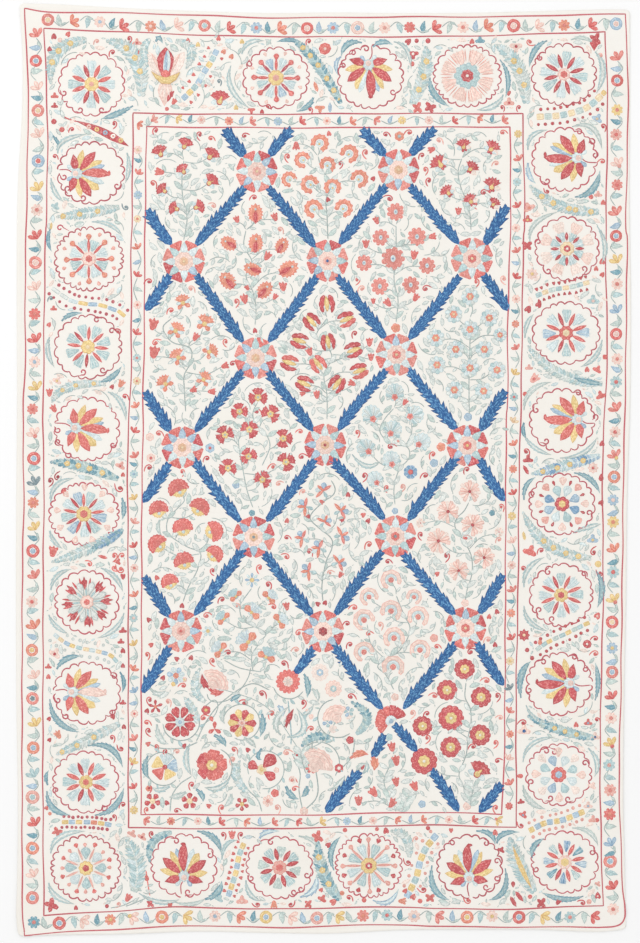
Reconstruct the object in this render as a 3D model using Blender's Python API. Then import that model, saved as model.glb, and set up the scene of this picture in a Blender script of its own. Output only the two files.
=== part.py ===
"""Suzani embroidered textile: one flat cotton cloth with a narrow turned hem, lying face up.

Metres, +Z up. X runs across the width, Y along the length. The origin is the middle of the
cloth's own box, on the surface that it lies on. The cloth was drawn and sewn by hand, so its
four edges wander by up to 15 mm from a true rectangle, and some stretches of its rim stand
up to 3 mm off the surface.
"""

import math
from typing import NamedTuple

import bmesh
import bpy

MILLIMETRE = 0.001

# Driving dimensions.
CLOTH_WIDTH = 1.525
CLOTH_LENGTH = 2.305
GROUND_THICKNESS = 0.0020
HEM_THICKNESS = 0.0030
HEM_WIDTH = 0.0080
HEM_SLOPE = 0.0030
FOLD_BULGE = 0.0010
CORNER_RADIUS = 0.0120
RIM_REACH = 0.1300
PANEL_PITCH = 0.1100

# Lines of the mesh near an edge, counted inwards from it, as shares of the rim's reach.
RIM_SHARES = (0.16, 0.28, 0.44, 0.64, 0.82)

CLOTH_COLOUR = (0.90, 0.86, 0.79, 1.0)
CLOTH_ROUGHNESS = 0.88


class EdgeRow(NamedTuple):
    """One place on an edge, in millimetres."""

    along: float  # place along the edge, from the middle of the cloth
    out: float  # how far the edge stands outside the plain rectangle
    lift: float  # how far the rim stands off the surface


# Left edge, from the bottom corner to the top corner.
WEST_EDGE = (
    EdgeRow(along=-1150, out=-1.5, lift=2.2),
    EdgeRow(along=-1100, out=3.0, lift=2.0),
    EdgeRow(along=-1020, out=1.0, lift=1.8),
    EdgeRow(along=-820, out=-1.0, lift=1.0),
    EdgeRow(along=-570, out=3.0, lift=0.2),
    EdgeRow(along=-320, out=4.0, lift=0.0),
    EdgeRow(along=-70, out=3.0, lift=0.0),
    EdgeRow(along=180, out=1.0, lift=0.5),
    EdgeRow(along=430, out=2.0, lift=0.0),
    EdgeRow(along=680, out=0.0, lift=0.0),
    EdgeRow(along=880, out=-11.0, lift=0.5),
    EdgeRow(along=1025, out=-12.5, lift=1.5),
    EdgeRow(along=1150, out=-5.0, lift=2.5),
)

# Right edge, from the bottom corner to the top corner.
EAST_EDGE = (
    EdgeRow(along=-1150, out=-6.0, lift=1.0),
    EdgeRow(along=-1020, out=-9.0, lift=1.5),
    EdgeRow(along=-820, out=-13.0, lift=1.8),
    EdgeRow(along=-570, out=-11.0, lift=1.5),
    EdgeRow(along=-320, out=-6.0, lift=1.0),
    EdgeRow(along=-70, out=-3.0, lift=0.8),
    EdgeRow(along=180, out=5.0, lift=0.2),
    EdgeRow(along=430, out=6.0, lift=0.2),
    EdgeRow(along=680, out=3.0, lift=0.0),
    EdgeRow(along=880, out=4.0, lift=0.0),
    EdgeRow(along=1025, out=4.0, lift=0.2),
    EdgeRow(along=1150, out=4.0, lift=0.5),
)

# Bottom edge, from the left corner to the right corner.
SOUTH_EDGE = (
    EdgeRow(along=-760, out=9.0, lift=2.2),
    EdgeRow(along=-660, out=6.0, lift=1.5),
    EdgeRow(along=-510, out=4.0, lift=1.5),
    EdgeRow(along=-310, out=-2.5, lift=0.5),
    EdgeRow(along=-130, out=1.0, lift=0.2),
    EdgeRow(along=20, out=2.5, lift=0.2),
    EdgeRow(along=190, out=-6.0, lift=1.0),
    EdgeRow(along=370, out=-8.0, lift=1.5),
    EdgeRow(along=540, out=-7.5, lift=1.5),
    EdgeRow(along=690, out=-2.0, lift=0.8),
    EdgeRow(along=760, out=-7.5, lift=1.0),
)

# Top edge, from the left corner to the right corner.
NORTH_EDGE = (
    EdgeRow(along=-760, out=15.0, lift=2.5),
    EdgeRow(along=-660, out=12.5, lift=1.0),
    EdgeRow(along=-510, out=4.0, lift=0.5),
    EdgeRow(along=-310, out=-4.0, lift=0.0),
    EdgeRow(along=-130, out=-9.0, lift=0.0),
    EdgeRow(along=20, out=-7.5, lift=0.2),
    EdgeRow(along=190, out=-9.0, lift=0.0),
    EdgeRow(along=370, out=-8.0, lift=0.0),
    EdgeRow(along=540, out=-4.0, lift=0.2),
    EdgeRow(along=690, out=0.0, lift=0.5),
    EdgeRow(along=760, out=-0.5, lift=0.5),
)


def remove_scene_objects():
    """Empty the scene, so that only the cloth is in it."""
    for old in list(bpy.data.objects):
        bpy.data.objects.remove(old, do_unlink=True)


def row_slope(edge, place, column):
    """Rise of a column at a row: the slope between the rows before and after it."""
    before = edge[max(place - 1, 0)]
    after = edge[min(place + 1, len(edge) - 1)]
    return (getattr(after, column) - getattr(before, column)) / (after.along - before.along)


def read_edge(edge, along, column):
    """An edge table's column at a place in metres, on a smooth cubic curve through the rows."""
    place = min(max(along / MILLIMETRE, edge[0].along), edge[-1].along)
    below = 0
    while edge[below + 1].along < place:
        below += 1
    low = edge[below]
    high = edge[below + 1]
    span = high.along - low.along
    share = (place - low.along) / span
    weight = share * share * (3.0 - 2.0 * share)
    value = getattr(low, column) * (1.0 - weight) + getattr(high, column) * weight
    value += row_slope(edge, below, column) * span * share * (1.0 - share) ** 2
    value -= row_slope(edge, below + 1, column) * span * share * share * (1.0 - share)
    return value * MILLIMETRE


def mesh_lines(side):
    """Places of the mesh lines across one side: close together at the hem, wide in the middle."""
    near_edge = [0.0, HEM_WIDTH, HEM_WIDTH + HEM_SLOPE]
    near_edge += [RIM_REACH * share for share in RIM_SHARES]
    middle_span = side - 2.0 * RIM_REACH
    steps = math.ceil(middle_span / PANEL_PITCH)
    middle = [RIM_REACH + middle_span * step / steps for step in range(steps + 1)]
    far_edge = [side - place for place in reversed(near_edge)]
    return [place - side / 2.0 for place in near_edge + middle + far_edge]


def round_corner(x, y):
    """Draw the four corners in, by mapping the square at each corner onto a quarter disc."""
    over_x = abs(x) - (CLOTH_WIDTH / 2.0 - CORNER_RADIUS)
    over_y = abs(y) - (CLOTH_LENGTH / 2.0 - CORNER_RADIUS)
    if over_x <= 0.0 or over_y <= 0.0:
        return x, y
    share_x = over_x / CORNER_RADIUS
    share_y = over_y / CORNER_RADIUS
    drawn_x = over_x * math.sqrt(1.0 - share_y * share_y / 2.0)
    drawn_y = over_y * math.sqrt(1.0 - share_x * share_x / 2.0)
    return x - math.copysign(over_x - drawn_x, x), y - math.copysign(over_y - drawn_y, y)


def hand_made_outline(x, y):
    """Move a point of the plain rectangle to its place in the cloth.

    Each edge stands out or in by its table, and a point between two edges moves by its share
    of both.
    """
    east_share = 0.5 + x / CLOTH_WIDTH
    north_share = 0.5 + y / CLOTH_LENGTH
    moved_x = x + east_share * read_edge(EAST_EDGE, y, "out")
    moved_x -= (1.0 - east_share) * read_edge(WEST_EDGE, y, "out")
    moved_y = y + north_share * read_edge(NORTH_EDGE, x, "out")
    moved_y -= (1.0 - north_share) * read_edge(SOUTH_EDGE, x, "out")
    return moved_x, moved_y


def rim_lift(x, y):
    """Height of the underside: nothing in the middle, rising to each table's lift at an edge.

    Two edges that meet in a corner are joined as the root of the sum of their squares, so
    that the corner isn't lifted twice over.
    """
    reaches = (
        (CLOTH_WIDTH / 2.0 + x, read_edge(WEST_EDGE, y, "lift")),
        (CLOTH_WIDTH / 2.0 - x, read_edge(EAST_EDGE, y, "lift")),
        (CLOTH_LENGTH / 2.0 + y, read_edge(SOUTH_EDGE, x, "lift")),
        (CLOTH_LENGTH / 2.0 - y, read_edge(NORTH_EDGE, x, "lift")),
    )
    total = 0.0
    for distance, lift in reaches:
        fade = max(0.0, 1.0 - distance / RIM_REACH)
        total += (max(0.0, lift) * fade * fade) ** 2
    return math.sqrt(total)


def cloth_thickness(x, y):
    """Three layers of cloth over the hem, and a short slope down to the single ground."""
    inset = min(CLOTH_WIDTH / 2.0 - abs(x), CLOTH_LENGTH / 2.0 - abs(y))
    share = min(1.0, max(0.0, (inset - HEM_WIDTH) / HEM_SLOPE))
    return HEM_THICKNESS + (GROUND_THICKNESS - HEM_THICKNESS) * share


def fold_height(x, y):
    """Half way up the folded edge."""
    return rim_lift(x, y) + cloth_thickness(x, y) / 2.0


def face_height(x, y):
    """The embroidered side of the cloth."""
    return rim_lift(x, y) + cloth_thickness(x, y)


def add_point(bm, x, y, height, spread=0.0):
    """A corner of the mesh over a place of the plain rectangle, moved out by the spread."""
    place_x, place_y = hand_made_outline(*round_corner(x, y))
    wide = 1.0 + 2.0 * spread / CLOTH_WIDTH
    long = 1.0 + 2.0 * spread / CLOTH_LENGTH
    return bm.verts.new((place_x * wide, place_y * long, height))


def add_sheet(bm, across, along, height_of):
    """One side of the cloth: a grid of corners at their heights, joined by faces."""
    grid = [[add_point(bm, x, y, height_of(x, y)) for y in along] for x in across]
    for west, east in zip(grid, grid[1:]):
        for row in range(len(along) - 1):
            bm.faces.new((west[row], east[row], east[row + 1], west[row + 1]))
    return grid


def walk_round(columns, rows):
    """Grid places of the edge, once round the cloth."""
    south = [(column, 0) for column in range(columns - 1)]
    east = [(columns - 1, row) for row in range(rows - 1)]
    north = [(column, rows - 1) for column in range(columns - 1, 0, -1)]
    west = [(0, row) for row in range(rows - 1, 0, -1)]
    return south + east + north + west


def add_folded_edge(bm, across, along, underside, face):
    """Close the cloth with its folded edge, which bulges a little at half its height."""
    loop = walk_round(len(across), len(along))
    fold = []
    for column, row in loop:
        x = across[column]
        y = along[row]
        fold.append(add_point(bm, x, y, fold_height(x, y), spread=FOLD_BULGE))
    for place in range(len(loop)):
        here = loop[place - 1]
        after = loop[place]
        low_here = underside[here[0]][here[1]]
        low_after = underside[after[0]][after[1]]
        high_here = face[here[0]][here[1]]
        high_after = face[after[0]][after[1]]
        bm.faces.new((low_here, low_after, fold[place], fold[place - 1]))
        bm.faces.new((fold[place - 1], fold[place], high_after, high_here))


def centre_on_its_box(bm):
    """Bring the middle of the cloth's box over the origin."""
    xs = [vert.co.x for vert in bm.verts]
    ys = [vert.co.y for vert in bm.verts]
    shift = (-(min(xs) + max(xs)) / 2.0, -(min(ys) + max(ys)) / 2.0, 0.0)
    bmesh.ops.translate(bm, verts=bm.verts, vec=shift)


def make_material(name, colour, roughness):
    """A plain material with the cloth's colour."""
    material = bpy.data.materials.new(name)
    material.use_nodes = True
    shader = material.node_tree.nodes["Principled BSDF"]
    shader.inputs["Base Color"].default_value = colour
    shader.inputs["Roughness"].default_value = roughness
    shader.inputs["Metallic"].default_value = 0.0
    return material


def make_cloth():
    """The whole cloth as one closed solid."""
    across = mesh_lines(CLOTH_WIDTH)
    along = mesh_lines(CLOTH_LENGTH)
    bm = bmesh.new()
    underside = add_sheet(bm, across, along, rim_lift)
    face = add_sheet(bm, across, along, face_height)
    add_folded_edge(bm, across, along, underside, face)
    centre_on_its_box(bm)
    bmesh.ops.recalc_face_normals(bm, faces=bm.faces)
    mesh = bpy.data.meshes.new("embroidered_cloth")
    bm.to_mesh(mesh)
    bm.free()
    mesh.materials.append(make_material("ground_cotton", CLOTH_COLOUR, CLOTH_ROUGHNESS))
    mesh.shade_smooth()
    mesh.set_sharp_from_angle(angle=math.radians(40.0))
    cloth = bpy.data.objects.new("embroidered_cloth", mesh)
    bpy.context.scene.collection.objects.link(cloth)
    return cloth


def main():
    """Build the textile."""
    remove_scene_objects()
    make_cloth()


main()
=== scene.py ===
"""Looks of the suzani embroidered textile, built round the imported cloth.

Every motif is a low patch of stitching on the cloth: a ribbon of thread rows along a spine, or a
disc of rows round a centre. Motifs are placed on a chart whose squares are one photo pixel wide,
2.5 mm on the cloth: "across" runs to the right and "down" runs towards the bottom edge.
"""

import logging
import math
from dataclasses import dataclass, field
from enum import Enum
from typing import NamedTuple, Sequence, TypeVar

import bpy
import numpy as np
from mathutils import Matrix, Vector
from numpy.typing import NDArray


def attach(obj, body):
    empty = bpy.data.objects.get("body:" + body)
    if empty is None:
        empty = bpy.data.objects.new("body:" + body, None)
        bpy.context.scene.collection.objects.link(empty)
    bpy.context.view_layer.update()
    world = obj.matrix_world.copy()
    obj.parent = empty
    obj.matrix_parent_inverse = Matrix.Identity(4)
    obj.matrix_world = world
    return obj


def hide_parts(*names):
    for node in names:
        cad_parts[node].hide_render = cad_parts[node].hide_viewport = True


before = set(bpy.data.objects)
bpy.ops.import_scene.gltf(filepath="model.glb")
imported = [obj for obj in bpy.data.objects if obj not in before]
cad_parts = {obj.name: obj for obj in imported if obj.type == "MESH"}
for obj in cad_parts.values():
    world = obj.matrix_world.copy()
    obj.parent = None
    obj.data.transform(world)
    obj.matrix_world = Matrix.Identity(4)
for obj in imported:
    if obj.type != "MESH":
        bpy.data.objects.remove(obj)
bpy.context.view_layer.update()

Array = NDArray[np.float64]
Pair = tuple[float, float]

logging.basicConfig(level=logging.INFO, format="%(message)s")
log = logging.getLogger("suzani")

MILLIMETRE = 0.001

# The cloth, as in the part.
CLOTH_WIDTH = 1.525
CLOTH_LENGTH = 2.305
GROUND_THICKNESS = 0.0020
HEM_THICKNESS = 0.0030
HEM_WIDTH = 0.0080
HEM_SLOPE = 0.0030
FOLD_BULGE = 0.0010
CORNER_RADIUS = 0.0120
RIM_REACH = 0.1300
PANEL_PITCH = 0.1100
RIM_SHARES = (0.16, 0.28, 0.44, 0.64, 0.82)

# The chart that the motifs are placed on.
CHART_PITCH = 0.0025
CHART_ACROSS = 323.0
CHART_DOWN = 471.0
CHART_SQUARES = (943, 640)

# Height of the stitching over the cloth, in metres.
CROWN = 0.0009
TUCK = 0.0003
LEVEL_RISE = 0.0004
OUTLINED_RIM = 1.15  # a patch this deep, in chart squares, has a darker line round it


# --------------------------------------------------------------------------------------------
# The cloth's own shape
# --------------------------------------------------------------------------------------------


Row = TypeVar("Row")


def rows(kind: type[Row], *table: tuple) -> tuple[Row, ...]:
    """A table of one kind, from rows that give its fields in their order."""
    return tuple(kind(*values) for values in table)


class EdgeRow(NamedTuple):
    """One place on an edge, in millimetres."""

    along: float  # place along the edge, from the middle of the cloth
    out: float  # how far the edge stands outside the plain rectangle
    lift: float  # how far the rim stands off the surface


WEST_EDGE = rows(
    EdgeRow,
    (-1150, -1.5, 2.2), (-1100, 3.0, 2.0), (-1020, 1.0, 1.8), (-820, -1.0, 1.0), (-570, 3.0, 0.2),
    (-320, 4.0, 0.0), (-70, 3.0, 0.0), (180, 1.0, 0.5), (430, 2.0, 0.0), (680, 0.0, 0.0), (880, -11.0, 0.5),
    (1025, -12.5, 1.5), (1150, -5.0, 2.5),
)

EAST_EDGE = rows(
    EdgeRow,
    (-1150, -6.0, 1.0), (-1020, -9.0, 1.5), (-820, -13.0, 1.8), (-570, -11.0, 1.5), (-320, -6.0, 1.0),
    (-70, -3.0, 0.8), (180, 5.0, 0.2), (430, 6.0, 0.2), (680, 3.0, 0.0), (880, 4.0, 0.0), (1025, 4.0, 0.2),
    (1150, 4.0, 0.5),
)

SOUTH_EDGE = rows(
    EdgeRow,
    (-760, 9.0, 2.2), (-660, 6.0, 1.5), (-510, 4.0, 1.5), (-310, -2.5, 0.5), (-130, 1.0, 0.2),
    (20, 2.5, 0.2), (190, -6.0, 1.0), (370, -8.0, 1.5), (540, -7.5, 1.5), (690, -2.0, 0.8),
    (760, -7.5, 1.0),
)

NORTH_EDGE = rows(
    EdgeRow,
    (-760, 15.0, 2.5), (-660, 12.5, 1.0), (-510, 4.0, 0.5), (-310, -4.0, 0.0), (-130, -9.0, 0.0),
    (20, -7.5, 0.2), (190, -9.0, 0.0), (370, -8.0, 0.0), (540, -4.0, 0.2), (690, 0.0, 0.5),
    (760, -0.5, 0.5),
)


class EdgeCurve:
    """One column of an edge table as a smooth cubic curve through its rows."""

    def __init__(self, rows: Sequence[EdgeRow], column: str) -> None:
        """Read the rows.

        Args:
            rows: the edge table.
            column: the column that is followed, out or lift.
        """
        self.along = np.array([row.along for row in rows]) * MILLIMETRE
        self.value = np.array([getattr(row, column) for row in rows]) * MILLIMETRE
        place = np.arange(len(rows))
        after = np.minimum(place + 1, len(rows) - 1)
        before = np.maximum(place - 1, 0)
        rise = self.value[after] - self.value[before]
        self.slope = rise / (self.along[after] - self.along[before])

    def read(self, along: Array) -> Array:
        """The column at places along the edge.

        Args:
            along: places along the edge, in metres.

        Returns:
            The column's value there, in metres.
        """
        place = np.clip(along, self.along[0], self.along[-1])
        below = np.searchsorted(self.along, place, side="right") - 1
        below = np.clip(below, 0, len(self.along) - 2)
        span = self.along[below + 1] - self.along[below]
        share = (place - self.along[below]) / span
        weight = share * share * (3.0 - 2.0 * share)
        value = self.value[below] * (1.0 - weight) + self.value[below + 1] * weight
        value += self.slope[below] * span * share * (1.0 - share) ** 2
        value -= self.slope[below + 1] * span * share * share * (1.0 - share)
        return value


class Cloth:
    """Outline, thickness and lie of the cloth, with the formulas of the part."""

    def __init__(self) -> None:
        """Read the edge tables, and find the shift that centres the cloth on its box."""
        self.west = EdgeCurve(WEST_EDGE, "out")
        self.east = EdgeCurve(EAST_EDGE, "out")
        self.south = EdgeCurve(SOUTH_EDGE, "out")
        self.north = EdgeCurve(NORTH_EDGE, "out")
        self.west_lift = EdgeCurve(WEST_EDGE, "lift")
        self.east_lift = EdgeCurve(EAST_EDGE, "lift")
        self.south_lift = EdgeCurve(SOUTH_EDGE, "lift")
        self.north_lift = EdgeCurve(NORTH_EDGE, "lift")
        self.shift = np.zeros(2)
        across = part_mesh_lines(CLOTH_WIDTH)
        along = part_mesh_lines(CLOTH_LENGTH)
        x, y = np.meshgrid(across, along, indexing="ij")
        moved_x, moved_y = self.moved(x, y, FOLD_BULGE)
        middle_x = (moved_x.min() + moved_x.max()) / 2.0
        middle_y = (moved_y.min() + moved_y.max()) / 2.0
        self.shift = -np.array([middle_x, middle_y])

    def moved(self, x: Array, y: Array, spread: float = 0.0) -> tuple[Array, Array]:
        """Move points of the plain rectangle to their places in the cloth.

        Args:
            x: places across the plain rectangle.
            y: places along the plain rectangle.
            spread: how far the folded edge bulges.

        Returns:
            The places in the part's frame.
        """
        corner_x, corner_y = round_corners(x, y)
        east_share = 0.5 + corner_x / CLOTH_WIDTH
        north_share = 0.5 + corner_y / CLOTH_LENGTH
        out_x = east_share * self.east.read(corner_y)
        out_x -= (1.0 - east_share) * self.west.read(corner_y)
        out_y = north_share * self.north.read(corner_x)
        out_y -= (1.0 - north_share) * self.south.read(corner_x)
        wide = 1.0 + 2.0 * spread / CLOTH_WIDTH
        long = 1.0 + 2.0 * spread / CLOTH_LENGTH
        moved_x = (corner_x + out_x) * wide + self.shift[0]
        moved_y = (corner_y + out_y) * long + self.shift[1]
        return moved_x, moved_y

    def plain(self, x: Array, y: Array) -> tuple[Array, Array]:
        """Places of the plain rectangle that move to places of the cloth.

        Args:
            x: places across, in the part's frame.
            y: places along, in the part's frame.

        Returns:
            The places before the move, found by stepping back three times.
        """
        plain_x = x.copy()
        plain_y = y.copy()
        for _ in range(3):
            moved_x, moved_y = self.moved(plain_x, plain_y)
            plain_x = plain_x + x - moved_x
            plain_y = plain_y + y - moved_y
        return plain_x, plain_y

    def lift(self, x: Array, y: Array) -> Array:
        """Height of the underside over a plain place: root of the sum of the edges' squares."""
        reaches = (
            (CLOTH_WIDTH / 2.0 + x, self.west_lift.read(y)),
            (CLOTH_WIDTH / 2.0 - x, self.east_lift.read(y)),
            (CLOTH_LENGTH / 2.0 + y, self.south_lift.read(x)),
            (CLOTH_LENGTH / 2.0 - y, self.north_lift.read(x)),
        )
        total = np.zeros_like(x)
        for distance, lift in reaches:
            fade = np.maximum(0.0, 1.0 - distance / RIM_REACH)
            total += (np.maximum(0.0, lift) * fade * fade) ** 2
        return np.sqrt(total)

    def thickness(self, x: Array, y: Array) -> Array:
        """Thickness at a plain place: the hem, then a short slope down to the ground."""
        inset = np.minimum(CLOTH_WIDTH / 2.0 - np.abs(x), CLOTH_LENGTH / 2.0 - np.abs(y))
        share = np.clip((inset - HEM_WIDTH) / HEM_SLOPE, 0.0, 1.0)
        return HEM_THICKNESS + (GROUND_THICKNESS - HEM_THICKNESS) * share

    def pucker(self, x: Array, y: Array) -> Array:
        """Soft unevenness that the pull of the stitches leaves in the face: crossed waves.

        Args:
            x: places across, in metres.
            y: places along, in metres.

        Returns:
            Heights from nothing to the full pucker, in metres.
        """
        wave = np.sin(47.0 * x + 3.0 * np.sin(9.0 * y)) * np.sin(39.0 * y + 2.0 * np.sin(11.0 * x))
        wave += 0.6 * np.sin(83.0 * x - 31.0 * y + 2.0) + 0.5 * np.sin(23.0 * x + 71.0 * y)
        return PUCKER_HEIGHT * np.clip(0.5 + wave / 4.2, 0.0, 1.0)

    def face(self, x: Array, y: Array) -> Array:
        """Height of the embroidered side over places in the part's frame."""
        plain_x, plain_y = self.plain(x, y)
        return self.lift(plain_x, plain_y) + self.thickness(plain_x, plain_y) + self.pucker(x, y)


PUCKER_HEIGHT = 0.0007


def part_mesh_lines(side: float) -> Array:
    """Places of the part's own mesh lines across one side.

    Args:
        side: length of the side.

    Returns:
        The places, from one edge to the other.
    """
    near = [0.0, HEM_WIDTH, HEM_WIDTH + HEM_SLOPE] + [RIM_REACH * share for share in RIM_SHARES]
    steps = math.ceil((side - 2.0 * RIM_REACH) / PANEL_PITCH)
    middle = np.linspace(RIM_REACH, side - RIM_REACH, steps + 1)
    far = side - np.array(near[::-1])
    return np.concatenate([near, middle, far]) - side / 2.0


def round_corners(x: Array, y: Array) -> tuple[Array, Array]:
    """Draw the four corners in, by mapping the square at each corner onto a quarter disc."""
    over_x = np.maximum(np.abs(x) - (CLOTH_WIDTH / 2.0 - CORNER_RADIUS), 0.0)
    over_y = np.maximum(np.abs(y) - (CLOTH_LENGTH / 2.0 - CORNER_RADIUS), 0.0)
    share_x = np.minimum(over_x / CORNER_RADIUS, 1.0)
    share_y = np.minimum(over_y / CORNER_RADIUS, 1.0)
    in_x = over_x * (1.0 - np.sqrt(1.0 - share_y * share_y / 2.0))
    in_y = over_y * (1.0 - np.sqrt(1.0 - share_x * share_x / 2.0))
    return x - np.copysign(in_x, x), y - np.copysign(in_y, y)


# --------------------------------------------------------------------------------------------
# Dyes
# --------------------------------------------------------------------------------------------


class Dye(Enum):
    """Thread colours, as seen on screen."""

    IVORY = (250, 245, 235)
    CREAM = (247, 228, 188)
    YELLOW = (240, 213, 148)
    ORANGE = (234, 156, 130)
    CORAL = (228, 124, 117)
    CRIMSON = (212, 97, 100)
    MAROON = (174, 74, 82)
    ROSE = (239, 182, 170)
    PINK = (247, 220, 208)
    AQUA = (188, 213, 214)
    SEA = (204, 219, 213)
    SKY = (184, 207, 222)
    TEAL = (128, 173, 186)
    STEM = (170, 184, 181)
    SLATE = (134, 152, 158)
    ROYAL = (58, 112, 170)
    BRAID = (203, 104, 112)
    TAN = (230, 186, 152)
    SALMON = (230, 148, 138)
    HONEY = (226, 182, 120)
    MIST = (163, 191, 195)
    DENIM = (128, 165, 196)
    NAVY = (34, 72, 128)
    DEEP = (54, 106, 164)
    DUSK = (98, 142, 162)
    FOAM = (231, 235, 230)
    LICHEN = (176, 191, 188)
    BLUSH = (246, 230, 220)
    ICE = (223, 234, 235)
    PLUM = (196, 98, 108)


# The dyes by their own names, for the tables.
(
    IVORY, CREAM, YELLOW, ORANGE, CORAL, CRIMSON, MAROON, ROSE, PINK, AQUA, SEA, SKY, TEAL, STEM,
    SLATE, ROYAL, BRAID, TAN, SALMON, HONEY, MIST, DENIM, NAVY, DEEP, DUSK, FOAM, LICHEN, BLUSH,
    ICE, PLUM,
) = Dye

EDGE_DYES = {
    YELLOW: HONEY,
    CREAM: TAN,
    ORANGE: CORAL,
    CORAL: CRIMSON,
    CRIMSON: MAROON,
    ROSE: SALMON,
    PINK: ROSE,
    AQUA: MIST,
    SEA: LICHEN,
    SKY: DENIM,
    TEAL: DUSK,
    ROYAL: NAVY,
    FOAM: LICHEN,
    BLUSH: PINK,
    ICE: AQUA,
    SALMON: CORAL,
}


def linear(dye: Dye) -> Array:
    """Scene colour of a dye: the screen curve undone, with an opaque fourth value."""
    share = np.array(dye.value, dtype=float) / 255.0
    light = np.where(share <= 0.04045, share / 12.92, ((share + 0.055) / 1.055) ** 2.4)
    return np.append(light, 1.0)


# --------------------------------------------------------------------------------------------
# Paths and outlines on the chart
# --------------------------------------------------------------------------------------------


def at(across: float, down: float) -> Array:
    """A place of the chart, with up as the second axis."""
    return np.array([across - CHART_ACROSS, CHART_DOWN - down])


def directions(angles: Array) -> Array:
    """Unit vectors at some angles, which are given in radians."""
    return np.column_stack([np.cos(angles), np.sin(angles)])


def route(*numbers: float) -> Array:
    """Points of a path, given as across, down, across, down and so on."""
    pairs = np.array(numbers, dtype=float).reshape(-1, 2)
    return np.column_stack([pairs[:, 0] - CHART_ACROSS, CHART_DOWN - pairs[:, 1]])


def aim(heading: float) -> Array:
    """Unit step in a heading: 0 is to the right and 90 is up the cloth."""
    return np.array([math.cos(math.radians(heading)), math.sin(math.radians(heading))])


def heading_to(start: Array, end: Array) -> float:
    """Heading from one place of the chart to another, in degrees."""
    return math.degrees(math.atan2(end[1] - start[1], end[0] - start[0]))


def smooth_path(points: Array, pitch: float, closed: bool = False) -> Array:
    """A smooth curve through points, resampled at even steps.

    Each span is a Catmull-Rom cubic: its slopes at a point follow the points beside it.

    Args:
        points: the points, in chart squares.
        pitch: step along the curve.
        closed: whether the last point joins the first.

    Returns:
        Points along the curve. A closed one doesn't repeat its first point.
    """
    if closed:
        ring = np.vstack([points[-1:], points, points[:2]])
    else:
        first = 2.0 * points[:1] - points[1:2]
        last = 2.0 * points[-1:] - points[-2:-1]
        ring = np.vstack([first, points, last])
    before, here, after, beyond = ring[:-3], ring[1:-2], ring[2:-1], ring[3:]
    share = np.linspace(0.0, 1.0, 9)[:-1].reshape(1, -1, 1)
    before, here, after, beyond = (row[:, None, :] for row in (before, here, after, beyond))
    curve = 2.0 * here + (after - before) * share
    curve = curve + (2.0 * before - 5.0 * here + 4.0 * after - beyond) * share**2
    curve = curve + (3.0 * here - before - 3.0 * after + beyond) * share**3
    dense = (curve / 2.0).reshape(-1, 2)
    dense = np.vstack([dense, points[:1] if closed else points[-1:]])
    steps = np.hypot(*np.diff(dense, axis=0).T)
    length = np.concatenate([[0.0], np.cumsum(steps)])
    count = max(3, int(round(length[-1] / pitch)) + 1)
    places = np.linspace(0.0, length[-1], count)
    path = np.column_stack([np.interp(places, length, dense[:, axis]) for axis in (0, 1)])
    return path[:-1] if closed else path


def bent_path(start: Array, middle: Array, end: Array, shares: Array) -> Array:
    """The parabola through three points, at shares of its run."""
    share = shares[:, None]
    control = 2.0 * middle - (start + end) / 2.0
    return start * (1.0 - share) ** 2 + 2.0 * control * share * (1.0 - share) + end * share**2


def end_shares(count: int) -> Array:
    """Shares from 0 to 1 that crowd towards both ends, so that tips come out round."""
    return (1.0 - np.cos(np.linspace(0.0, math.pi, count))) / 2.0


class Girth(Enum):
    """How the half width of a patch changes from its base to its tip, at even shares."""

    LENS = (0.0, 0.55, 0.86, 1.0, 0.98, 0.84, 0.52, 0.0)
    DROP = (0.10, 0.32, 0.55, 0.78, 0.95, 1.0, 0.78, 0.0)
    FLAME = (0.35, 0.75, 1.0, 0.97, 0.80, 0.55, 0.28, 0.0)
    WEDGE = (0.12, 0.30, 0.46, 0.62, 0.78, 0.92, 1.0, 0.80)
    CRESCENT = (0.0, 0.40, 0.72, 0.94, 1.0, 0.90, 0.60, 0.0)
    PLUME = (0.16, 0.56, 0.84, 0.98, 1.0, 0.96, 0.84, 0.36)
    BRICK = (0.85, 0.97, 1.0, 1.0, 1.0, 1.0, 0.97, 0.85)
    POD = (0.0, 0.70, 1.0, 1.0, 0.86, 0.60, 0.30, 0.0)

    def half(self, shares: Array) -> Array:
        """Half widths at shares of the run, where the widest is 1."""
        places = np.linspace(0.0, 1.0, len(self.value))
        return np.interp(shares, places, self.value)


# --------------------------------------------------------------------------------------------
# Patches of stitching, joined into pieces
# --------------------------------------------------------------------------------------------


class Section(NamedTuple):
    """Cross-section of a ribbon of stitches."""

    sides: tuple[float, ...]  # places across, from right to left, as shares of the half width
    rises: tuple[float, ...]  # height there, as a share of the crown, and -1 at the tuck


THIN_SECTION = Section((-1.0, 0.0, 1.0), (-1.0, 1.0, -1.0))
FULL_SECTION = Section((-1.0, -0.78, 0.0, 0.78, 1.0), (-1.0, 0.8, 1.0, 0.8, -1.0))


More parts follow.
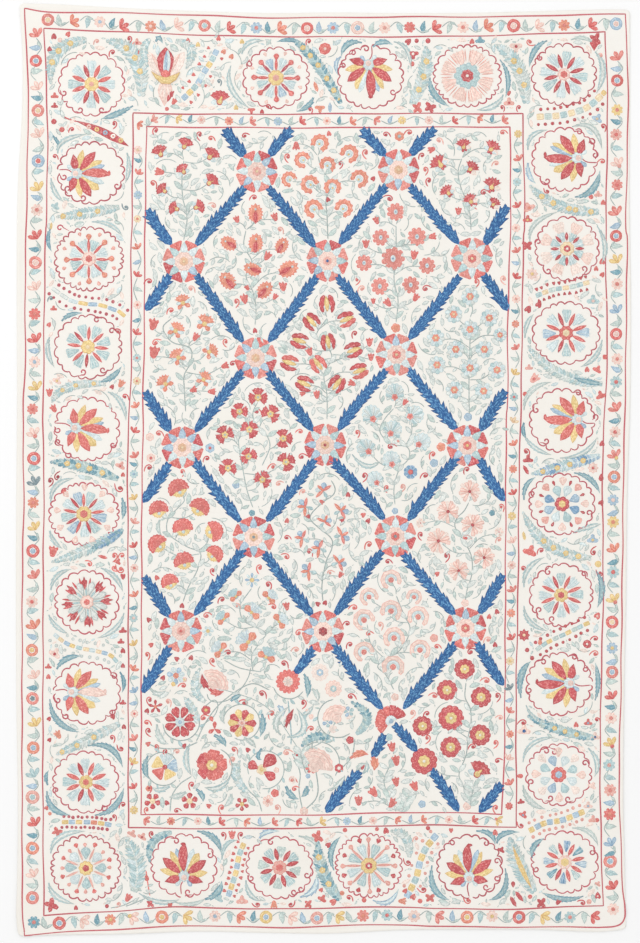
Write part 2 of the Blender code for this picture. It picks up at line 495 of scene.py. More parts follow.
@dataclass
class Needlework:
    """One piece of embroidery: patches collected on the chart, then joined into one mesh."""

    name: str
    seed: int
    slot: str = "silk_thread"
    lift: int = 0  # how many patches of other pieces it lies on
    places: list[Array] = field(default_factory=list)
    heights: list[Array] = field(default_factory=list)
    dyes: list[Array] = field(default_factory=list)
    edges: list[Array] = field(default_factory=list)
    rims: list[Array] = field(default_factory=list)
    threads: list[Array] = field(default_factory=list)
    faces: list[Array] = field(default_factory=list)
    total: int = 0

    def __post_init__(self) -> None:
        """Start the piece's own hand: a fixed source of unevenness."""
        self.hand = np.random.default_rng(self.seed)

    def uneven(self, spread: float) -> float:
        """A small change either way, at most the spread."""
        return float(self.hand.uniform(-spread, spread))

    def add(
        self,
        places: Array,
        rises: Array,
        threads: Array,
        rims: Array,
        faces: Array,
        dye: Dye,
        level: int,
    ) -> None:
        """Take in one patch.

        Args:
            places: chart places of its corners.
            rises: heights, as a share of the crown, and -1 at the tuck.
            threads: along and across the stitches, in chart squares.
            rims: distance in from the patch's outline, in chart squares.
            faces: corner numbers of its quads or triangles, four to a row, -1 where unused.
            dye: colour of its thread.
            level: how many patches it lies on.
        """
        step = (level + self.lift) * LEVEL_RISE + self.uneven(0.00006)
        crown = CROWN * (1.0 + self.uneven(0.12))
        heights = np.where(rises < 0.0, -TUCK + step * 0.6, rises * crown + step)
        shade = 1.0 + self.uneven(0.08)
        colour = linear(dye) * np.array([shade, shade, shade, 1.0])
        outlined = float(np.max(rims)) > OUTLINED_RIM
        edge = linear(EDGE_DYES.get(dye, dye)) if outlined else colour
        self.places.append(places)
        self.heights.append(heights)
        self.dyes.append(np.tile(colour, (len(places), 1)))
        self.edges.append(np.tile(edge, (len(places), 1)))
        self.rims.append(rims * CHART_PITCH)
        pick = np.full((len(places), 1), self.hand.uniform(0.0, 9.0))
        self.threads.append(np.hstack([threads * CHART_PITCH, pick]))
        self.faces.append(np.where(faces < 0, -1, faces + self.total))
        self.total += len(places)

    def ribbon(
        self,
        spine: Array,
        left: Array,
        right: Array,
        dye: Dye,
        level: int = 0,
        closed: bool = False,
        section: Section = FULL_SECTION,
        lean: Array | None = None,
    ) -> None:
        """A strip of stitches along a spine.

        Each corner stands off the spine along its normal, by the section's share of the half
        width on that side. The first and last rows are tucked into the cloth.

        Args:
            spine: chart places along the middle.
            left: half width on the left of the run, at each place.
            right: half width on the right, at each place.
            dye: colour of its thread.
            level: how many patches it lies on.
            closed: whether it runs round into itself.
            section: its cross-section.
            lean: how far the outer corners slide back along the run, at each place.
        """
        rows = len(spine)
        if closed:
            run = np.roll(spine, -1, axis=0) - np.roll(spine, 1, axis=0)
        else:
            run = np.gradient(spine, axis=0)
        run = run / np.maximum(np.hypot(run[:, 0], run[:, 1]), 1e-9)[:, None]
        normal = np.column_stack([-run[:, 1], run[:, 0]])
        sides = np.array(section.sides)
        out = np.where(sides > 0.0, left[:, None] * sides, right[:, None] * sides)
        places = spine[:, None, :] + normal[:, None, :] * out[:, :, None]
        if lean is not None:
            slide = lean[:, None] * np.abs(sides) ** 2
            places = places - run[:, None, :] * slide[:, :, None]
        rises = np.tile(np.array(section.rises), (rows, 1))
        if not closed:
            rises[0] = -1.0
            rises[-1] = -1.0
        steps = np.hypot(*np.diff(spine, axis=0).T)
        along = np.concatenate([[0.0], np.cumsum(steps)])
        threads = np.stack([np.tile(along[:, None], (1, len(sides))), out], axis=2)
        rims = np.where(sides > 0.0, left[:, None], right[:, None]) - np.abs(out)
        if not closed:
            rims[0] = 0.0
            rims[-1] = 0.0
        faces = grid_faces(rows, len(sides), closed)
        count = rows * len(sides)
        self.add(
            places.reshape(count, 2),
            rises.reshape(count),
            threads.reshape(count, 2),
            rims.reshape(count),
            faces,
            dye,
            level,
        )

    def disc(self, centre: Array, radii: Array, dye: Dye, level: int = 0, turn: float = 0.0):
        """A round patch whose edge follows a radius for each of its even directions.

        Args:
            centre: its chart place.
            radii: radius in each direction, starting at the turn and going to the left.
            dye: colour of its thread.
            level: how many patches it lies on.
            turn: heading of the first radius, in degrees.
        """
        count = len(radii)
        angles = math.radians(turn) + np.linspace(0.0, 2.0 * math.pi, count, endpoint=False)
        steps = directions(angles)
        shares = np.array([0.5, 0.84, 1.0])
        rings = centre + steps[None] * (shares[:, None] * radii)[:, :, None]
        places = np.vstack([centre[None], rings.reshape(-1, 2)])
        rises = np.concatenate([[1.0], np.repeat([1.0, 0.8, -1.0], count)])
        mean = float(np.mean(radii))
        around = np.tile(angles * mean, 3)
        outwards = (shares[:, None] * radii).reshape(-1)
        threads = np.vstack([[0.0, 0.0], np.column_stack([around, outwards])])
        here = np.arange(count)
        after = np.roll(here, -1)
        fan = np.column_stack([np.zeros(count, int), here + 1, after + 1, np.full(count, -1)])
        rows = []
        for ring in (0, 1):
            low = 1 + ring * count
            high = low + count
            rows.append(np.column_stack([low + here, high + here, high + after, low + after]))
        rims = np.concatenate([[mean], ((1.0 - shares[:, None]) * radii).reshape(-1)])
        self.add(places, rises, threads, rims, np.vstack([fan, *rows]), dye, level)

    def join(self, cloth: Cloth, material: bpy.types.Material) -> bpy.types.Object:
        """Join all patches into one mesh that lies on the cloth.

        Args:
            cloth: the cloth that it lies on.
            material: its finish.

        Returns:
            The piece.
        """
        places = np.vstack(self.places) * CHART_PITCH + cloth.shift
        height = cloth.face(places[:, 0], places[:, 1]) + np.concatenate(self.heights)
        corners = np.column_stack([places, height])
        mesh = joined_mesh(self.name, corners, np.vstack(self.faces))
        colour = mesh.attributes.new("dye", "FLOAT_COLOR", "POINT")
        colour.data.foreach_set("color", np.vstack(self.dyes).astype(np.float32).ravel())
        edge = mesh.attributes.new("edge", "FLOAT_COLOR", "POINT")
        edge.data.foreach_set("color", np.vstack(self.edges).astype(np.float32).ravel())
        rim = mesh.attributes.new("rim", "FLOAT", "POINT")
        rim.data.foreach_set("value", np.concatenate(self.rims).astype(np.float32))
        thread = mesh.attributes.new("thread", "FLOAT_VECTOR", "POINT")
        thread.data.foreach_set("vector", np.vstack(self.threads).astype(np.float32).ravel())
        mesh.materials.append(material)
        piece = bpy.data.objects.new(self.name, mesh)
        bpy.context.scene.collection.objects.link(piece)
        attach(piece, "root")
        log.info("%s: %d patches, %d faces", self.name, len(self.places), len(mesh.polygons))
        return piece


def grid_faces(rows: int, columns: int, closed: bool) -> Array:
    """Quads of a grid whose rows follow its run and whose columns go from right to left."""
    last = rows if closed else rows - 1
    row = np.arange(last)[:, None]
    column = np.arange(columns - 1)[None, :]
    after = (row + 1) % rows
    here = row * columns + column
    there = after * columns + column
    quads = np.stack([here, there, there + 1, here + 1], axis=2)
    return quads.reshape(-1, 4)


def joined_mesh(name: str, corners: Array, faces: Array) -> bpy.types.Mesh:
    """A mesh from corners and faces.

    Args:
        name: its name.
        corners: places of its corners, in metres.
        faces: four corner numbers to a row, with -1 in the last place of a triangle.

    Returns:
        The mesh, shaded smooth.
    """
    mesh = bpy.data.meshes.new(name)
    sizes = np.where(faces[:, 3] < 0, 3, 4)
    loops = faces[faces >= 0]
    starts = np.concatenate([[0], np.cumsum(sizes)[:-1]])
    mesh.vertices.add(len(corners))
    mesh.vertices.foreach_set("co", corners.astype(np.float32).ravel())
    mesh.loops.add(len(loops))
    mesh.loops.foreach_set("vertex_index", loops.astype(np.int32))
    mesh.polygons.add(len(sizes))
    mesh.polygons.foreach_set("loop_start", starts.astype(np.int32))
    mesh.update(calc_edges=True)
    mesh.validate()
    mesh.shade_smooth()
    return mesh


# --------------------------------------------------------------------------------------------
# Motifs
# --------------------------------------------------------------------------------------------


class Form(Enum):
    """Small motifs as radii in even steps from the heading round to the back, on both sides."""

    DOT = (1.0, 1.0, 1.0, 1.0, 1.0)
    HEART = (1.30, 0.98, 0.84, 0.90, 1.05, 1.02, 0.55)
    DROP = (1.60, 1.05, 0.80, 0.72, 0.68, 0.64, 0.62)
    TULIP = (1.25, 0.78, 1.22, 1.05, 0.66, 0.62, 0.60, 0.64, 0.74, 0.86, 0.92)
    BOW = (0.55, 0.95, 1.35, 1.20, 0.62, 0.95, 1.20, 0.85, 0.45)
    TREFOIL = (1.18, 1.02, 0.60, 0.66, 1.05, 1.18, 0.98, 0.62, 0.50, 0.55)
    SPIKY = (1.15, 0.80, 1.15, 0.80, 1.15, 0.80, 1.15, 0.80, 1.15)
    SQUARE = (0.92, 0.96, 1.12, 0.96, 0.92, 0.96, 1.12, 0.96, 0.92)
    LEAF = (1.75, 0.95, 0.62, 0.50, 0.62, 0.95, 1.55)
    WING = (0.70, 1.25, 1.05, 0.62, 0.52, 0.60, 0.95)

    def radii(self, size: float) -> Array:
        """Radii all round, from the heading to the left and back."""
        half = np.array(self.value) * size
        return np.concatenate([half, half[-2:0:-1]])


def lobed(size: float, lobes: int, depth: float, steps: int = 4) -> Array:
    """Radii of a round outline with bulging lobes and narrow notches between them.

    Args:
        size: radius at the top of a lobe.
        lobes: how many there are.
        depth: depth of a notch, as a share of the size.
        steps: directions to a lobe.

    Returns:
        The radii, starting at a notch.
    """
    phase = np.arange(lobes * steps) * math.pi / steps
    return size * (1.0 - depth + depth * np.sqrt(np.abs(np.sin(phase))))


def stroke(work: Needlework, points: Array, half: float, dye: Dye, level: int = 0) -> None:
    """A line of stitches through points, drawn in at both ends."""
    spine = smooth_path(points, 1.8)
    shares = np.linspace(0.0, 1.0, len(spine))
    ends = np.minimum(shares, 1.0 - shares) * len(spine)
    width = half * np.clip(0.45 + 0.4 * ends, 0.0, 1.0)
    work.ribbon(spine, width, width, dye, level, section=THIN_SECTION)


def small_section(half: float) -> Section:
    """A narrow patch needs no flat top."""
    return THIN_SECTION if half < 1.5 else FULL_SECTION


def petal(
    work: Needlework,
    base: Array,
    heading: float,
    inner: float,
    outer: float,
    half: float,
    dye: Dye,
    girth: Girth = Girth.LENS,
    level: int = 0,
    bend: float = 0.0,
) -> None:
    """A patch that runs straight out from a base, or bends to one side.

    Args:
        work: the piece.
        base: chart place that distances are counted from.
        heading: its direction.
        inner: distance of its near end.
        outer: distance of its tip.
        half: half width at its widest.
        dye: colour.
        girth: how its width changes.
        level: how many patches it lies on.
        bend: how far its middle stands to the left of the straight line.
    """
    heading += work.uneven(2.5)
    outer += work.uneven(0.4)
    count = 6 if outer - inner < 8.0 else 8
    shares = end_shares(count)
    start = base + aim(heading) * inner
    end = base + aim(heading) * outer
    middle = (start + end) / 2.0 + aim(heading + 90.0) * bend
    width = girth.half(shares) * half
    spine = bent_path(start, middle, end, shares)
    work.ribbon(spine, width, width, dye, level, section=small_section(half))


def blade(
    work: Needlework,
    start: Array,
    middle: Array,
    end: Array,
    half: float,
    dye: Dye,
    girth: Girth = Girth.CRESCENT,
    teeth: int = 0,
    level: int = 0,
) -> None:
    """A leaf on the parabola through three places, plain or with teeth that point back.

    Args:
        work: the piece.
        start: chart place of its first end, which the teeth point back to.
        middle: chart place of its middle.
        end: chart place of its last end.
        half: half width at its widest.
        dye: colour.
        girth: how its width changes.
        teeth: number of teeth on each side.
        level: how many patches it lies on.
    """
    length = float(np.hypot(*(middle - start)) + np.hypot(*(end - middle)))
    if teeth:
        shares = np.linspace(0.0, 1.0, 2 * teeth + 1)
        tips = np.arange(2 * teeth + 1) % 2 == 1
        width = girth.half(shares) * half * np.where(tips, 1.0, 0.72)
        lean = np.where(tips, 0.75 * length / teeth, 0.0)
    else:
        shares = end_shares(max(6, int(length / 4.0)))
        width = girth.half(shares) * half
        lean = None
    spine = bent_path(start, middle, end, shares)
    work.ribbon(spine, width, width, dye, level, section=small_section(half), lean=lean)


def spot(work: Needlework, centre: Array, size: float, dye: Dye, level: int = 0) -> None:
    """A small round dot."""
    work.disc(centre, size * (1.0 + work.hand.uniform(-0.08, 0.08, 8)), dye, level)


def figure(
    work: Needlework, form: Form, centre: Array, size: float, heading: float, dye: Dye, level: int = 0
) -> None:
    """A small motif in one colour."""
    radii = form.radii(size)
    radii = radii * (1.0 + work.hand.uniform(-0.06, 0.06, len(radii)))
    work.disc(centre, radii, dye, level, heading)


def curl(
    work: Needlework, end: Array, size: float, heading: float, hand: int, dye: Dye, half: float = 0.85
) -> None:
    """A hook that winds in like a ram's horn and ends in a round blob.

    The line turns faster as it goes: its heading changes by 300 degrees times the square of the
    share of its run, while its steps shrink to a half.

    Args:
        work: the piece.
        end: chart place of the blob.
        size: its overall height.
        heading: direction in which it sets out.
        hand: 1 if it winds to the left and -1 to the right.
        dye: colour.
        half: half width of the line.
    """
    shares = np.linspace(0.0, 1.0, 14)
    turn = np.radians(heading + hand * 300.0 * shares**2)
    steps = directions(turn) * (1.0 - 0.5 * shares)[:, None]
    path = np.cumsum(steps, axis=0) * size * 0.19
    path = path - path[-1] + end
    width = half * np.clip(0.6 + 3.0 * shares, 0.0, 1.0)
    work.ribbon(path, width, width, dye, 0, section=THIN_SECTION)
    spot(work, end, max(1.3, 0.20 * size), dye, 1)


def ringlet(
    work: Needlework, centre: Array, outer: float, inner: float, dye: Dye, heart: Dye | None
) -> None:
    """A round ring with an open or filled middle.

    Args:
        work: the piece.
        centre: chart place.
        outer: radius of its outside.
        inner: radius of its hole.
        dye: colour of the ring.
        heart: colour of the filled middle, if it has one.
    """
    count = max(10, int(outer * 2.2))
    angles = np.linspace(0.0, 2.0 * math.pi, count, endpoint=False)
    reach = 1.0 + work.hand.uniform(-0.05, 0.05, count)
    middle = (outer + inner) / 2.0
    spine = centre + directions(angles) * middle * reach[:, None]
    width = np.full(count, (outer - inner) / 2.0)
    work.ribbon(spine, width, width, dye, 0, closed=True, section=small_section(width[0]))
    if heart is not None:
        work.disc(centre, lobed(inner * 0.9, 5, 0.2, 3), heart, 0)


def blossom(
    work: Needlework, centre: Array, size: float, dye: Dye, heart: Dye, lobes: int = 6, turn: float = 0.0
) -> None:
    """A round flower with scalloped petals and a dot in its middle."""
    work.disc(centre, lobed(size, lobes, 0.28), dye, 0, turn)
    spot(work, centre, size * 0.36, heart, 1)


def leafy(work: Needlework, base: Array, heading: float, length: float, dye: Dye, half: float = 0.0):
    """A small plain leaf on a stem."""
    half = half or length * 0.25
    middle = base + aim(heading) * length * 0.5 + aim(heading + 90.0) * work.uneven(0.10 * length)
    blade(work, base, middle, base + aim(heading) * length, half, dye, Girth.LENS)


# --------------------------------------------------------------------------------------------
# Flowers of the bushes
# --------------------------------------------------------------------------------------------


class Bloom(Enum):
    """Kinds of flower head."""

    CARNATION = "red fan with a yellow base and pale leaves"
    SPIKED = "fan with long teeth and two small tongues"
    TREFOIL = "three red lobes round a yellow middle"
    ROUNDEL = "open orange ring round a pale middle"
    FEATHER = "feathery oval"
    ROSETTE = "round rosette with a pale blue middle"
    IRIS = "orange cap and two small petals round a yellow middle"
    STRIPED_TULIP = "tulip with a yellow stripe"
    ASTER = "pale aster with an orange middle"
    FAN = "pale round fan on a red base"
    CLOUD = "coral cap with a yellow lower edge"
    STAR = "three narrow petals with blue ones between"
    PINK_CARNATION = "spiky pink fan"
    MIXED = "pale blue fan between two orange petals"
    WREATH = "pink ring, blue ring and red middle"
    POPPY = "round red flower with a yellow middle"
    PEACH = "wide pale peach fan"
    BUD = "small red tulip"


def fan_radii(size: float, spread: float, splits: Sequence[float], frill: float) -> Array:
    """Radii of a fan round its heading, with splits cut in to its middle.

    Args:
        size: radius of the fan.
        spread: half of the angle that it opens to, in degrees.
        splits: headings of the splits from the middle of the fan, in degrees.
        frill: depth of the teeth on its edge, as a share of the size.

    Returns:
        Radii in 36 even directions from the heading.
    """
    angles = np.linspace(0.0, 360.0, 36, endpoint=False)
    off = np.minimum(angles, 360.0 - angles)
    signed = np.where(angles > 180.0, angles - 360.0, angles)
    radii = size * (1.0 - frill * (np.arange(36) % 2))
    radii = np.where(off > spread, size * 0.30, radii)
    for split in splits:
        radii = np.where(np.abs(signed - split) < 6.0, size * 0.32, radii)
    return radii


def oval_radii(size: float, stretch: float, frill: float) -> Array:
    """Radii of a toothed oval.

    Args:
        size: half width.
        stretch: length over width.
        frill: depth of the teeth, as a share of the radius.

    Returns:
        Radii in 28 even directions from the long axis.
    """
    angles = np.linspace(0.0, 2.0 * math.pi, 28, endpoint=False)
    oval = size / np.sqrt((np.cos(angles) / stretch) ** 2 + np.sin(angles) ** 2)
    return oval * (1.0 - frill * (np.arange(28) % 2))


FOOT_SHARE = 0.45  # how far below its middle the stem meets a head, as a share of its size
STEM_HALF = 0.72  # half the width of a trunk or scroll, in chart squares
BRANCH_HALF = 0.58  # and of a branch
FAN_RIB_HALF = 0.62  # and of a rib of the pale peach fan


@dataclass(frozen=True)
class Flower:
    """One flower head, drawn on the piece of the flowers."""

    work: Needlework
    place: Array
    size: float
    facing: float

    def draw(self, bloom: Bloom) -> None:
        """Draw the head of one kind."""
        getattr(self, bloom.name.lower())()

    def along(self, share: float) -> Array:
        """A place on the head's own line: shares of its size from the middle, up or down."""
        return self.place + aim(self.facing) * self.size * share

    def foot(self) -> Array:
        """Where the stem meets the head."""
        return self.place - aim(self.facing) * self.size * FOOT_SHARE

    def petal(
        self, root: Array, turn: float, inner: float, reach: float, half: float, dye: Dye,
        girth: Girth = Girth.LENS, level: int = 0,
    ) -> None:
        """One petal.

        Args:
            root: the place that it grows from.
            turn: its heading, counted from the head's facing, in degrees.
            inner: where it starts, in chart squares from its root.
            reach: where it ends, as a share of the head's size.
            half: half its width, as a share of the head's size.
            dye: colour.
            girth: shape.
            level: its place in the stack.
        """
        heading = self.facing + turn
        petal(self.work, root, heading, inner, self.size * reach, self.size * half, dye, girth, level)

    def disc(self, centre: Array, radii: Array, dye: Dye, level: int = 0) -> None:
        """A patch of rows round a centre, turned to the head's facing."""
        self.work.disc(centre, radii, dye, level, self.facing)

    def dot(self, centre: Array, share: float, dye: Dye, level: int) -> None:
        """A small round spot, its radius a share of the head's size."""
        spot(self.work, centre, self.size * share, dye, level)

    def collar(
        self, inner: float, outer: float, spread: float, count: int, dye: Dye, frill: float = 0.30
    ) -> None:
        """A scalloped ring that is open towards the stem.

        Args:
            inner: radius of its inside, as a share of the size.
            outer: radius of its outside, as a share of the size.
            spread: how far it reaches to each side of its facing, in degrees.
            count: places along it.
            dye: colour.
            frill: height of its scallops, as a share of half its width.
        """
        angles = np.radians(self.facing + np.linspace(-spread, spread, count))
        middle = self.size * (inner + outer) / 2.0
        spine = self.place + directions(angles) * middle
        width = np.full(count, self.size * (outer - inner) / 2.0)
        outside = width * (1.0 + frill * (np.arange(count) % 2))
        width[[0, -1]] *= 0.4
        self.work.ribbon(spine, width, outside, dye)

    def carnation(self, frill: float = 0.09) -> None:
        """A red fan with a toothed edge, a yellow base and two pale leaves."""
        foot = self.place - aim(self.facing) * self.size * 0.55
        for side in (-1.0, 1.0):
            self.petal(foot, side * 100.0, 0.0, 1.0, 0.34, ICE)
        self.disc(foot, fan_radii(self.size * 1.34, 66.0, (), frill), CRIMSON, 1)
        self.dot(foot, 0.33, YELLOW, 2)
        self.petal(foot, -20.0, 0.0, 0.7, 0.18, YELLOW, level=2)

    def spiked(self) -> None:
        """A carnation with long teeth, with two small tongues and a pale leaf below."""
        foot = self.place - aim(self.facing) * self.size * 0.5
        self.petal(foot, -100.0, 0.0, 1.1, 0.4, BLUSH)
        for side in (-150.0, 165.0):
            self.petal(foot, side, 0.5, 0.72, 0.22, CRIMSON, Girth.DROP)
        self.carnation(0.19)

    def trefoil(self) -> None:
        """Three red lobes round a yellow middle, open towards the stem."""
        self.disc(self.place, fan_radii(self.size * 1.08, 140.0, (-50.0, 50.0), 0.10), CRIMSON)
        self.disc(self.place, lobed(self.size * 0.44, 5, 0.3), YELLOW, 1)
        self.dot(self.place, 0.15, SEA, 2)

    def roundel(self) -> None:
        """An open orange ring round a pale blue middle."""
        self.collar(0.50, 0.98, 146.0, 19, ORANGE, 0.62)
        self.disc(self.place, lobed(self.size * 0.42, 6, 0.2), ICE)
        middle = self.place - aim(self.facing) * self.size * 0.12
        self.petal(middle, 60.0, 0.0, 0.36, 0.14, SKY, level=1)
        self.dot(middle, 0.15, YELLOW, 2)

    def feather(self) -> None:
        """A feathery orange-red oval with a red heart that rises from its foot."""
        self.disc(self.along(0.1), oval_radii(self.size * 0.95, 1.34, 0.20), ORANGE)
        low = self.place - aim(self.facing) * self.size * 0.34
        self.disc(low, oval_radii(self.size * 0.44, 1.8, 0.16), CORAL, 1)
        foot = self.place - aim(self.facing) * self.size
        self.petal(foot, 0.0, 0.0, 1.5, 0.25, CRIMSON, level=2)
        self.dot(self.along(0.62), 0.16, ICE, 1)

    def rosette(self) -> None:
        """A frilled coral head with a small pale blue middle."""
        self.disc(self.place, lobed(self.size, 9, 0.24), SALMON)
        self.work.disc(self.place, oval_radii(self.size * 0.24, 1.35, 0.0), ICE, 1, 90.0)
        self.dot(self.place, 0.10, DENIM, 2)

    def iris(self) -> None:
        """An orange cap and two small petals round a yellow middle, with two pale blue petals."""
        self.petal(self.place, -74.0, 0.0, 1.1, 0.30, ICE)
        self.petal(self.place, 88.0, 0.0, 0.9, 0.26, ICE)
        self.disc(self.place, fan_radii(self.size * 1.24, 62.0, (), 0.18), ORANGE)
        for side in (-124.0, 136.0):
            self.petal(self.place, side, 0.5, 1.02, 0.32, ORANGE, Girth.DROP)
        self.disc(self.place, lobed(self.size * 0.34, 5, 0.25), YELLOW, 2)

    def striped_tulip(self) -> None:
        """Two coral petals with a yellow one between."""
        run = aim(self.facing)
        out = aim(self.facing + 90.0)
        for side in (-1.0, 1.0):
            self.petal(self.foot(), side * 60.0, 0.0, 0.8, 0.3, ICE)
            self.ruffle(run * -1.00 + out * side * 0.46, out * side * 0.58, run * 0.98 + out * side * 0.26)
        self.petal(self.place - run * self.size * 0.85, 0.0, 0.0, 1.75, 0.30, YELLOW, level=2)

    def ruffle(self, heel: Array, middle: Array, tip: Array) -> None:
        """A long petal with three bulges, through three places counted from the head in sizes."""
        shares = np.linspace(0.0, 1.0, 13)
        reach = (np.array([heel, middle, tip]) * self.size) + self.place
        spine = bent_path(reach[0], reach[1], reach[2], shares)
        bulges = 0.74 + 0.26 * np.sqrt(np.abs(np.sin(3.0 * math.pi * shares)))
        width = Girth.PLUME.half(shares) * self.size * 0.34 * bulges
        dye = CRIMSON if self.work.uneven(1.0) > -0.3 else CORAL
        self.work.ribbon(spine, width, width, dye, 1)

    def aster(self) -> None:
        """A pale aqua aster with narrow petals."""
        self.disc(self.place, lobed(self.size, 10, 0.16), ICE)
        for step in range(10):
            dye = (ICE, FOAM, ICE, AQUA)[step % 4]
            self.petal(self.place, 18.0 + step * 36.0, self.size * 0.4, 1.0, 0.28, dye, Girth.DROP, 1)
        self.disc(self.place, lobed(self.size * 0.48, 6, 0.2, 3), ORANGE, 2)
        self.dot(self.place, 0.20, CREAM, 3)

    def fan(self) -> None:
        """A pale aqua ribbed fan, nearly round, on a red base."""
        foot = self.foot()
        self.disc(self.along(0.08), lobed(self.size * 1.04, 12, 0.12), ICE)
        for step in range(9):
            dye = (FOAM, AQUA, FOAM)[step % 3]
            self.petal(foot, (step - 4) * 26.0, 2.4, 1.44 - 0.13 * abs(step - 4), 0.17, dye, Girth.WEDGE, 1)
        self.disc(foot, lobed(self.size * 0.40, 5, 0.2, 3), SALMON, 2)
        self.dot(foot, 0.16, CORAL, 3)

    def cloud(self) -> None:
        """A coral cap with a toothed top and a yellow lower edge."""
        run = aim(self.facing)
        low = self.place - run * self.size * 0.12
        self.work.disc(low, fan_radii(self.size * 0.90, 150.0, (), 0.12), YELLOW, 0, self.facing + 180.0)
        cap = self.place - run * self.size * 0.14
        self.disc(cap, fan_radii(self.size * 1.12, 116.0, (), 0.08), CORAL, 1)
        self.dot(self.place - run * self.size * 0.5, 0.2, ICE, 2)

    def star(self) -> None:
        """Three narrow coral petals with pale blue ones between."""
        for side, half, dye in ((-48.0, 0.36, SKY), (46.0, 0.30, ICE), (168.0, 0.24, AQUA)):
            self.petal(self.place, side, 1.0, 1.0, half, dye, Girth.DROP)
        for side, share, dye in ((-98.0, 1.10, SALMON), (8.0, 0.92, ORANGE), (96.0, 1.24, ORANGE)):
            self.petal(self.place, side, -1.0, share, 0.20, dye, level=1)

    def pink_carnation(self) -> None:
        """A spiky pink round, open towards the stem, on a crimson dot."""
        for step in range(13):
            dye = (PINK, PINK, BLUSH)[step % 3]
            self.petal(self.place, (step - 6) * 24.5, 1.4, 1.30 - 0.14 * (step % 2), 0.22, dye, Girth.WEDGE)
        self.dot(self.place, 0.18, CRIMSON, 1)

    def mixed(self) -> None:
        """A pale blue ribbed fan between two orange petals, on a yellow dot."""
        fill = AQUA if self.work.uneven(1.0) > 0.2 else ICE
        self.disc(self.place, fan_radii(self.size * 1.24, 58.0, (), 0.10), fill)
        for side in (-36.0, -12.0, 12.0, 36.0):
            self.petal(self.place, side, 2.0, 1.1, 0.08, SKY, level=1)
        for side in (-84.0, 88.0):
            self.petal(self.place, side, 0.0, 1.04, 0.40, ORANGE, Girth.DROP, 1)
        self.dot(self.place, 0.22, YELLOW, 2)

    def wreath(self) -> None:
        """A pink ring that is open towards the stem, a blue ring in it and a red middle."""
        self.collar(0.60, 1.02, 140.0, 13, PINK)
        self.collar(0.34, 0.62, 120.0, 8, ICE)
        self.dot(self.place, 0.28, SALMON, 1)

    def poppy(self) -> None:
        """A round red flower with a yellow middle."""
        self.disc(self.place, lobed(self.size * 1.08, 11, 0.10), CRIMSON)
        self.disc(self.place, lobed(self.size * 0.56, 7, 0.16), YELLOW, 1)
        self.dot(self.place, 0.14, IVORY, 2)

    def peach(self) -> None:
        """A wide pale peach fan with ribs."""
        foot = self.foot()
        self.disc(foot, fan_radii(self.size * 1.5, 72.0, (), 0.06), PINK)
        angles = np.radians(self.facing + np.linspace(-62.0, 62.0, 11))
        half = np.full(len(angles), FAN_RIB_HALF)
        for ring in (0.5, 0.85, 1.2):
            arc = foot + directions(angles) * self.size * ring
            self.work.ribbon(arc, half, half, ROSE, 1, section=THIN_SECTION)

    def bud(self) -> None:
        """A small red tulip."""
        figure(self.work, Form.TULIP, self.place, self.size * 0.9, self.facing, CORAL)


class Head(NamedTuple):
    """One flower head of a bush, in chart squares."""

    across: float
    down: float
    size: float
    facing: float | None = None  # heading that it opens to; away from its stem if none is given


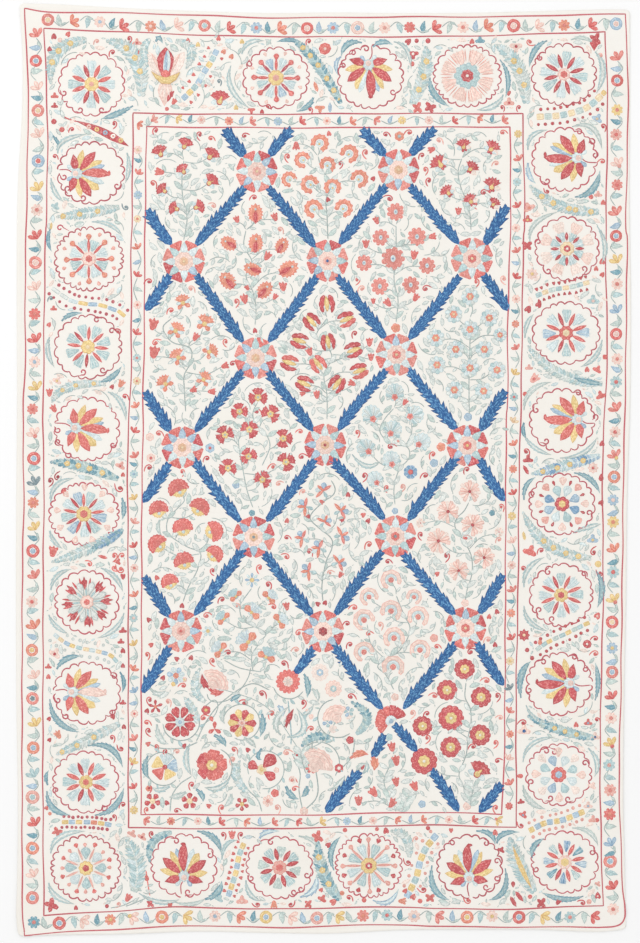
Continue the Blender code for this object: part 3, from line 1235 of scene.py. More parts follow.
@dataclass(frozen=True)
class Bush:
    """Flowers of one kind on stems that spring from one trunk."""

    bloom: Bloom
    trunk: Array  # from its foot upwards
    heads: tuple[Head, ...]
    buds: tuple[Head, ...] = ()  # small red tulips on branches of their own
    leaf_dyes: tuple[Dye, ...] = (FOAM, SEA, FOAM)
    leaf_length: float = 9.6

    def draw(self, stems: Needlework, flowers: Needlework) -> None:
        """Draw the trunk, the branches with their leaves, and the heads.

        Each branch leaves the trunk at the nearest place that is well below its head, first
        along the trunk and then bending over to the head.

        Args:
            stems: the piece of the stems and leaves.
            flowers: the piece of the flower heads.
        """
        trunk = smooth_path(self.trunk, 2.0)
        stroke(stems, self.trunk, STEM_HALF, STEM)
        for number, head in enumerate(self.heads + self.buds):
            place = at(head.across, head.down)
            below = np.maximum(0.0, trunk[:, 1] - place[1] + 1.1 * head.size)
            distance = np.hypot(trunk[:, 0] - place[0], trunk[:, 1] - place[1]) + 4.0 * below
            root = int(np.argmin(distance))
            start = trunk[root]
            facing = head.facing
            if facing is None:
                facing = heading_to(start, place) + stems.uneven(12.0)
            flower = Flower(flowers, place, head.size, facing)
            flower.draw(self.bloom if number < len(self.heads) else Bloom.BUD)
            self.branch(stems, start, flower.foot(), number)
        for count, share in enumerate((0.06, 0.16, 0.28, 0.40, 0.52, 0.64, 0.78)):
            root = trunk[int(share * (len(trunk) - 1))]
            for side in (-1, 1):
                dye = self.leaf_dyes[(count + side) % len(self.leaf_dyes)]
                heading = 90.0 - side * (46.0 + stems.uneven(16.0))
                leafy(stems, root, heading, self.leaf_length * (1.15 + stems.uneven(0.2)), dye)

    def branch(self, stems: Needlework, start: Array, end: Array, number: int) -> None:
        """One branch with leaves on alternate sides.

        Args:
            stems: the piece.
            start: where it leaves the trunk.
            end: where its head sits.
            number: its place in the table, which picks the sides and dyes.
        """
        reach = float(np.hypot(*(end - start)))
        if reach < 3.0:
            return
        side = 1 if number % 2 else -1
        bulge = (end - start)[::-1] * np.array([-1.0, 1.0]) * 0.14 * side
        middle = (start + end) / 2.0 + bulge
        stroke(stems, np.array([start, middle, end]), BRANCH_HALF, STEM)
        run = heading_to(start, end)
        for count, share in enumerate(np.arange(0.24, 0.92, 6.4 / max(reach, 6.4))):
            root = bent_path(start, middle, end, np.array([share]))[0]
            turn = 48.0 if (count + number) % 2 else -48.0
            dye = self.leaf_dyes[(count + number) % len(self.leaf_dyes)]
            length = self.leaf_length * (0.8 + stems.uneven(0.2))
            leafy(stems, root, run + turn + stems.uneven(10.0), length, dye)


# --------------------------------------------------------------------------------------------
# Field: lattice of blue leaves and rosettes
# --------------------------------------------------------------------------------------------


class Node(NamedTuple):
    """One rosette of the lattice, in chart squares."""

    across: float
    down: float
    heart: Dye = ORANGE  # its middle
    eye: Dye | None = None  # a dot in the middle


LATTICE_NODES = rows(
    Node,
    (257, 171.5, ROSE), (398.5, 170, TAN), (184, 261.5, TAN), (327.5, 261, ROSE, ROYAL),
    (472, 258.6, CORAL), (255.6, 358, TAN), (396.5, 354.6, CORAL), (182.3, 447.5, TAN),
    (325, 445, TAN, MAROON), (467.3, 445.5, CORAL, YELLOW), (253.7, 537, TAN, SLATE),
    (395.3, 536.3, CORAL, SLATE), (181, 631, ROSE, CORAL), (323, 631.3, MAROON, CRIMSON),
    (465.4, 628, CORAL, CREAM),
)


class BlueLeaf(NamedTuple):
    """One toothed leaf of the lattice, from its thin upper end to its broad lower end."""

    across: float
    down: float
    end_across: float
    end_down: float
    half: float = 6.3


BLUE_LEAVES = rows(
    BlueLeaf,
    (225.5, 129.5, 245.5, 156.5, 7.2), (291, 129.5, 268.6, 157), (362.5, 129.5, 386.4, 156.4, 6.6),
    (434.5, 129.5, 410, 156), (148, 210.5, 171.8, 245, 6.8), (244, 188, 195, 246.4),
    (268.6, 188, 315.7, 248), (386, 186, 338.8, 245), (410, 186, 459.3, 244.3), (507, 207, 484.3, 245, 6.8),
    (169.5, 276, 145.5, 310.5), (196.5, 276, 243.6, 343), (316.5, 277, 268, 342.5),
    (337.5, 277, 386.4, 339.5), (459, 277, 408, 340), (483.8, 275.5, 508.5, 311),
    (145.5, 392.5, 170.6, 432.5, 6.8), (242, 372, 194.6, 432.5), (268.2, 372.5, 313.5, 431.5),
    (386, 371, 337.6, 430.8), (408, 368.5, 458, 431), (505, 391.5, 480, 431.5, 6.8),
    (168.8, 464, 142.5, 502.5), (193.8, 460, 240.6, 522), (314.5, 460, 266.5, 521.5),
    (332.5, 460.5, 385, 520.5), (457, 458, 407.6, 521), (480, 460, 505, 501),
    (144.5, 577.5, 170, 617.5, 6.8), (243.5, 549, 194, 615.5), (264.5, 553, 313.5, 617),
    (381.5, 552, 335, 615.5), (403.5, 554, 456, 616), (502.5, 575.5, 478.8, 613.5, 6.6),
    (168.8, 648, 142, 692.5), (313, 648, 295, 673.5, 5.6), (334, 645, 383, 710), (455.5, 643.5, 403, 709),
    (477, 643.5, 503.5, 685.5), (384, 735.5, 372, 757.5, 5.6), (394.5, 725, 417, 752, 5.6),
    (359.5, 772, 326, 812.5, 6.6), (431, 770, 458.5, 811.5, 6.0), (501, 784.5, 479, 812.5, 6.2),
)

BLUE_GIRTH_SHARES = (0.0, 0.10, 0.30, 0.50, 0.70, 0.84, 0.93, 1.0)
BLUE_GIRTH_HALVES = (0.62, 0.80, 0.88, 0.94, 1.02, 1.06, 0.86, 0.20)
BLUE_LEAFLET_PITCH = 6.6
BLUE_LEAFLET_HALF = 2.5
BLUE_LEAFLET_SLANT = 36.0
BLUE_CORE = 0.70  # half width of the middle, as a share of the leaf's

NODE_PETALS = 8
NODE_REACH = 20.6
NODE_REDS = (CORAL, CORAL, CRIMSON, SALMON)
NODE_BLUES = (ICE, SKY, AQUA, ICE)


def leaflets(
    work: Needlework,
    spine: Array,
    width: Array,
    pitch: float,
    half: float,
    dyes: Sequence[Dye],
    slant: float = 42.0,
    level: int = 1,
) -> None:
    """Short leaflets along both sides of a spine, slanting back to its start.

    Args:
        work: the piece.
        spine: chart places along the middle, one square apart.
        width: half width of the whole leaf at each place.
        pitch: distance between two leaflets.
        half: half width of a leaflet.
        dyes: their colours, picked by the piece's own hand.
        slant: angle between a leaflet and the spine's start, in degrees.
        level: how many patches they lie on.
    """
    run = np.gradient(spine, axis=0)
    for place in np.arange(pitch * 0.6, len(spine) - 1, pitch):
        index = int(place)
        heading = heading_to(run[index], np.zeros(2))
        length = width[index] / math.sin(math.radians(slant)) * (1.06 + work.uneven(0.10))
        length = min(length, place / math.cos(math.radians(slant)) + 1.0)
        for side in (-1.0, 1.0):
            dye = dyes[int(work.hand.integers(len(dyes)))]
            angle = heading + side * (slant + work.uneven(7.0))
            petal(work, spine[index], angle, 0.4, length, half, dye, Girth.FLAME, level)


def blue_leaf(work: Needlework, leaf: BlueLeaf) -> None:
    """A leaf of the lattice: a broad blade with leaflets that point back to its upper end."""
    start = at(leaf.across, leaf.down)
    end = at(leaf.end_across, leaf.end_down)
    length = float(np.hypot(*(end - start)))
    shares = np.linspace(0.0, 1.0, int(length) + 1)
    width = np.interp(shares, BLUE_GIRTH_SHARES, BLUE_GIRTH_HALVES) * leaf.half
    bow = aim(heading_to(start, end) + 90.0) * work.uneven(1.4)
    spine = bent_path(start, (start + end) / 2.0 + bow, end, shares)
    core = np.append(np.arange(0, len(spine) - 3, 3), len(spine) - 1)
    half = width[core] * BLUE_CORE
    leaflets(work, spine, width, BLUE_LEAFLET_PITCH, BLUE_LEAFLET_HALF, (ROYAL,), BLUE_LEAFLET_SLANT, 0)
    work.ribbon(spine[core], half, half, DEEP, 1)


def node_rosette(work: Needlework, node: Node) -> None:
    """A rosette: red segments and pale blue points in turn round a pink disc."""
    centre = at(node.across, node.down)
    for place in range(NODE_PETALS):
        heading = place * 360.0 / NODE_PETALS
        segment = heading + 180.0 / NODE_PETALS
        red = NODE_REDS[int(work.hand.integers(len(NODE_REDS)))]
        petal(work, centre, segment, 11.5, NODE_REACH, 7.3, red, Girth.WEDGE)
        blue = NODE_BLUES[int(work.hand.integers(len(NODE_BLUES)))]
        petal(work, centre, heading, 8.5, NODE_REACH - 0.9, 4.3, blue, Girth.FLAME, level=1)
    work.disc(centre, lobed(10.2, 8, 0.12), PINK, 2, 22.5)
    work.disc(centre, lobed(5.2, 6, 0.15), node.heart, 3)
    spot(work, centre, 1.8, node.eye or CREAM, 4)


# --------------------------------------------------------------------------------------------
# Field: bushes in the cells of the lattice
# --------------------------------------------------------------------------------------------


BUSHES = (
    Bush(
        Bloom.CARNATION, route(183.6, 241, 187, 222, 186, 210, 183, 199, 182, 180, 184, 160),
        rows(
            Head, (159.3, 150.7, 7.5, 110), (185.7, 143, 7.2, 70), (212, 153.6, 7.8, 60),
            (182, 169, 6.6, 120), (212, 180, 7.6, 50), (162, 189, 6.6, 140), (173.5, 208, 6.6, 160),
            (199.6, 206.4, 6.8, 20),
        ),
        rows(Head, (160, 172, 5.6, 170)),
    ),
    Bush(
        Bloom.ROUNDEL, route(328, 240, 327, 215, 326, 200, 331, 184, 322, 170, 318, 156),
        rows(
            Head, (319.8, 143.3, 8.6, 60), (302.6, 160, 7.8, 150), (289.2, 179.4, 7.4, 140),
            (309.8, 184.4, 8.8, 145), (327.6, 165, 7.8, 75), (313.7, 208.9, 9, 130),
            (349.2, 153.9, 8.8, 50), (359.2, 178.9, 8.6, 45), (332.6, 187.2, 8.2, 90),
            (343.7, 208.3, 8.6, 50),
        ),
        rows(Head, (296.2, 145.5, 5, 270)),
    ),
    Bush(
        Bloom.SPIKED, route(471, 231, 470, 215, 466, 200, 461, 188, 458, 172, 462, 158),
        rows(
            Head, (463.3, 143.6, 7, 95), (493, 146, 7.6, 60), (437.4, 162, 8.6, 135), (472.4, 166.4, 7, 55),
            (492, 183, 8.2, 85), (446, 190.6, 7, 130), (469.3, 198.6, 7, 115), (494.7, 202, 6, 60),
        ),
        rows(Head, (458.5, 211.6, 4.6, 90), (432, 149.5, 4.6, 200)),
    ),
    Bush(
        Bloom.FEATHER, route(255, 326, 256, 308, 253, 292, 246, 276, 252, 262, 244, 246, 246, 230),
        rows(
            Head, (255.5, 214.5, 8.4, 90), (229.6, 243.8, 7.6, 150), (255.7, 244.3, 8.4, 85),
            (281.4, 246.3, 7.2, 60), (253.3, 269.4, 7.8, 160), (287.6, 269.5, 9, 30),
            (228.3, 281.4, 8.4, 130), (264, 290.8, 8.2, 50),
        ),
        rows(
            Head, (237, 220, 4.4, 110), (275, 217.4, 5, 110), (267, 256.6, 5.4, 60), (283, 287.3, 5.6, 90),
            (244.6, 299.6, 5.8, 100), (247.4, 288, 3.6, 120), (275, 297, 3.8, 60),
        ),
    ),
    Bush(
        Bloom.ROSETTE, route(396, 323, 398, 300, 394, 280, 396, 255, 396, 225),
        rows(
            Head, (395.7, 212, 9.2), (380.7, 237.6, 8.6), (417, 236.8, 9.6), (393, 258.6, 12),
            (364, 263, 8.4), (427, 265.7, 8.6), (379.8, 286.4, 9), (410.7, 285, 8.8),
        ),
        rows(
            Head, (376.6, 220.7, 4.6, 110), (366, 244.4, 5, 90), (432, 236.6, 4.8, 10),
            (414, 255.4, 5.4, 80), (388, 303, 5, 130), (373.3, 301.4, 3.4, 90), (415.6, 298, 4.8, 60),
        ),
    ),
    Bush(
        Bloom.IRIS,
        route(185.7, 412, 184.5, 390, 184.3, 375, 191, 362, 190, 348, 172, 342, 163, 328, 172, 318),
        rows(
            Head, (183, 303, 7.6, 100), (175.6, 331, 8, 60), (204.6, 324, 8.6, 70), (178.4, 357.6, 8, 120),
            (209.4, 352, 7.6, 25), (165.6, 384, 8, 130), (203.6, 379.6, 7.6, 60),
        ),
        rows(
            Head, (153.4, 325, 7, 80), (154, 353, 7.4, 80), (195.6, 337.4, 5, 60), (193, 390, 4.6, 20),
            (211.6, 391.6, 4.6, 0), (224.6, 366, 4.6, 20),
        ),
    ),
    Bush(
        Bloom.STRIPED_TULIP, route(327, 420, 327, 395, 324, 375, 332, 358, 326, 346, 316, 336, 327, 318),
        rows(
            Head, (311.4, 321.6, 8.8), (299.3, 341, 8.8), (289.3, 363, 8.8), (318, 364, 8.8),
            (304.3, 383.7, 8.8), (327, 304, 9), (328, 342, 8.5), (346.4, 319.4, 8.8), (353.6, 350, 8.8),
            (359.3, 371, 8.8), (337, 384, 9),
        ),
        rows(
            Head, (309.6, 352, 5, 110), (369.4, 342.6, 5, 90), (371, 357.6, 4.4, 90),
            (352.4, 383.4, 4.6, 160), (317, 395, 5, 100), (303, 393.6, 3.4, 200),
        ),
    ),
    Bush(
        Bloom.ASTER, route(469.3, 418, 469, 395, 469, 370, 470, 340, 470, 318),
        rows(
            Head, (470, 296.6, 9), (453.6, 314.4, 9), (489.3, 318, 9), (470, 329.4, 9), (435.7, 338, 9),
            (500, 335, 7), (455.7, 349.4, 9), (484.3, 349.4, 9), (437, 365, 9), (470, 368, 9),
            (497, 370, 9), (454.3, 390, 9), (483.6, 391, 9),
        ),
    ),
    Bush(
        Bloom.TREFOIL,
        route(253, 508, 247, 490, 243, 470, 239, 448, 240, 436, 252, 424, 264, 432, 270, 446, 262, 466),
        rows(
            Head, (239.5, 411.5, 8.4, 100), (270.5, 414, 9.2, 60), (225, 434.8, 9.2, 120),
            (249.4, 429.5, 9, 50), (283.4, 438.5, 9.2, 0), (248.5, 456.4, 8.6, 120), (286, 462, 9.2, 30),
            (228, 468, 9, 95), (262.5, 479.6, 8.8, 60), (258, 397.4, 9.4, 90),
        ),
    ),
    Bush(
        Bloom.FAN,
        route(395, 505, 394, 488, 399, 470, 409, 458, 407, 447, 391, 444, 380, 432, 384, 420, 394, 408),
        rows(
            Head, (394.7, 393, 9, 90), (371.6, 415, 9.4, 110), (414, 415, 9.2, 20), (392.6, 430, 9, 60),
            (421.6, 442, 8.6, 40), (366, 448.4, 9, 130), (391.3, 460.4, 8.8, 100), (375, 479.6, 8, 120),
        ),
        rows(Head, (404.6, 402.4, 4, 60)),
    ),
    Bush(
        Bloom.CLOUD,
        route(
            183, 602, 188, 588, 193, 579, 198, 568, 200.5, 553, 187, 546.7, 170, 535.6, 166.6, 526.7, 169.3,
            516.7, 177, 508.9, 184.3, 501, 182.7, 496,
        ),
        rows(
            Head, (178, 488, 9.8, 115), (158.5, 509, 9.2, 100), (200, 507, 9.6, 60), (182.5, 527, 9.6, 100),
            (214.4, 531, 9.6, 15), (157, 543.6, 9.4, 135), (215, 553.6, 8.6, 45), (183.5, 560.5, 9.6, 105),
            (169.5, 581.5, 8.4, 110),
        ),
    ),
    Bush(
        Bloom.STAR,
        route(
            323, 602, 322, 585, 326, 562, 332, 548, 331, 538, 319, 528, 310, 517, 322, 503, 333, 495, 335,
            488, 331, 480,
        ),
        rows(
            Head, (323, 490.4, 8.4, 130), (305, 506.5, 8.4, 175), (341, 510.6, 8.2, 38),
            (324.6, 521.5, 7.4, 60), (342, 535.5, 8.4, 20), (319, 548, 8.6, 165), (308.5, 571, 8.6, 178),
            (339, 562.6, 8.2, 30), (302, 538, 8.2, 165),
        ),
        rows(Head, (340.5, 575, 3.6, 60)), leaf_length=7.6,
    ),
    Bush(
        Bloom.PINK_CARNATION,
        route(465, 604, 467, 590, 472, 573, 471, 555, 463, 540, 455, 527, 457, 518, 464, 511, 469, 502),
        rows(
            Head, (469.6, 491.6, 8.6, 90), (448, 511.6, 8.8, 120), (472.5, 525, 9, 60),
            (438.4, 541, 9.6, 140), (484, 557.6, 8.4, 60), (458.6, 570.6, 8.4, 95), (420.6, 523, 3.8, 150),
            (499, 532, 3.8, 60),
        ),
    ),
    Bush(
        Bloom.MIXED, route(253, 672, 252, 655, 262, 640, 265, 632, 244, 621, 240, 606, 246, 596, 252, 588),
        rows(
            Head, (236, 596.5, 7, 130), (251.4, 612.5, 9, 45), (268.6, 598, 8, 40), (224, 619, 7.4, 135),
            (279, 621.6, 8.4, 30), (248.4, 642, 11, 140), (221, 650, 8.6, 145), (266, 657, 9, 62),
        ),
        rows(Head, (286.6, 606.6, 4.8, 100)),
    ),
    Bush(
        Bloom.PEACH, route(301, 752, 303, 764, 306, 774),
        rows(Head, (215, 681.6, 11.4, 52), (317, 762, 13.2, 58), (335, 715, 9.8, 118)),
    ),
    Bush(
        Bloom.WREATH, route(394, 690, 386, 675, 378, 665, 400, 650, 410, 630, 404, 615, 396, 595),
        rows(
            Head, (391, 580, 10, 110.0), (369, 597, 9, 120.0), (414, 597, 7.5, 60.0),
            (391, 611, 10.5, 70.0), (418, 617, 10.5, 80.0), (364, 620, 10.5, 130.0),
            (394, 638, 10.5, 100.0), (420, 650, 10, 80.0), (364, 652, 10, 120.0), (393, 667, 11, 90.0),
        ),
    ),
    Bush(
        Bloom.POPPY,
        route(470, 806, 463, 785, 459, 774, 466, 755, 468, 738, 471, 722, 470, 708, 465, 697, 466, 682),
        rows(
            Head, (464.6, 669, 9.8), (447, 690, 9.8), (481, 697, 9.8), (451, 718, 12.2), (422.5, 726, 9.6),
            (480, 735, 10.2), (450.6, 747, 10), (424, 761, 12.6),
        ),
    ),
    Bush(
        Bloom.BUD, route(396, 812, 388, 795, 384, 780, 390, 765, 393, 755),
        rows(
            Head, (392, 747.4, 5.6, 100.0), (396, 761, 6, 100.0), (396, 782, 5.4, 100.0),
            (374, 792.6, 6.2, 130.0), (358.6, 801, 5.6, 90.0), (392, 803.6, 6.2, 60.0),
        ),
    ),
    Bush(Bloom.BUD, route(402, 812, 410, 795, 414, 788), rows(Head, (414.6, 786.6, 5.8, 110.0))),
    Bush(Bloom.CARNATION, route(470, 806, 473, 790, 478, 780), rows(Head, (480, 769, 10.2, 60.0))),
)


# --------------------------------------------------------------------------------------------
# Border: medallions
# --------------------------------------------------------------------------------------------


class Layer(NamedTuple):
    """Equal parts of a medallion's flower, or one disc, in chart squares."""

    girth: Girth | None  # None is a disc of the outer radius, with count lobes
    count: int
    turn: float  # heading of the first part
    inner: float
    outer: float
    half: float
    dyes: tuple[Dye, ...]  # in turn


def ray(count: int, turn: float, inner: float, outer: float, half: float, *dyes: Dye) -> Layer:
    """Pointed petals."""
    return Layer(Girth.LENS, count, turn, inner, outer, half, dyes)


def wedge(count: int, turn: float, inner: float, outer: float, half: float, *dyes: Dye) -> Layer:
    """Petals that widen outwards to a blunt end."""
    return Layer(Girth.WEDGE, count, turn, inner, outer, half, dyes)


def drop(count: int, turn: float, inner: float, outer: float, half: float, *dyes: Dye) -> Layer:
    """Petals with a round outer end."""
    return Layer(Girth.DROP, count, turn, inner, outer, half, dyes)


def disc(radius: float, dye: Dye, lobes: int = 7) -> Layer:
    """A disc with a lobed edge."""
    return Layer(None, lobes, 0.0, 0.0, radius, 0.0, (dye,))


LINE_HALF = 0.86  # half the width of a red line, in chart squares
LINE_SWELL = 0.16  # how much of that it swells and thins by


def line_halves(phases: Array) -> Array:
    """Half widths along a red line, which swells and thins with its phases."""
    return np.full(len(phases), LINE_HALF) * (1.0 + LINE_SWELL * np.sin(phases))


class Hook(NamedTuple):
    """Where a short hook that springs from a medallion's ring winds in."""

    across: float
    down: float


@dataclass(frozen=True)
class Medallion:
    """A scalloped red ring with a flower in it."""

    across: float
    down: float
    wide: float  # radius across
    tall: float  # radius along
    layers: tuple[Layer, ...] = ()
    heading: float | None = None  # direction of a palmette's long petal
    base: Pair = (0.0, 0.0)  # chart place of a palmette's base
    mirrored: bool = False
    lobes: int = 20
    hooks: tuple[Hook, ...] = ()
    dye: Dye = PLUM
    red: Dye = CRIMSON  # of a palmette's red petals
    long_dye: Dye = CRIMSON  # of its long one

    def centre(self) -> Array:
        """Its chart place."""
        return at(self.across, self.down)

    def draw(self, rings: Needlework, flowers: Needlework) -> None:
        """Draw the ring, its hooks, and the flower.

        Args:
            rings: the piece of the red lines.
            flowers: the piece of the flowers.
        """
        self.ring(rings)
        for hook in self.hooks:
            self.hook(rings, at(hook.across, hook.down))
        if self.heading is not None:
            self.palmette(rings, flowers)
        for level, layer in enumerate(self.layers):
            half = layer.half * SLIMNESS.get(layer.girth, 1.0)
            draw_layer(flowers, self.centre(), layer._replace(half=half), level)

    def outline(self, angles: Array, wander: float) -> Array:
        """Places of the ring: an ellipse whose radius dips to a cusp between two scallops.

        Args:
            angles: directions from the centre, in radians.
            wander: phase of the uneven spacing of the scallops.

        Returns:
            Chart places.
        """
        uneven = angles + 0.05 * np.sin(3.0 * angles + wander) + 0.03 * np.sin(7.0 * angles - wander)
        bulge = np.sqrt(np.abs(np.sin(self.lobes * uneven / 2.0)))
        reach = 1.0 - 0.125 + 0.125 * bulge + 0.014 * np.sin(2.0 * angles + wander)
        ellipse = np.column_stack([np.cos(angles) * self.wide, np.sin(angles) * self.tall])
        return self.centre() + ellipse * reach[:, None]

    def ring(self, work: Needlework) -> None:
        """The scalloped line."""
        count = self.lobes * 7
        angles = np.linspace(0.0, 2.0 * math.pi, count, endpoint=False)
        if self.heading is not None:
            gap = math.radians(self.heading + 180.0)
            angles = gap + np.linspace(0.05, 2.0 * math.pi - 0.04, count)
        spine = self.outline(angles, work.uneven(3.0))
        half = line_halves(angles * 5.0 + work.uneven(3.0))
        closed = self.heading is None
        work.ribbon(spine, half, half, self.dye, closed=closed, section=THIN_SECTION)

    def hook(self, work: Needlework, place: Array) -> None:
        """A line from the nearest part of the ring that winds in round a place."""
        out = place - self.centre()
        angle = math.atan2(out[1] / self.tall, out[0] / self.wide)
        side = 0.16 if work.uneven(1.0) > 0.0 else -0.16
        ellipse = np.array([math.cos(angle + side) * self.wide, math.sin(angle + side) * self.tall])
        foot = self.centre() + ellipse * 0.97
        to_foot = foot - place
        sweep = -1.0 if side > 0.0 else 1.0
        turns = math.atan2(to_foot[1], to_foot[0]) + sweep * np.linspace(0.5, 6.6, 16)
        reach = np.linspace(3.3, 1.1, 16)[:, None]
        coil = place + directions(turns) * reach
        path = np.vstack([foot, coil])
        half = np.clip(0.5 + 0.2 * np.arange(len(path)), 0.0, 0.95)
        work.ribbon(path, half, half, self.dye, 0, section=THIN_SECTION)

    def palmette(self, rings: Needlework, flowers: Needlework) -> None:
        """The half-open flower: petals to both sides of a long one, on a round base.

        Args:
            rings: the piece of the stem.
            flowers: the piece of the petals.
        """
        base = at(*self.base)
        for off, outer, half, dye, girth in PALMETTE_PETALS:
            side = -off if self.mirrored else off
            heading = self.heading + side
            if dye is not CRIMSON:
                petal(flowers, base, heading, 4.5, outer, half, dye, girth)
                continue
            red = self.long_dye if off == 0.0 else self.red
            petal(flowers, base, heading, 4.5, outer, half, red, girth, 1, 0.0 if off else 1.9)
        tip = base + aim(self.heading) * 32.0
        tip_side = aim(self.heading + (-90.0 if self.mirrored else 90.0))
        petal(flowers, tip, heading_to(tip, tip + tip_side), -1.0, 4.6, 1.7, self.long_dye, level=1)
        flowers.disc(base, lobed(6.0, 7, 0.18), ICE, 2, self.heading)
        spot(flowers, base - aim(self.heading) * 1.5, 3.4, PINK, 3)
        gap = math.radians(self.heading + 180.0)
        end = self.outline(np.array([gap - 0.05]), 0.0)[0]
        middle = (base + end) / 2.0 + aim(self.heading + 90.0) * 1.8
        stroke(rings, np.array([base - aim(self.heading) * 4.0, middle, end]), 0.75, self.dye)


def draw_layer(work: Needlework, centre: Array, layer: Layer, level: int) -> None:
    """One layer of a round flower.

    Args:
        work: the piece.
        centre: chart place of the flower.
        layer: the layer.
        level: its place in the stack.
    """
    if layer.girth is None:
        work.disc(centre, lobed(layer.outer, layer.count, 0.14), layer.dyes[0], level)
        return
    for number in range(layer.count):
        heading = layer.turn + number * 360.0 / layer.count
        dye = layer.dyes[number % len(layer.dyes)]
        petal(work, centre, heading, layer.inner, layer.outer, layer.half, dye, layer.girth, level)
        if layer.girth is Girth.WEDGE and dye in FAN_RIBS:
            reach = layer.outer + RIB_PAST
            spread = math.degrees(math.atan2(layer.half, layer.outer)) * RIB_SPREAD
            for turn in (-spread, 0.0, spread):
                inner = layer.inner + RIB_START + abs(turn) * RIB_LAG
                petal(work, centre, heading + turn, inner, reach, RIB_HALF, FAN_RIBS[dye], level=level + 1)


# Ribs of a broad fan: in chart squares, but for their spread and lag.
RIB_HALF = 0.85
RIB_START = 2.5  # how far after the fan they start
RIB_PAST = 1.2  # how far they pass its rim
RIB_SPREAD = 0.62  # turn of the outer ribs, as a share of half the fan's angle
RIB_LAG = 0.2  # how much later an outer rib starts, for each degree of its turn

# Share of its table width that a petal of a medallion keeps, which leaves gaps of ground beside it.
SLIMNESS = {Girth.WEDGE: 0.82, Girth.LENS: 0.88}

# Dyes of the ribs of a broad fan.
FAN_RIBS = {
    ICE: AQUA,
    AQUA: FOAM,
    SKY: ICE,
    TEAL: ICE,
    DENIM: ICE,
    ROYAL: SKY,
    BLUSH: PINK,
    PINK: BLUSH,
}

# Petals of a palmette: turn from its long petal, length, half width, dye and shape.
PALMETTE_PETALS = (
    (-18.0, 29.5, 3.4, ICE, Girth.DROP), (18.0, 29.0, 3.2, SKY, Girth.DROP),
    (-31.0, 27.5, 5.0, YELLOW, Girth.DROP), (30.0, 29.0, 4.6, YELLOW, Girth.LENS),
    (-79.0, 24.5, 4.0, YELLOW, Girth.LENS), (77.0, 25.0, 3.9, YELLOW, Girth.LENS),
    (-140.0, 12.5, 2.4, SKY, Girth.DROP), (142.0, 12.5, 2.4, ICE, Girth.DROP),
    (0.0, 34.0, 5.4, CRIMSON, Girth.LENS), (-54.0, 27.0, 5.1, CRIMSON, Girth.LENS),
    (52.0, 28.5, 5.1, CRIMSON, Girth.LENS), (-106.0, 20.0, 4.7, CRIMSON, Girth.FLAME),
    (106.0, 20.0, 4.9, CRIMSON, Girth.FLAME),
)

RED = (CORAL, CORAL, CRIMSON)
BLUE = (ICE, AQUA, ICE)


def palmette(
    across: float,
    down: float,
    heading: float,
    base: Pair,
    hooks: tuple[Hook, ...],
    mirrored: bool = False,
    red: Dye = CRIMSON,
    long_dye: Dye = CRIMSON,
) -> Medallion:
    """A medallion with a palmette in it."""
    return Medallion(
        across,
        down,
        33.5,
        31.8,
        heading=heading,
        base=base,
        hooks=hooks,
        mirrored=mirrored,
        red=red,
        long_dye=long_dye,
    )


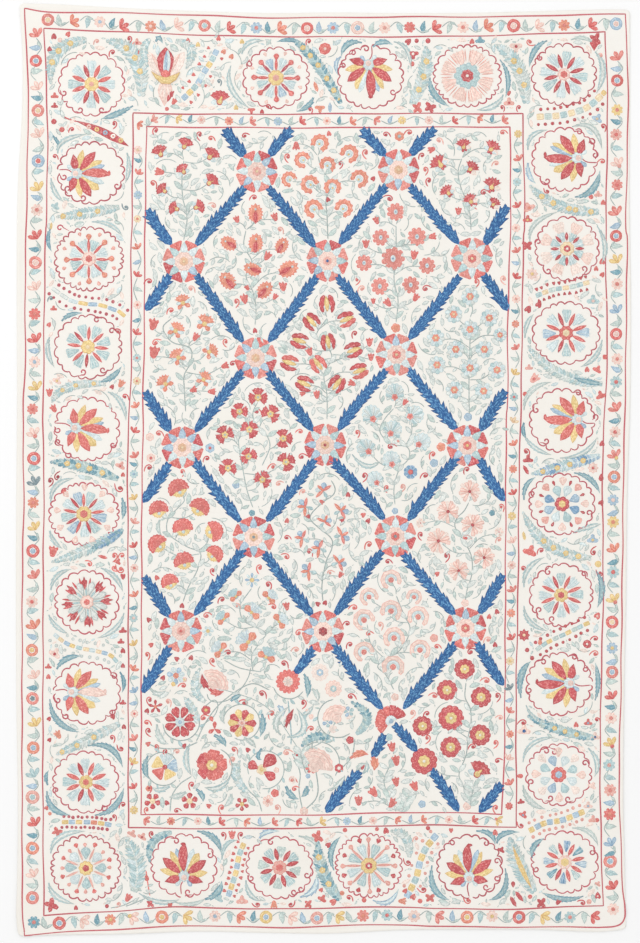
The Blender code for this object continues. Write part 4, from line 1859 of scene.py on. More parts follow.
MEDALLIONS = (
    Medallion(
        91.6, 84.3, 33.0, 32.5,
        (
            wedge(8, 0.0, 8.0, 23.5, 6.3, *BLUE), ray(8, 22.5, 6.5, 21.0, 2.7, *RED), disc(7.5, YELLOW, 8),
            disc(2.8, ROSE, 5),
        ),
        hooks=(Hook(64, 93), Hook(80, 110), Hook(102, 110)),
    ),
    palmette(
        91, 173, -3.0, (77, 173.7), (Hook(64, 177), Hook(68, 189), Hook(83, 198), Hook(117, 186)),
        long_dye=CORAL,
    ),
    Medallion(
        89, 259, 35.0, 32.0,
        (
            drop(8, 22.5, 24.0, 28.5, 2.2, ROSE), wedge(8, 22.5, 8.0, 19.0, 6.3, *BLUE),
            ray(8, 0.0, 6.5, 20.0, 1.7, CORAL), drop(8, 0.0, 18.5, 25.5, 3.1, ORANGE), disc(7.2, PINK, 7),
            disc(4.2, CORAL, 6),
        ),
        lobes=28, hooks=(Hook(60, 228),),
    ),
    Medallion(
        88, 347, 34.0, 32.5,
        (
            wedge(8, 17.5, 9.0, 22.5, 6.3, AQUA), ray(8, 40.0, 6.5, 21.0, 2.1, *RED), disc(7.2, YELLOW, 7),
            disc(2.6, CREAM, 5),
        ),
        hooks=(Hook(97, 320), Hook(112, 331), Hook(83, 372), Hook(103, 370)),
    ),
    palmette(
        87, 429, -8.0, (76, 428.0), (Hook(58, 430), Hook(58, 442), Hook(69, 455), Hook(113, 445)), False,
        CORAL, CORAL,
    ),
    Medallion(
        84, 514, 35.0, 32.0,
        (
            drop(9, 10.0, 23.0, 30.5, 3.6, PINK), wedge(9, 30.0, 8.5, 22.5, 5.8, ICE, AQUA, SKY),
            ray(9, 10.0, 7.0, 21.0, 1.9, CORAL, CRIMSON), disc(8.0, YELLOW, 8), disc(4.6, CORAL, 6),
        ),
        lobes=26,
    ),
    Medallion(
        87, 602, 32.5, 32.0,
        (
            wedge(8, 5.0, 12.0, 22.5, 3.9, CRIMSON), ray(8, -6.0, 15.0, 25.0, 1.3, CRIMSON),
            ray(8, 16.0, 15.0, 25.0, 1.3, CRIMSON), ray(8, 5.0, 17.0, 26.0, 1.4, CRIMSON),
            ray(8, 5.0, 6.0, 15.0, 1.3, AQUA), drop(8, 27.5, 7.0, 21.0, 3.4, FOAM), disc(6.8, PINK, 7),
            disc(3.6, CORAL, 5),
        ),
    ),
    palmette(
        87, 693, -2.0, (73, 692.0), (Hook(58, 700), Hook(66, 716), Hook(112, 712), Hook(114, 676)), False,
        CORAL, PINK,
    ),
    Medallion(
        86, 782, 33.5, 31.0,
        (
            wedge(8, 0.0, 9.0, 23.0, 6.3, *BLUE), ray(8, 22.5, 6.5, 21.5, 2.7, *RED), disc(7.2, YELLOW, 7),
            disc(3.6, CORAL, 6),
        ),
        hooks=(Hook(56, 790), Hook(104, 808)),
    ),
    Medallion(
        86, 868, 35.0, 33.5,
        (
            drop(8, 22.0, 22.0, 27.0, 2.8, CORAL), drop(8, 0.0, 21.0, 25.5, 2.0, ROSE),
            drop(8, 0.0, 9.0, 21.0, 4.9, AQUA, ICE), ray(8, 22.5, 8.0, 22.0, 1.3, ROSE),
            disc(7.4, YELLOW, 9), disc(4.0, CRIMSON, 5),
        ),
        lobes=27,
    ),
    palmette(184, 865.5, 88.0, (184, 876.0), (Hook(176, 841), Hook(210, 855), Hook(188, 892))),
    Medallion(
        279.5, 867.5, 34.0, 31.2,
        (
            wedge(8, 37.0, 10.0, 21.5, 6.3, AQUA, SEA), ray(8, 15.0, 7.0, 20.5, 2.8, CRIMSON),
            disc(7.4, ROSE, 7), disc(4.2, CORAL, 6),
        ),
        hooks=(Hook(271, 842), Hook(251, 878), Hook(294, 892), Hook(301, 889), Hook(307, 875)),
    ),
    Medallion(
        368.8, 865.5, 34.0, 32.0,
        (
            drop(8, 22.0, 23.5, 29.0, 2.9, CRIMSON), drop(8, 0.0, 22.5, 28.5, 2.7, ROSE),
            wedge(8, 22.5, 8.0, 21.5, 5.6, ICE, AQUA), ray(8, 0.0, 7.0, 24.0, 1.5, ROSE),
            disc(8.2, YELLOW, 8), disc(4.2, CRIMSON, 6), disc(1.6, IVORY, 5),
        ),
        lobes=30,
    ),
    palmette(
        469.7, 866.3, 92.0, (469, 877.0),
        (Hook(486, 843), Hook(452, 843), Hook(497, 861), Hook(497, 878), Hook(486, 887)), True,
    ),
    Medallion(
        564.7, 862, 34.0, 31.2,
        (
            wedge(8, 40.0, 10.0, 21.5, 4.7, TEAL, DENIM, AQUA, SKY), ray(8, 15.0, 7.0, 20.5, 2.4, *RED),
            disc(7.2, PINK, 8), disc(4.8, YELLOW, 6),
        ),
        hooks=(Hook(536, 869), Hook(592, 852)),
    ),
    Medallion(
        558.6, 774.5, 33.6, 31.0,
        (
            drop(8, 0.0, 17.5, 27.5, 4.6, PINK, BLUSH), drop(8, 22.5, 9.0, 20.0, 4.7, AQUA, ICE, SKY),
            disc(8.0, CORAL, 8), disc(4.2, SKY, 6),
        ),
        hooks=(
            Hook(546, 751), Hook(554, 752), Hook(585, 763), Hook(531, 782), Hook(550, 798), Hook(568, 799),
        ),
    ),
    palmette(
        559, 684, 181.0, (569, 683.0), (Hook(543, 662), Hook(574, 657), Hook(585, 669), Hook(529, 690)),
        True,
    ),
    Medallion(
        561, 595, 32.0, 32.0,
        (
            wedge(8, 45.0, 9.0, 22.0, 6.3, *BLUE), ray(8, 22.0, 6.5, 21.5, 2.2, *RED), disc(7.2, YELLOW, 7),
            disc(3.8, CRIMSON, 6),
        ),
        hooks=(Hook(548, 572), Hook(539, 610), Hook(552, 619), Hook(584, 574)),
    ),
    Medallion(
        562, 504, 33.5, 30.8,
        (
            drop(8, 0.0, 18.5, 27.0, 4.4, PINK, ROSE), drop(8, 22.0, 19.5, 25.0, 1.6, CRIMSON),
            drop(8, 22.5, 8.0, 19.0, 4.6, SKY, ICE, AQUA, DENIM), disc(7.6, CRIMSON, 7),
            disc(4.2, YELLOW, 6),
        ),
        hooks=(Hook(532, 494), Hook(589, 513)),
    ),
    palmette(
        562, 420.5, 178.0, (577, 419.5), (Hook(536, 410), Hook(595, 417), Hook(546, 441), Hook(578, 393)),
        True, CORAL, CORAL,
    ),
    Medallion(
        566, 333, 33.8, 32.0,
        (
            wedge(8, 0.0, 10.0, 23.5, 6.3, SKY, ICE, AQUA, ICE), ray(8, 22.0, 6.5, 21.5, 2.3, *RED),
            disc(7.4, CORAL, 8), disc(4.2, CREAM, 6),
        ),
    ),
    Medallion(
        567, 248.8, 32.8, 32.0,
        (
            wedge(8, 22.5, 12.0, 27.0, 8.4, BLUSH, PINK), wedge(8, 22.5, 7.0, 17.0, 5.0, ICE, AQUA),
            ray(8, 0.0, 8.0, 17.0, 1.9, CRIMSON), disc(7.4, CREAM, 8), disc(4.2, CRIMSON, 6),
            disc(1.5, IVORY, 5),
        ),
        hooks=(Hook(538, 242), Hook(548, 271), Hook(584, 269)),
    ),
    palmette(
        564.5, 159.5, 177.0, (577, 158.0), (Hook(579, 132), Hook(592, 142), Hook(595, 155), Hook(547, 181)),
        True,
    ),
    Medallion(
        563.8, 74.6, 33.2, 31.0,
        (
            wedge(8, 37.0, 8.0, 23.5, 6.3, *BLUE), ray(8, 15.0, 6.0, 21.0, 2.5, CRIMSON),
            disc(6.4, PINK, 7), disc(4.2, CORAL, 6),
        ),
        hooks=(Hook(540, 58),),
    ),
    Medallion(
        467.2, 76, 33.8, 31.8,
        (
            wedge(8, 22.5, 11.0, 26.0, 9.2, PINK), ray(40, 4.5, 14.0, 27.2, 0.75, ROSE),
            disc(13.4, AQUA, 11), disc(7.6, CRIMSON, 7), disc(1.8, IVORY, 5),
        ),
        lobes=26,
    ),
    palmette(370.5, 77, -89.0, (368.5, 65.0), (Hook(353, 53), Hook(366, 49), Hook(343, 66), Hook(393, 92))),
    Medallion(
        276, 78, 33.5, 31.0,
        (
            drop(8, 22.5, 23.5, 28.0, 2.0, PINK), wedge(8, 22.5, 8.5, 20.0, 5.2, AQUA, ICE, SKY, ICE),
            ray(8, 0.0, 7.0, 19.5, 1.8, CORAL, PLUM), drop(8, 0.0, 17.5, 24.5, 3.0, CORAL),
            disc(8.0, YELLOW, 8), disc(3.8, ROSE, 6),
        ),
        hooks=(Hook(250, 64),),
    ),
)


# --------------------------------------------------------------------------------------------
# Border: leaves, garlands and sprigs
# --------------------------------------------------------------------------------------------


class Frond(NamedTuple):
    """A long leaf on the parabola through three places, in chart squares."""

    start: Pair
    middle: Pair
    end: Pair
    half: float
    dye: Dye
    beads: tuple[float, ...] = ()  # shares of its run that carry a yellow diamond
    level: int = 0  # how many patches it lies on


FRONDS = rows(
    Frond,
    # Left side, from the top.
    ((51, 84), (58, 52), (89, 40), 6.0, AQUA, (0.3, 0.52, 0.75)),
    ((107, 41), (135, 58), (141, 99), 7.5, AQUA, (0.3, 0.5, 0.7)),
    ((133, 106), (117, 114), (101, 119), 3.2, TEAL), ((58, 153), (64, 141), (88, 134), 2.8, AQUA),
    ((53, 136), (57, 141), (60, 148), 1.8, TEAL), ((127, 153), (129, 168), (125, 184), 2.6, AQUA),
    ((51, 178), (55, 192), (64, 202), 2.6, AQUA),
    ((57, 217), (88, 213), (121, 207), 5.2, AQUA, (0.1, 0.37, 0.65)),
    ((92, 222), (110, 225), (123, 237), 2.4, AQUA), ((51, 228), (48, 240), (52, 252), 2.2, TEAL),
    ((62, 321), (70, 315), (83, 313), 2.4, TEAL), ((50, 336), (48, 352), (55, 368), 2.6, AQUA),
    ((100, 382), (112, 377), (122, 366), 3.0, TEAL),
    ((52, 402), (70, 387), (107, 384), 4.2, AQUA, (0.35, 0.6, 0.85)),
    ((108, 392), (121, 402), (126, 421), 2.8, AQUA),
    ((51, 462), (84, 467), (120, 480), 5.4, TEAL, (0.25, 0.42, 0.58, 0.76)),
    ((51, 503), (56, 486), (75, 478), 2.8, AQUA), ((122, 498), (124, 509), (122, 520), 2.6, TEAL),
    ((50, 531), (54, 541), (63, 549), 2.4, AQUA), ((52, 562), (88, 549), (123, 529), 5.0, AQUA),
    ((92, 548), (109, 540), (123, 529), 3.9, DENIM, (), 2), ((51, 590), (57, 576), (72, 569), 2.6, AQUA),
    ((101, 568), (115, 577), (123, 592), 2.8, AQUA), ((49, 615), (56, 626), (69, 634), 2.4, AQUA),
    ((124, 613), (115, 629), (97, 638), 2.6, AQUA), ((57, 669), (66, 659), (82, 656), 3.0, TEAL),
    ((50, 699), (58, 721), (80, 732), 3.2, TEAL), ((120, 672), (124, 682), (122, 693), 2.2, TEAL),
    ((57, 754), (86, 741), (122, 722), 5.0, AQUA, (0.1, 0.36, 0.62)),
    ((88, 746), (110, 748), (123, 768), 3.2, TEAL), ((47, 791), (53, 808), (71, 815), 3.2, TEAL),
    ((95, 815), (114, 807), (124, 787), 3.2, TEAL), ((48, 785), (46, 777), (49, 770), 2.0, TEAL),
    ((51, 853), (60, 837), (86, 831), 3.0, AQUA), ((49, 883), (56, 896), (75, 904), 3.0, AQUA),
    ((127, 840), (137, 866), (133, 893), 8.2, AQUA),
    # Bottom, from the left.
    ((150, 862), (153, 842), (173, 832), 4.0, TEAL), ((139, 893), (160, 902), (180, 899), 2.6, AQUA),
    ((197, 831), (214, 838), (221, 853), 3.4, TEAL), ((205, 899), (217, 893), (222, 880), 3.6, TEAL),
    ((175, 902), (192, 904), (206, 898), 2.2, SEA), ((246, 880), (250, 894), (262, 901), 2.6, AQUA),
    ((260, 838), (266, 832), (280, 831), 2.6, SKY), ((222, 860), (226, 845), (238, 840), 2.2, AQUA),
    ((300, 897), (314, 889), (316, 874), 3.4, SKY), ((298, 836), (312, 840), (316, 848), 2.4, SEA),
    ((318, 842), (323, 872), (341, 901), 6.2, TEAL, (0.25, 0.47, 0.7)),
    ((334, 870), (331, 852), (341, 836), 3.0, TEAL), ((391, 831), (406, 838), (409, 858), 4.6, SEA),
    ((373, 900), (388, 902), (399, 888), 2.6, SKY), ((432, 865), (434, 888), (450, 900), 3.4, TEAL),
    ((476, 831), (490, 834), (495, 845), 2.8, TEAL), ((497, 843), (503, 834), (520, 832), 2.8, TEAL),
    ((505, 868), (504, 890), (488, 900), 3.0, TEAL), ((510, 838), (519, 866), (535, 893), 8.0, AQUA),
    ((513, 846), (521, 867), (532, 889), 2.8, YELLOW, (), 2),
    ((532, 858), (534, 846), (545, 838), 3.0, TEAL), ((572, 828), (589, 832), (598, 846), 2.6, SEA),
    ((583, 896), (563, 899), (541, 892), 3.0, TEAL),
    # Right side, from the bottom.
    ((523, 785), (530, 801), (546, 809), 3.2, SEA), ((523, 762), (532, 744), (556, 737), 2.4, AQUA),
    ((588, 748), (597, 762), (594, 777), 2.8, AQUA),
    ((528, 716), (560, 730), (597, 738), 4.6, TEAL, (0.42, 0.57, 0.73)),
    ((521, 698), (521, 676), (531, 661), 3.6, TEAL), ((595, 700), (598, 682), (595, 662), 2.6, TEAL),
    ((526, 705), (536, 719), (552, 722), 2.4, AQUA), ((524, 606), (530, 622), (548, 631), 2.6, AQUA),
    ((524, 587), (528, 569), (545, 557), 2.8, AQUA), ((596, 571), (602, 588), (597, 608), 3.2, TEAL),
    ((523, 512), (549, 545), (592, 558), 5.4, AQUA, (0.42, 0.56, 0.72, 0.86)),
    ((524, 500), (526, 486), (536, 477), 2.4, TEAL), ((574, 473), (590, 479), (600, 494), 2.8, TEAL),
    ((573, 533), (589, 527), (601, 524), 2.6, AQUA),
    ((532, 474), (564, 466), (602, 455), 5.2, SKY, (0.18, 0.4, 0.58, 0.76)),
    ((524, 423), (523, 431), (527, 440), 2.2, TEAL), ((524, 410), (531, 391), (552, 382), 2.8, SEA),
    ((524, 435), (535, 448), (552, 455), 2.4, AQUA), ((560, 458), (583, 453), (597, 437), 2.6, AQUA),
    ((528, 346), (560, 374), (604, 384), 5.0, AQUA), ((574, 378), (588, 382), (603, 384), 3.0, TEAL, (), 2),
    ((525, 338), (527, 324), (534, 314), 2.4, AQUA), ((602, 340), (595, 357), (580, 367), 2.6, AQUA),
    ((530, 242), (535, 224), (558, 212), 2.6, SEA), ((597, 226), (605, 246), (601, 264), 2.6, AQUA),
    ((530, 186), (560, 206), (602, 212), 5.4, AQUA, (0.22, 0.4, 0.62, 0.7, 0.88)),
    ((528, 163), (529, 175), (536, 184), 2.6, SKY), ((528, 150), (532, 136), (548, 130), 2.4, AQUA),
    ((572, 127), (592, 128), (602, 150), 2.8, SEA), ((575, 197), (592, 190), (600, 170), 3.6, TEAL),
    # Top, from the right.
    ((595, 52), (603, 70), (596, 94), 3.4, AQUA), ((571, 40), (583, 38), (594, 44), 2.2, SEA),
    ((547, 41), (535, 50), (529, 68), 3.0, TEAL),
    ((495, 45), (518, 68), (526, 106), 7.0, AQUA, (0.38, 0.55, 0.75)),
    ((500, 60), (508, 78), (505, 98), 2.6, TEAL), ((503, 95), (494, 106), (476, 110), 3.0, AQUA),
    ((430, 78), (434, 94), (450, 107), 3.4, TEAL),
    ((426, 47), (424, 75), (410, 107), 6.6, AQUA, (0.27, 0.53, 0.74)),
    ((394, 42), (407, 50), (411, 70), 2.4, AQUA), ((362, 43), (348, 44), (341, 57), 3.2, TEAL),
    ((373, 47), (382, 42), (393, 45), 2.8, TEAL), ((341, 57), (336, 64), (338, 76), 2.2, SKY),
    ((294, 41), (317, 64), (342, 106), 5.2, TEAL, (0.2, 0.36, 0.52, 0.7, 0.84)),
    ((313, 98), (308, 106), (296, 112), 2.8, TEAL), ((231, 66), (231, 88), (250, 109), 2.8, AQUA),
    ((242, 54), (249, 43), (265, 41), 2.6, AQUA), ((300, 43), (290, 40), (276, 42), 2.2, TEAL),
    # The palmette bud near the upper left corner.
    ((148, 67), (144, 50), (151, 39), 3.8, AQUA), ((156, 42), (159, 38), (163, 44), 2.4, TEAL),
    ((186, 69), (191, 50), (175, 41), 4.6, SEA),
)


class Garland(NamedTuple):
    """A row of beads with berries along both sides, in chart squares."""

    path: tuple[float, ...]  # across and down in turn
    beads: int
    half: float
    reach: float  # from the row to the berries
    bead_dyes: tuple[Dye, ...]
    berry: Dye
    berries: int
    form: Form = Form.DOT  # of the berries


GARLANDS = (
    Garland(
        (52, 288, 70, 300, 84, 303.6, 102, 305.6, 119, 312, 125, 317), 8, 2.2, 7.0,
        (FOAM, FOAM, ICE, YELLOW, SKY, YELLOW, SKY, YELLOW), PLUM, 12,
    ),
    Garland(
        (54, 634, 66, 643, 80, 648, 96, 651, 110, 655, 118, 663), 11, 2.2, 7.5,
        (ICE, CREAM, SKY, YELLOW, AQUA, CREAM), FOAM, 9,
    ),
    Garland(
        (62, 822, 80, 822, 95, 822.5, 112, 825), 7, 2.4, 5.5, (YELLOW, SKY, YELLOW, SKY, ORANGE), PLUM, 11,
    ),
    Garland(
        (244, 843, 239, 856, 236, 872, 231, 888, 228, 897), 8, 3.0, 6.4, (YELLOW, AQUA, YELLOW, SKY), CORAL,
        9, Form.HEART,
    ),
    Garland(
        (437, 834, 426, 848, 420, 862, 416, 878, 406, 898), 9, 3.6, 7.4, (SKY, YELLOW, AQUA, YELLOW), ROSE,
        6,
    ),
    Garland((529, 831, 545, 823, 562, 820, 585, 811), 9, 3.2, 7.4, (YELLOW, SKY), ROSE, 9),
    Garland((536, 650, 548, 642, 565, 634, 590, 622), 9, 2.4, 7.0, (SEA, AQUA, YELLOW), CRIMSON, 9),
    Garland(
        (536, 296, 552, 290, 571, 287, 590, 282), 8, 2.6, 6.6, (AQUA, CREAM, SEA), CRIMSON, 10, Form.HEART,
    ),
    Garland(
        (537, 117, 556, 116, 572, 113, 588, 107, 602, 95), 9, 3.6, 8.0, (CREAM, SEA, CREAM, AQUA), CRIMSON,
        10,
    ),
    Garland(
        (217, 50, 211, 62, 203, 74, 196, 86, 182, 100), 9, 3.2, 8.6, (SKY, AQUA, YELLOW, SKY, ICE), CORAL,
        6, Form.HEART,
    ),
)


def garland(work: Needlework, row: Garland) -> None:
    """Beads along a path, with berries on both sides, a little staggered."""
    spine = smooth_path(route(*row.path), 1.0)
    run = np.gradient(spine, axis=0)
    run = run / np.hypot(run[:, 0], run[:, 1])[:, None]
    for number in range(row.beads):
        place = int((number + 0.5) / row.beads * (len(spine) - 1))
        heading = heading_to(np.zeros(2), run[place])
        length = len(spine) / row.beads * 0.46
        dye = row.bead_dyes[number % len(row.bead_dyes)]
        petal(work, spine[place], heading, -length, length, row.half * 0.96, dye, Girth.BRICK)
    for number in range(row.berries):
        for side in (-1.0, 1.0):
            share = (number + 0.4 + 0.2 * side) / row.berries
            place = int(share * (len(spine) - 1))
            normal = np.array([-run[place][1], run[place][0]]) * side
            centre = spine[place] + normal * (row.reach - 0.4 + work.uneven(0.5))
            heading = heading_to(centre, spine[place])
            figure(work, row.form, centre, 1.8 + work.uneven(0.2), heading, row.berry)


THIN_FROND = 3.7  # half width below which a frond is a toothed crescent
THIN_FROND_GAIN = 1.25
FROND_DYES = {
    AQUA: (FOAM, SEA, AQUA, ICE, AQUA),
    TEAL: (AQUA, TEAL, MIST, TEAL, SEA),
    SEA: (FOAM, SEA, FOAM, AQUA),
    SKY: (ICE, SKY, AQUA, DENIM),
    DENIM: (MIST, DENIM, TEAL, SKY, DENIM),
}
FROND_INNERS = {
    AQUA: FOAM,
    TEAL: MIST,
    SEA: FOAM,
    SKY: ICE,
}


def frond(work: Needlework, row: Frond) -> None:
    """A long leaf of leaflets on a pale blade, with yellow diamonds where the table has them."""
    start, middle, end = at(*row.start), at(*row.middle), at(*row.end)
    length = float(np.hypot(*(middle - start)) + np.hypot(*(end - middle)))
    shares = np.linspace(0.0, 1.0, int(length) + 1)
    spine = bent_path(start, middle, end, shares)
    width = Girth.PLUME.half(shares) * row.half * 1.10
    if row.half < THIN_FROND or row.dye not in FROND_DYES:
        half = row.half * THIN_FROND_GAIN
        teeth = max(4, int(length / 4.0))
        blade(work, start, middle, end, half, row.dye, Girth.CRESCENT, teeth, row.level)
        inner = FROND_INNERS.get(row.dye, row.dye)
        blade(work, start, middle, end, half * 0.5, inner, Girth.CRESCENT, level=row.level + 1)
    else:
        dyes = FROND_DYES[row.dye]
        step = max(1, int(length / 14.0))
        core = np.append(np.arange(0, len(spine) - step, step), len(spine) - 1)
        half = width[core] * 0.94
        work.ribbon(spine[core], half, half, dyes[0], row.level)
        leaflets(work, spine, width, 3.2, min(1.8, 0.46 * row.half), dyes, 54.0, row.level + 1)
    for share in row.beads:
        place = bent_path(start, middle, end, np.array([share]))[0]
        size = min(3.5, row.half * 0.6)
        work.disc(place, lobed(size, 5, 0.16) * (1.0 + work.hand.uniform(-0.1, 0.1, 20)), YELLOW, 3)
        spot(work, place, size * 0.32, CREAM, 4)


class Sprig(NamedTuple):
    """A small motif, in chart squares."""

    form: Form
    across: float
    down: float
    size: float
    heading: float
    dye: Dye
    heart: Dye | None = None  # a dot in its middle


class Hornlet(NamedTuple):
    """A curl with a blob at its end, in chart squares."""

    across: float
    down: float
    size: float
    heading: float
    hand: int
    dye: Dye = CRIMSON


class Stem(NamedTuple):
    """A line of stitches, in chart squares."""

    path: tuple[float, ...]  # across and down in turn
    half: float
    dye: Dye


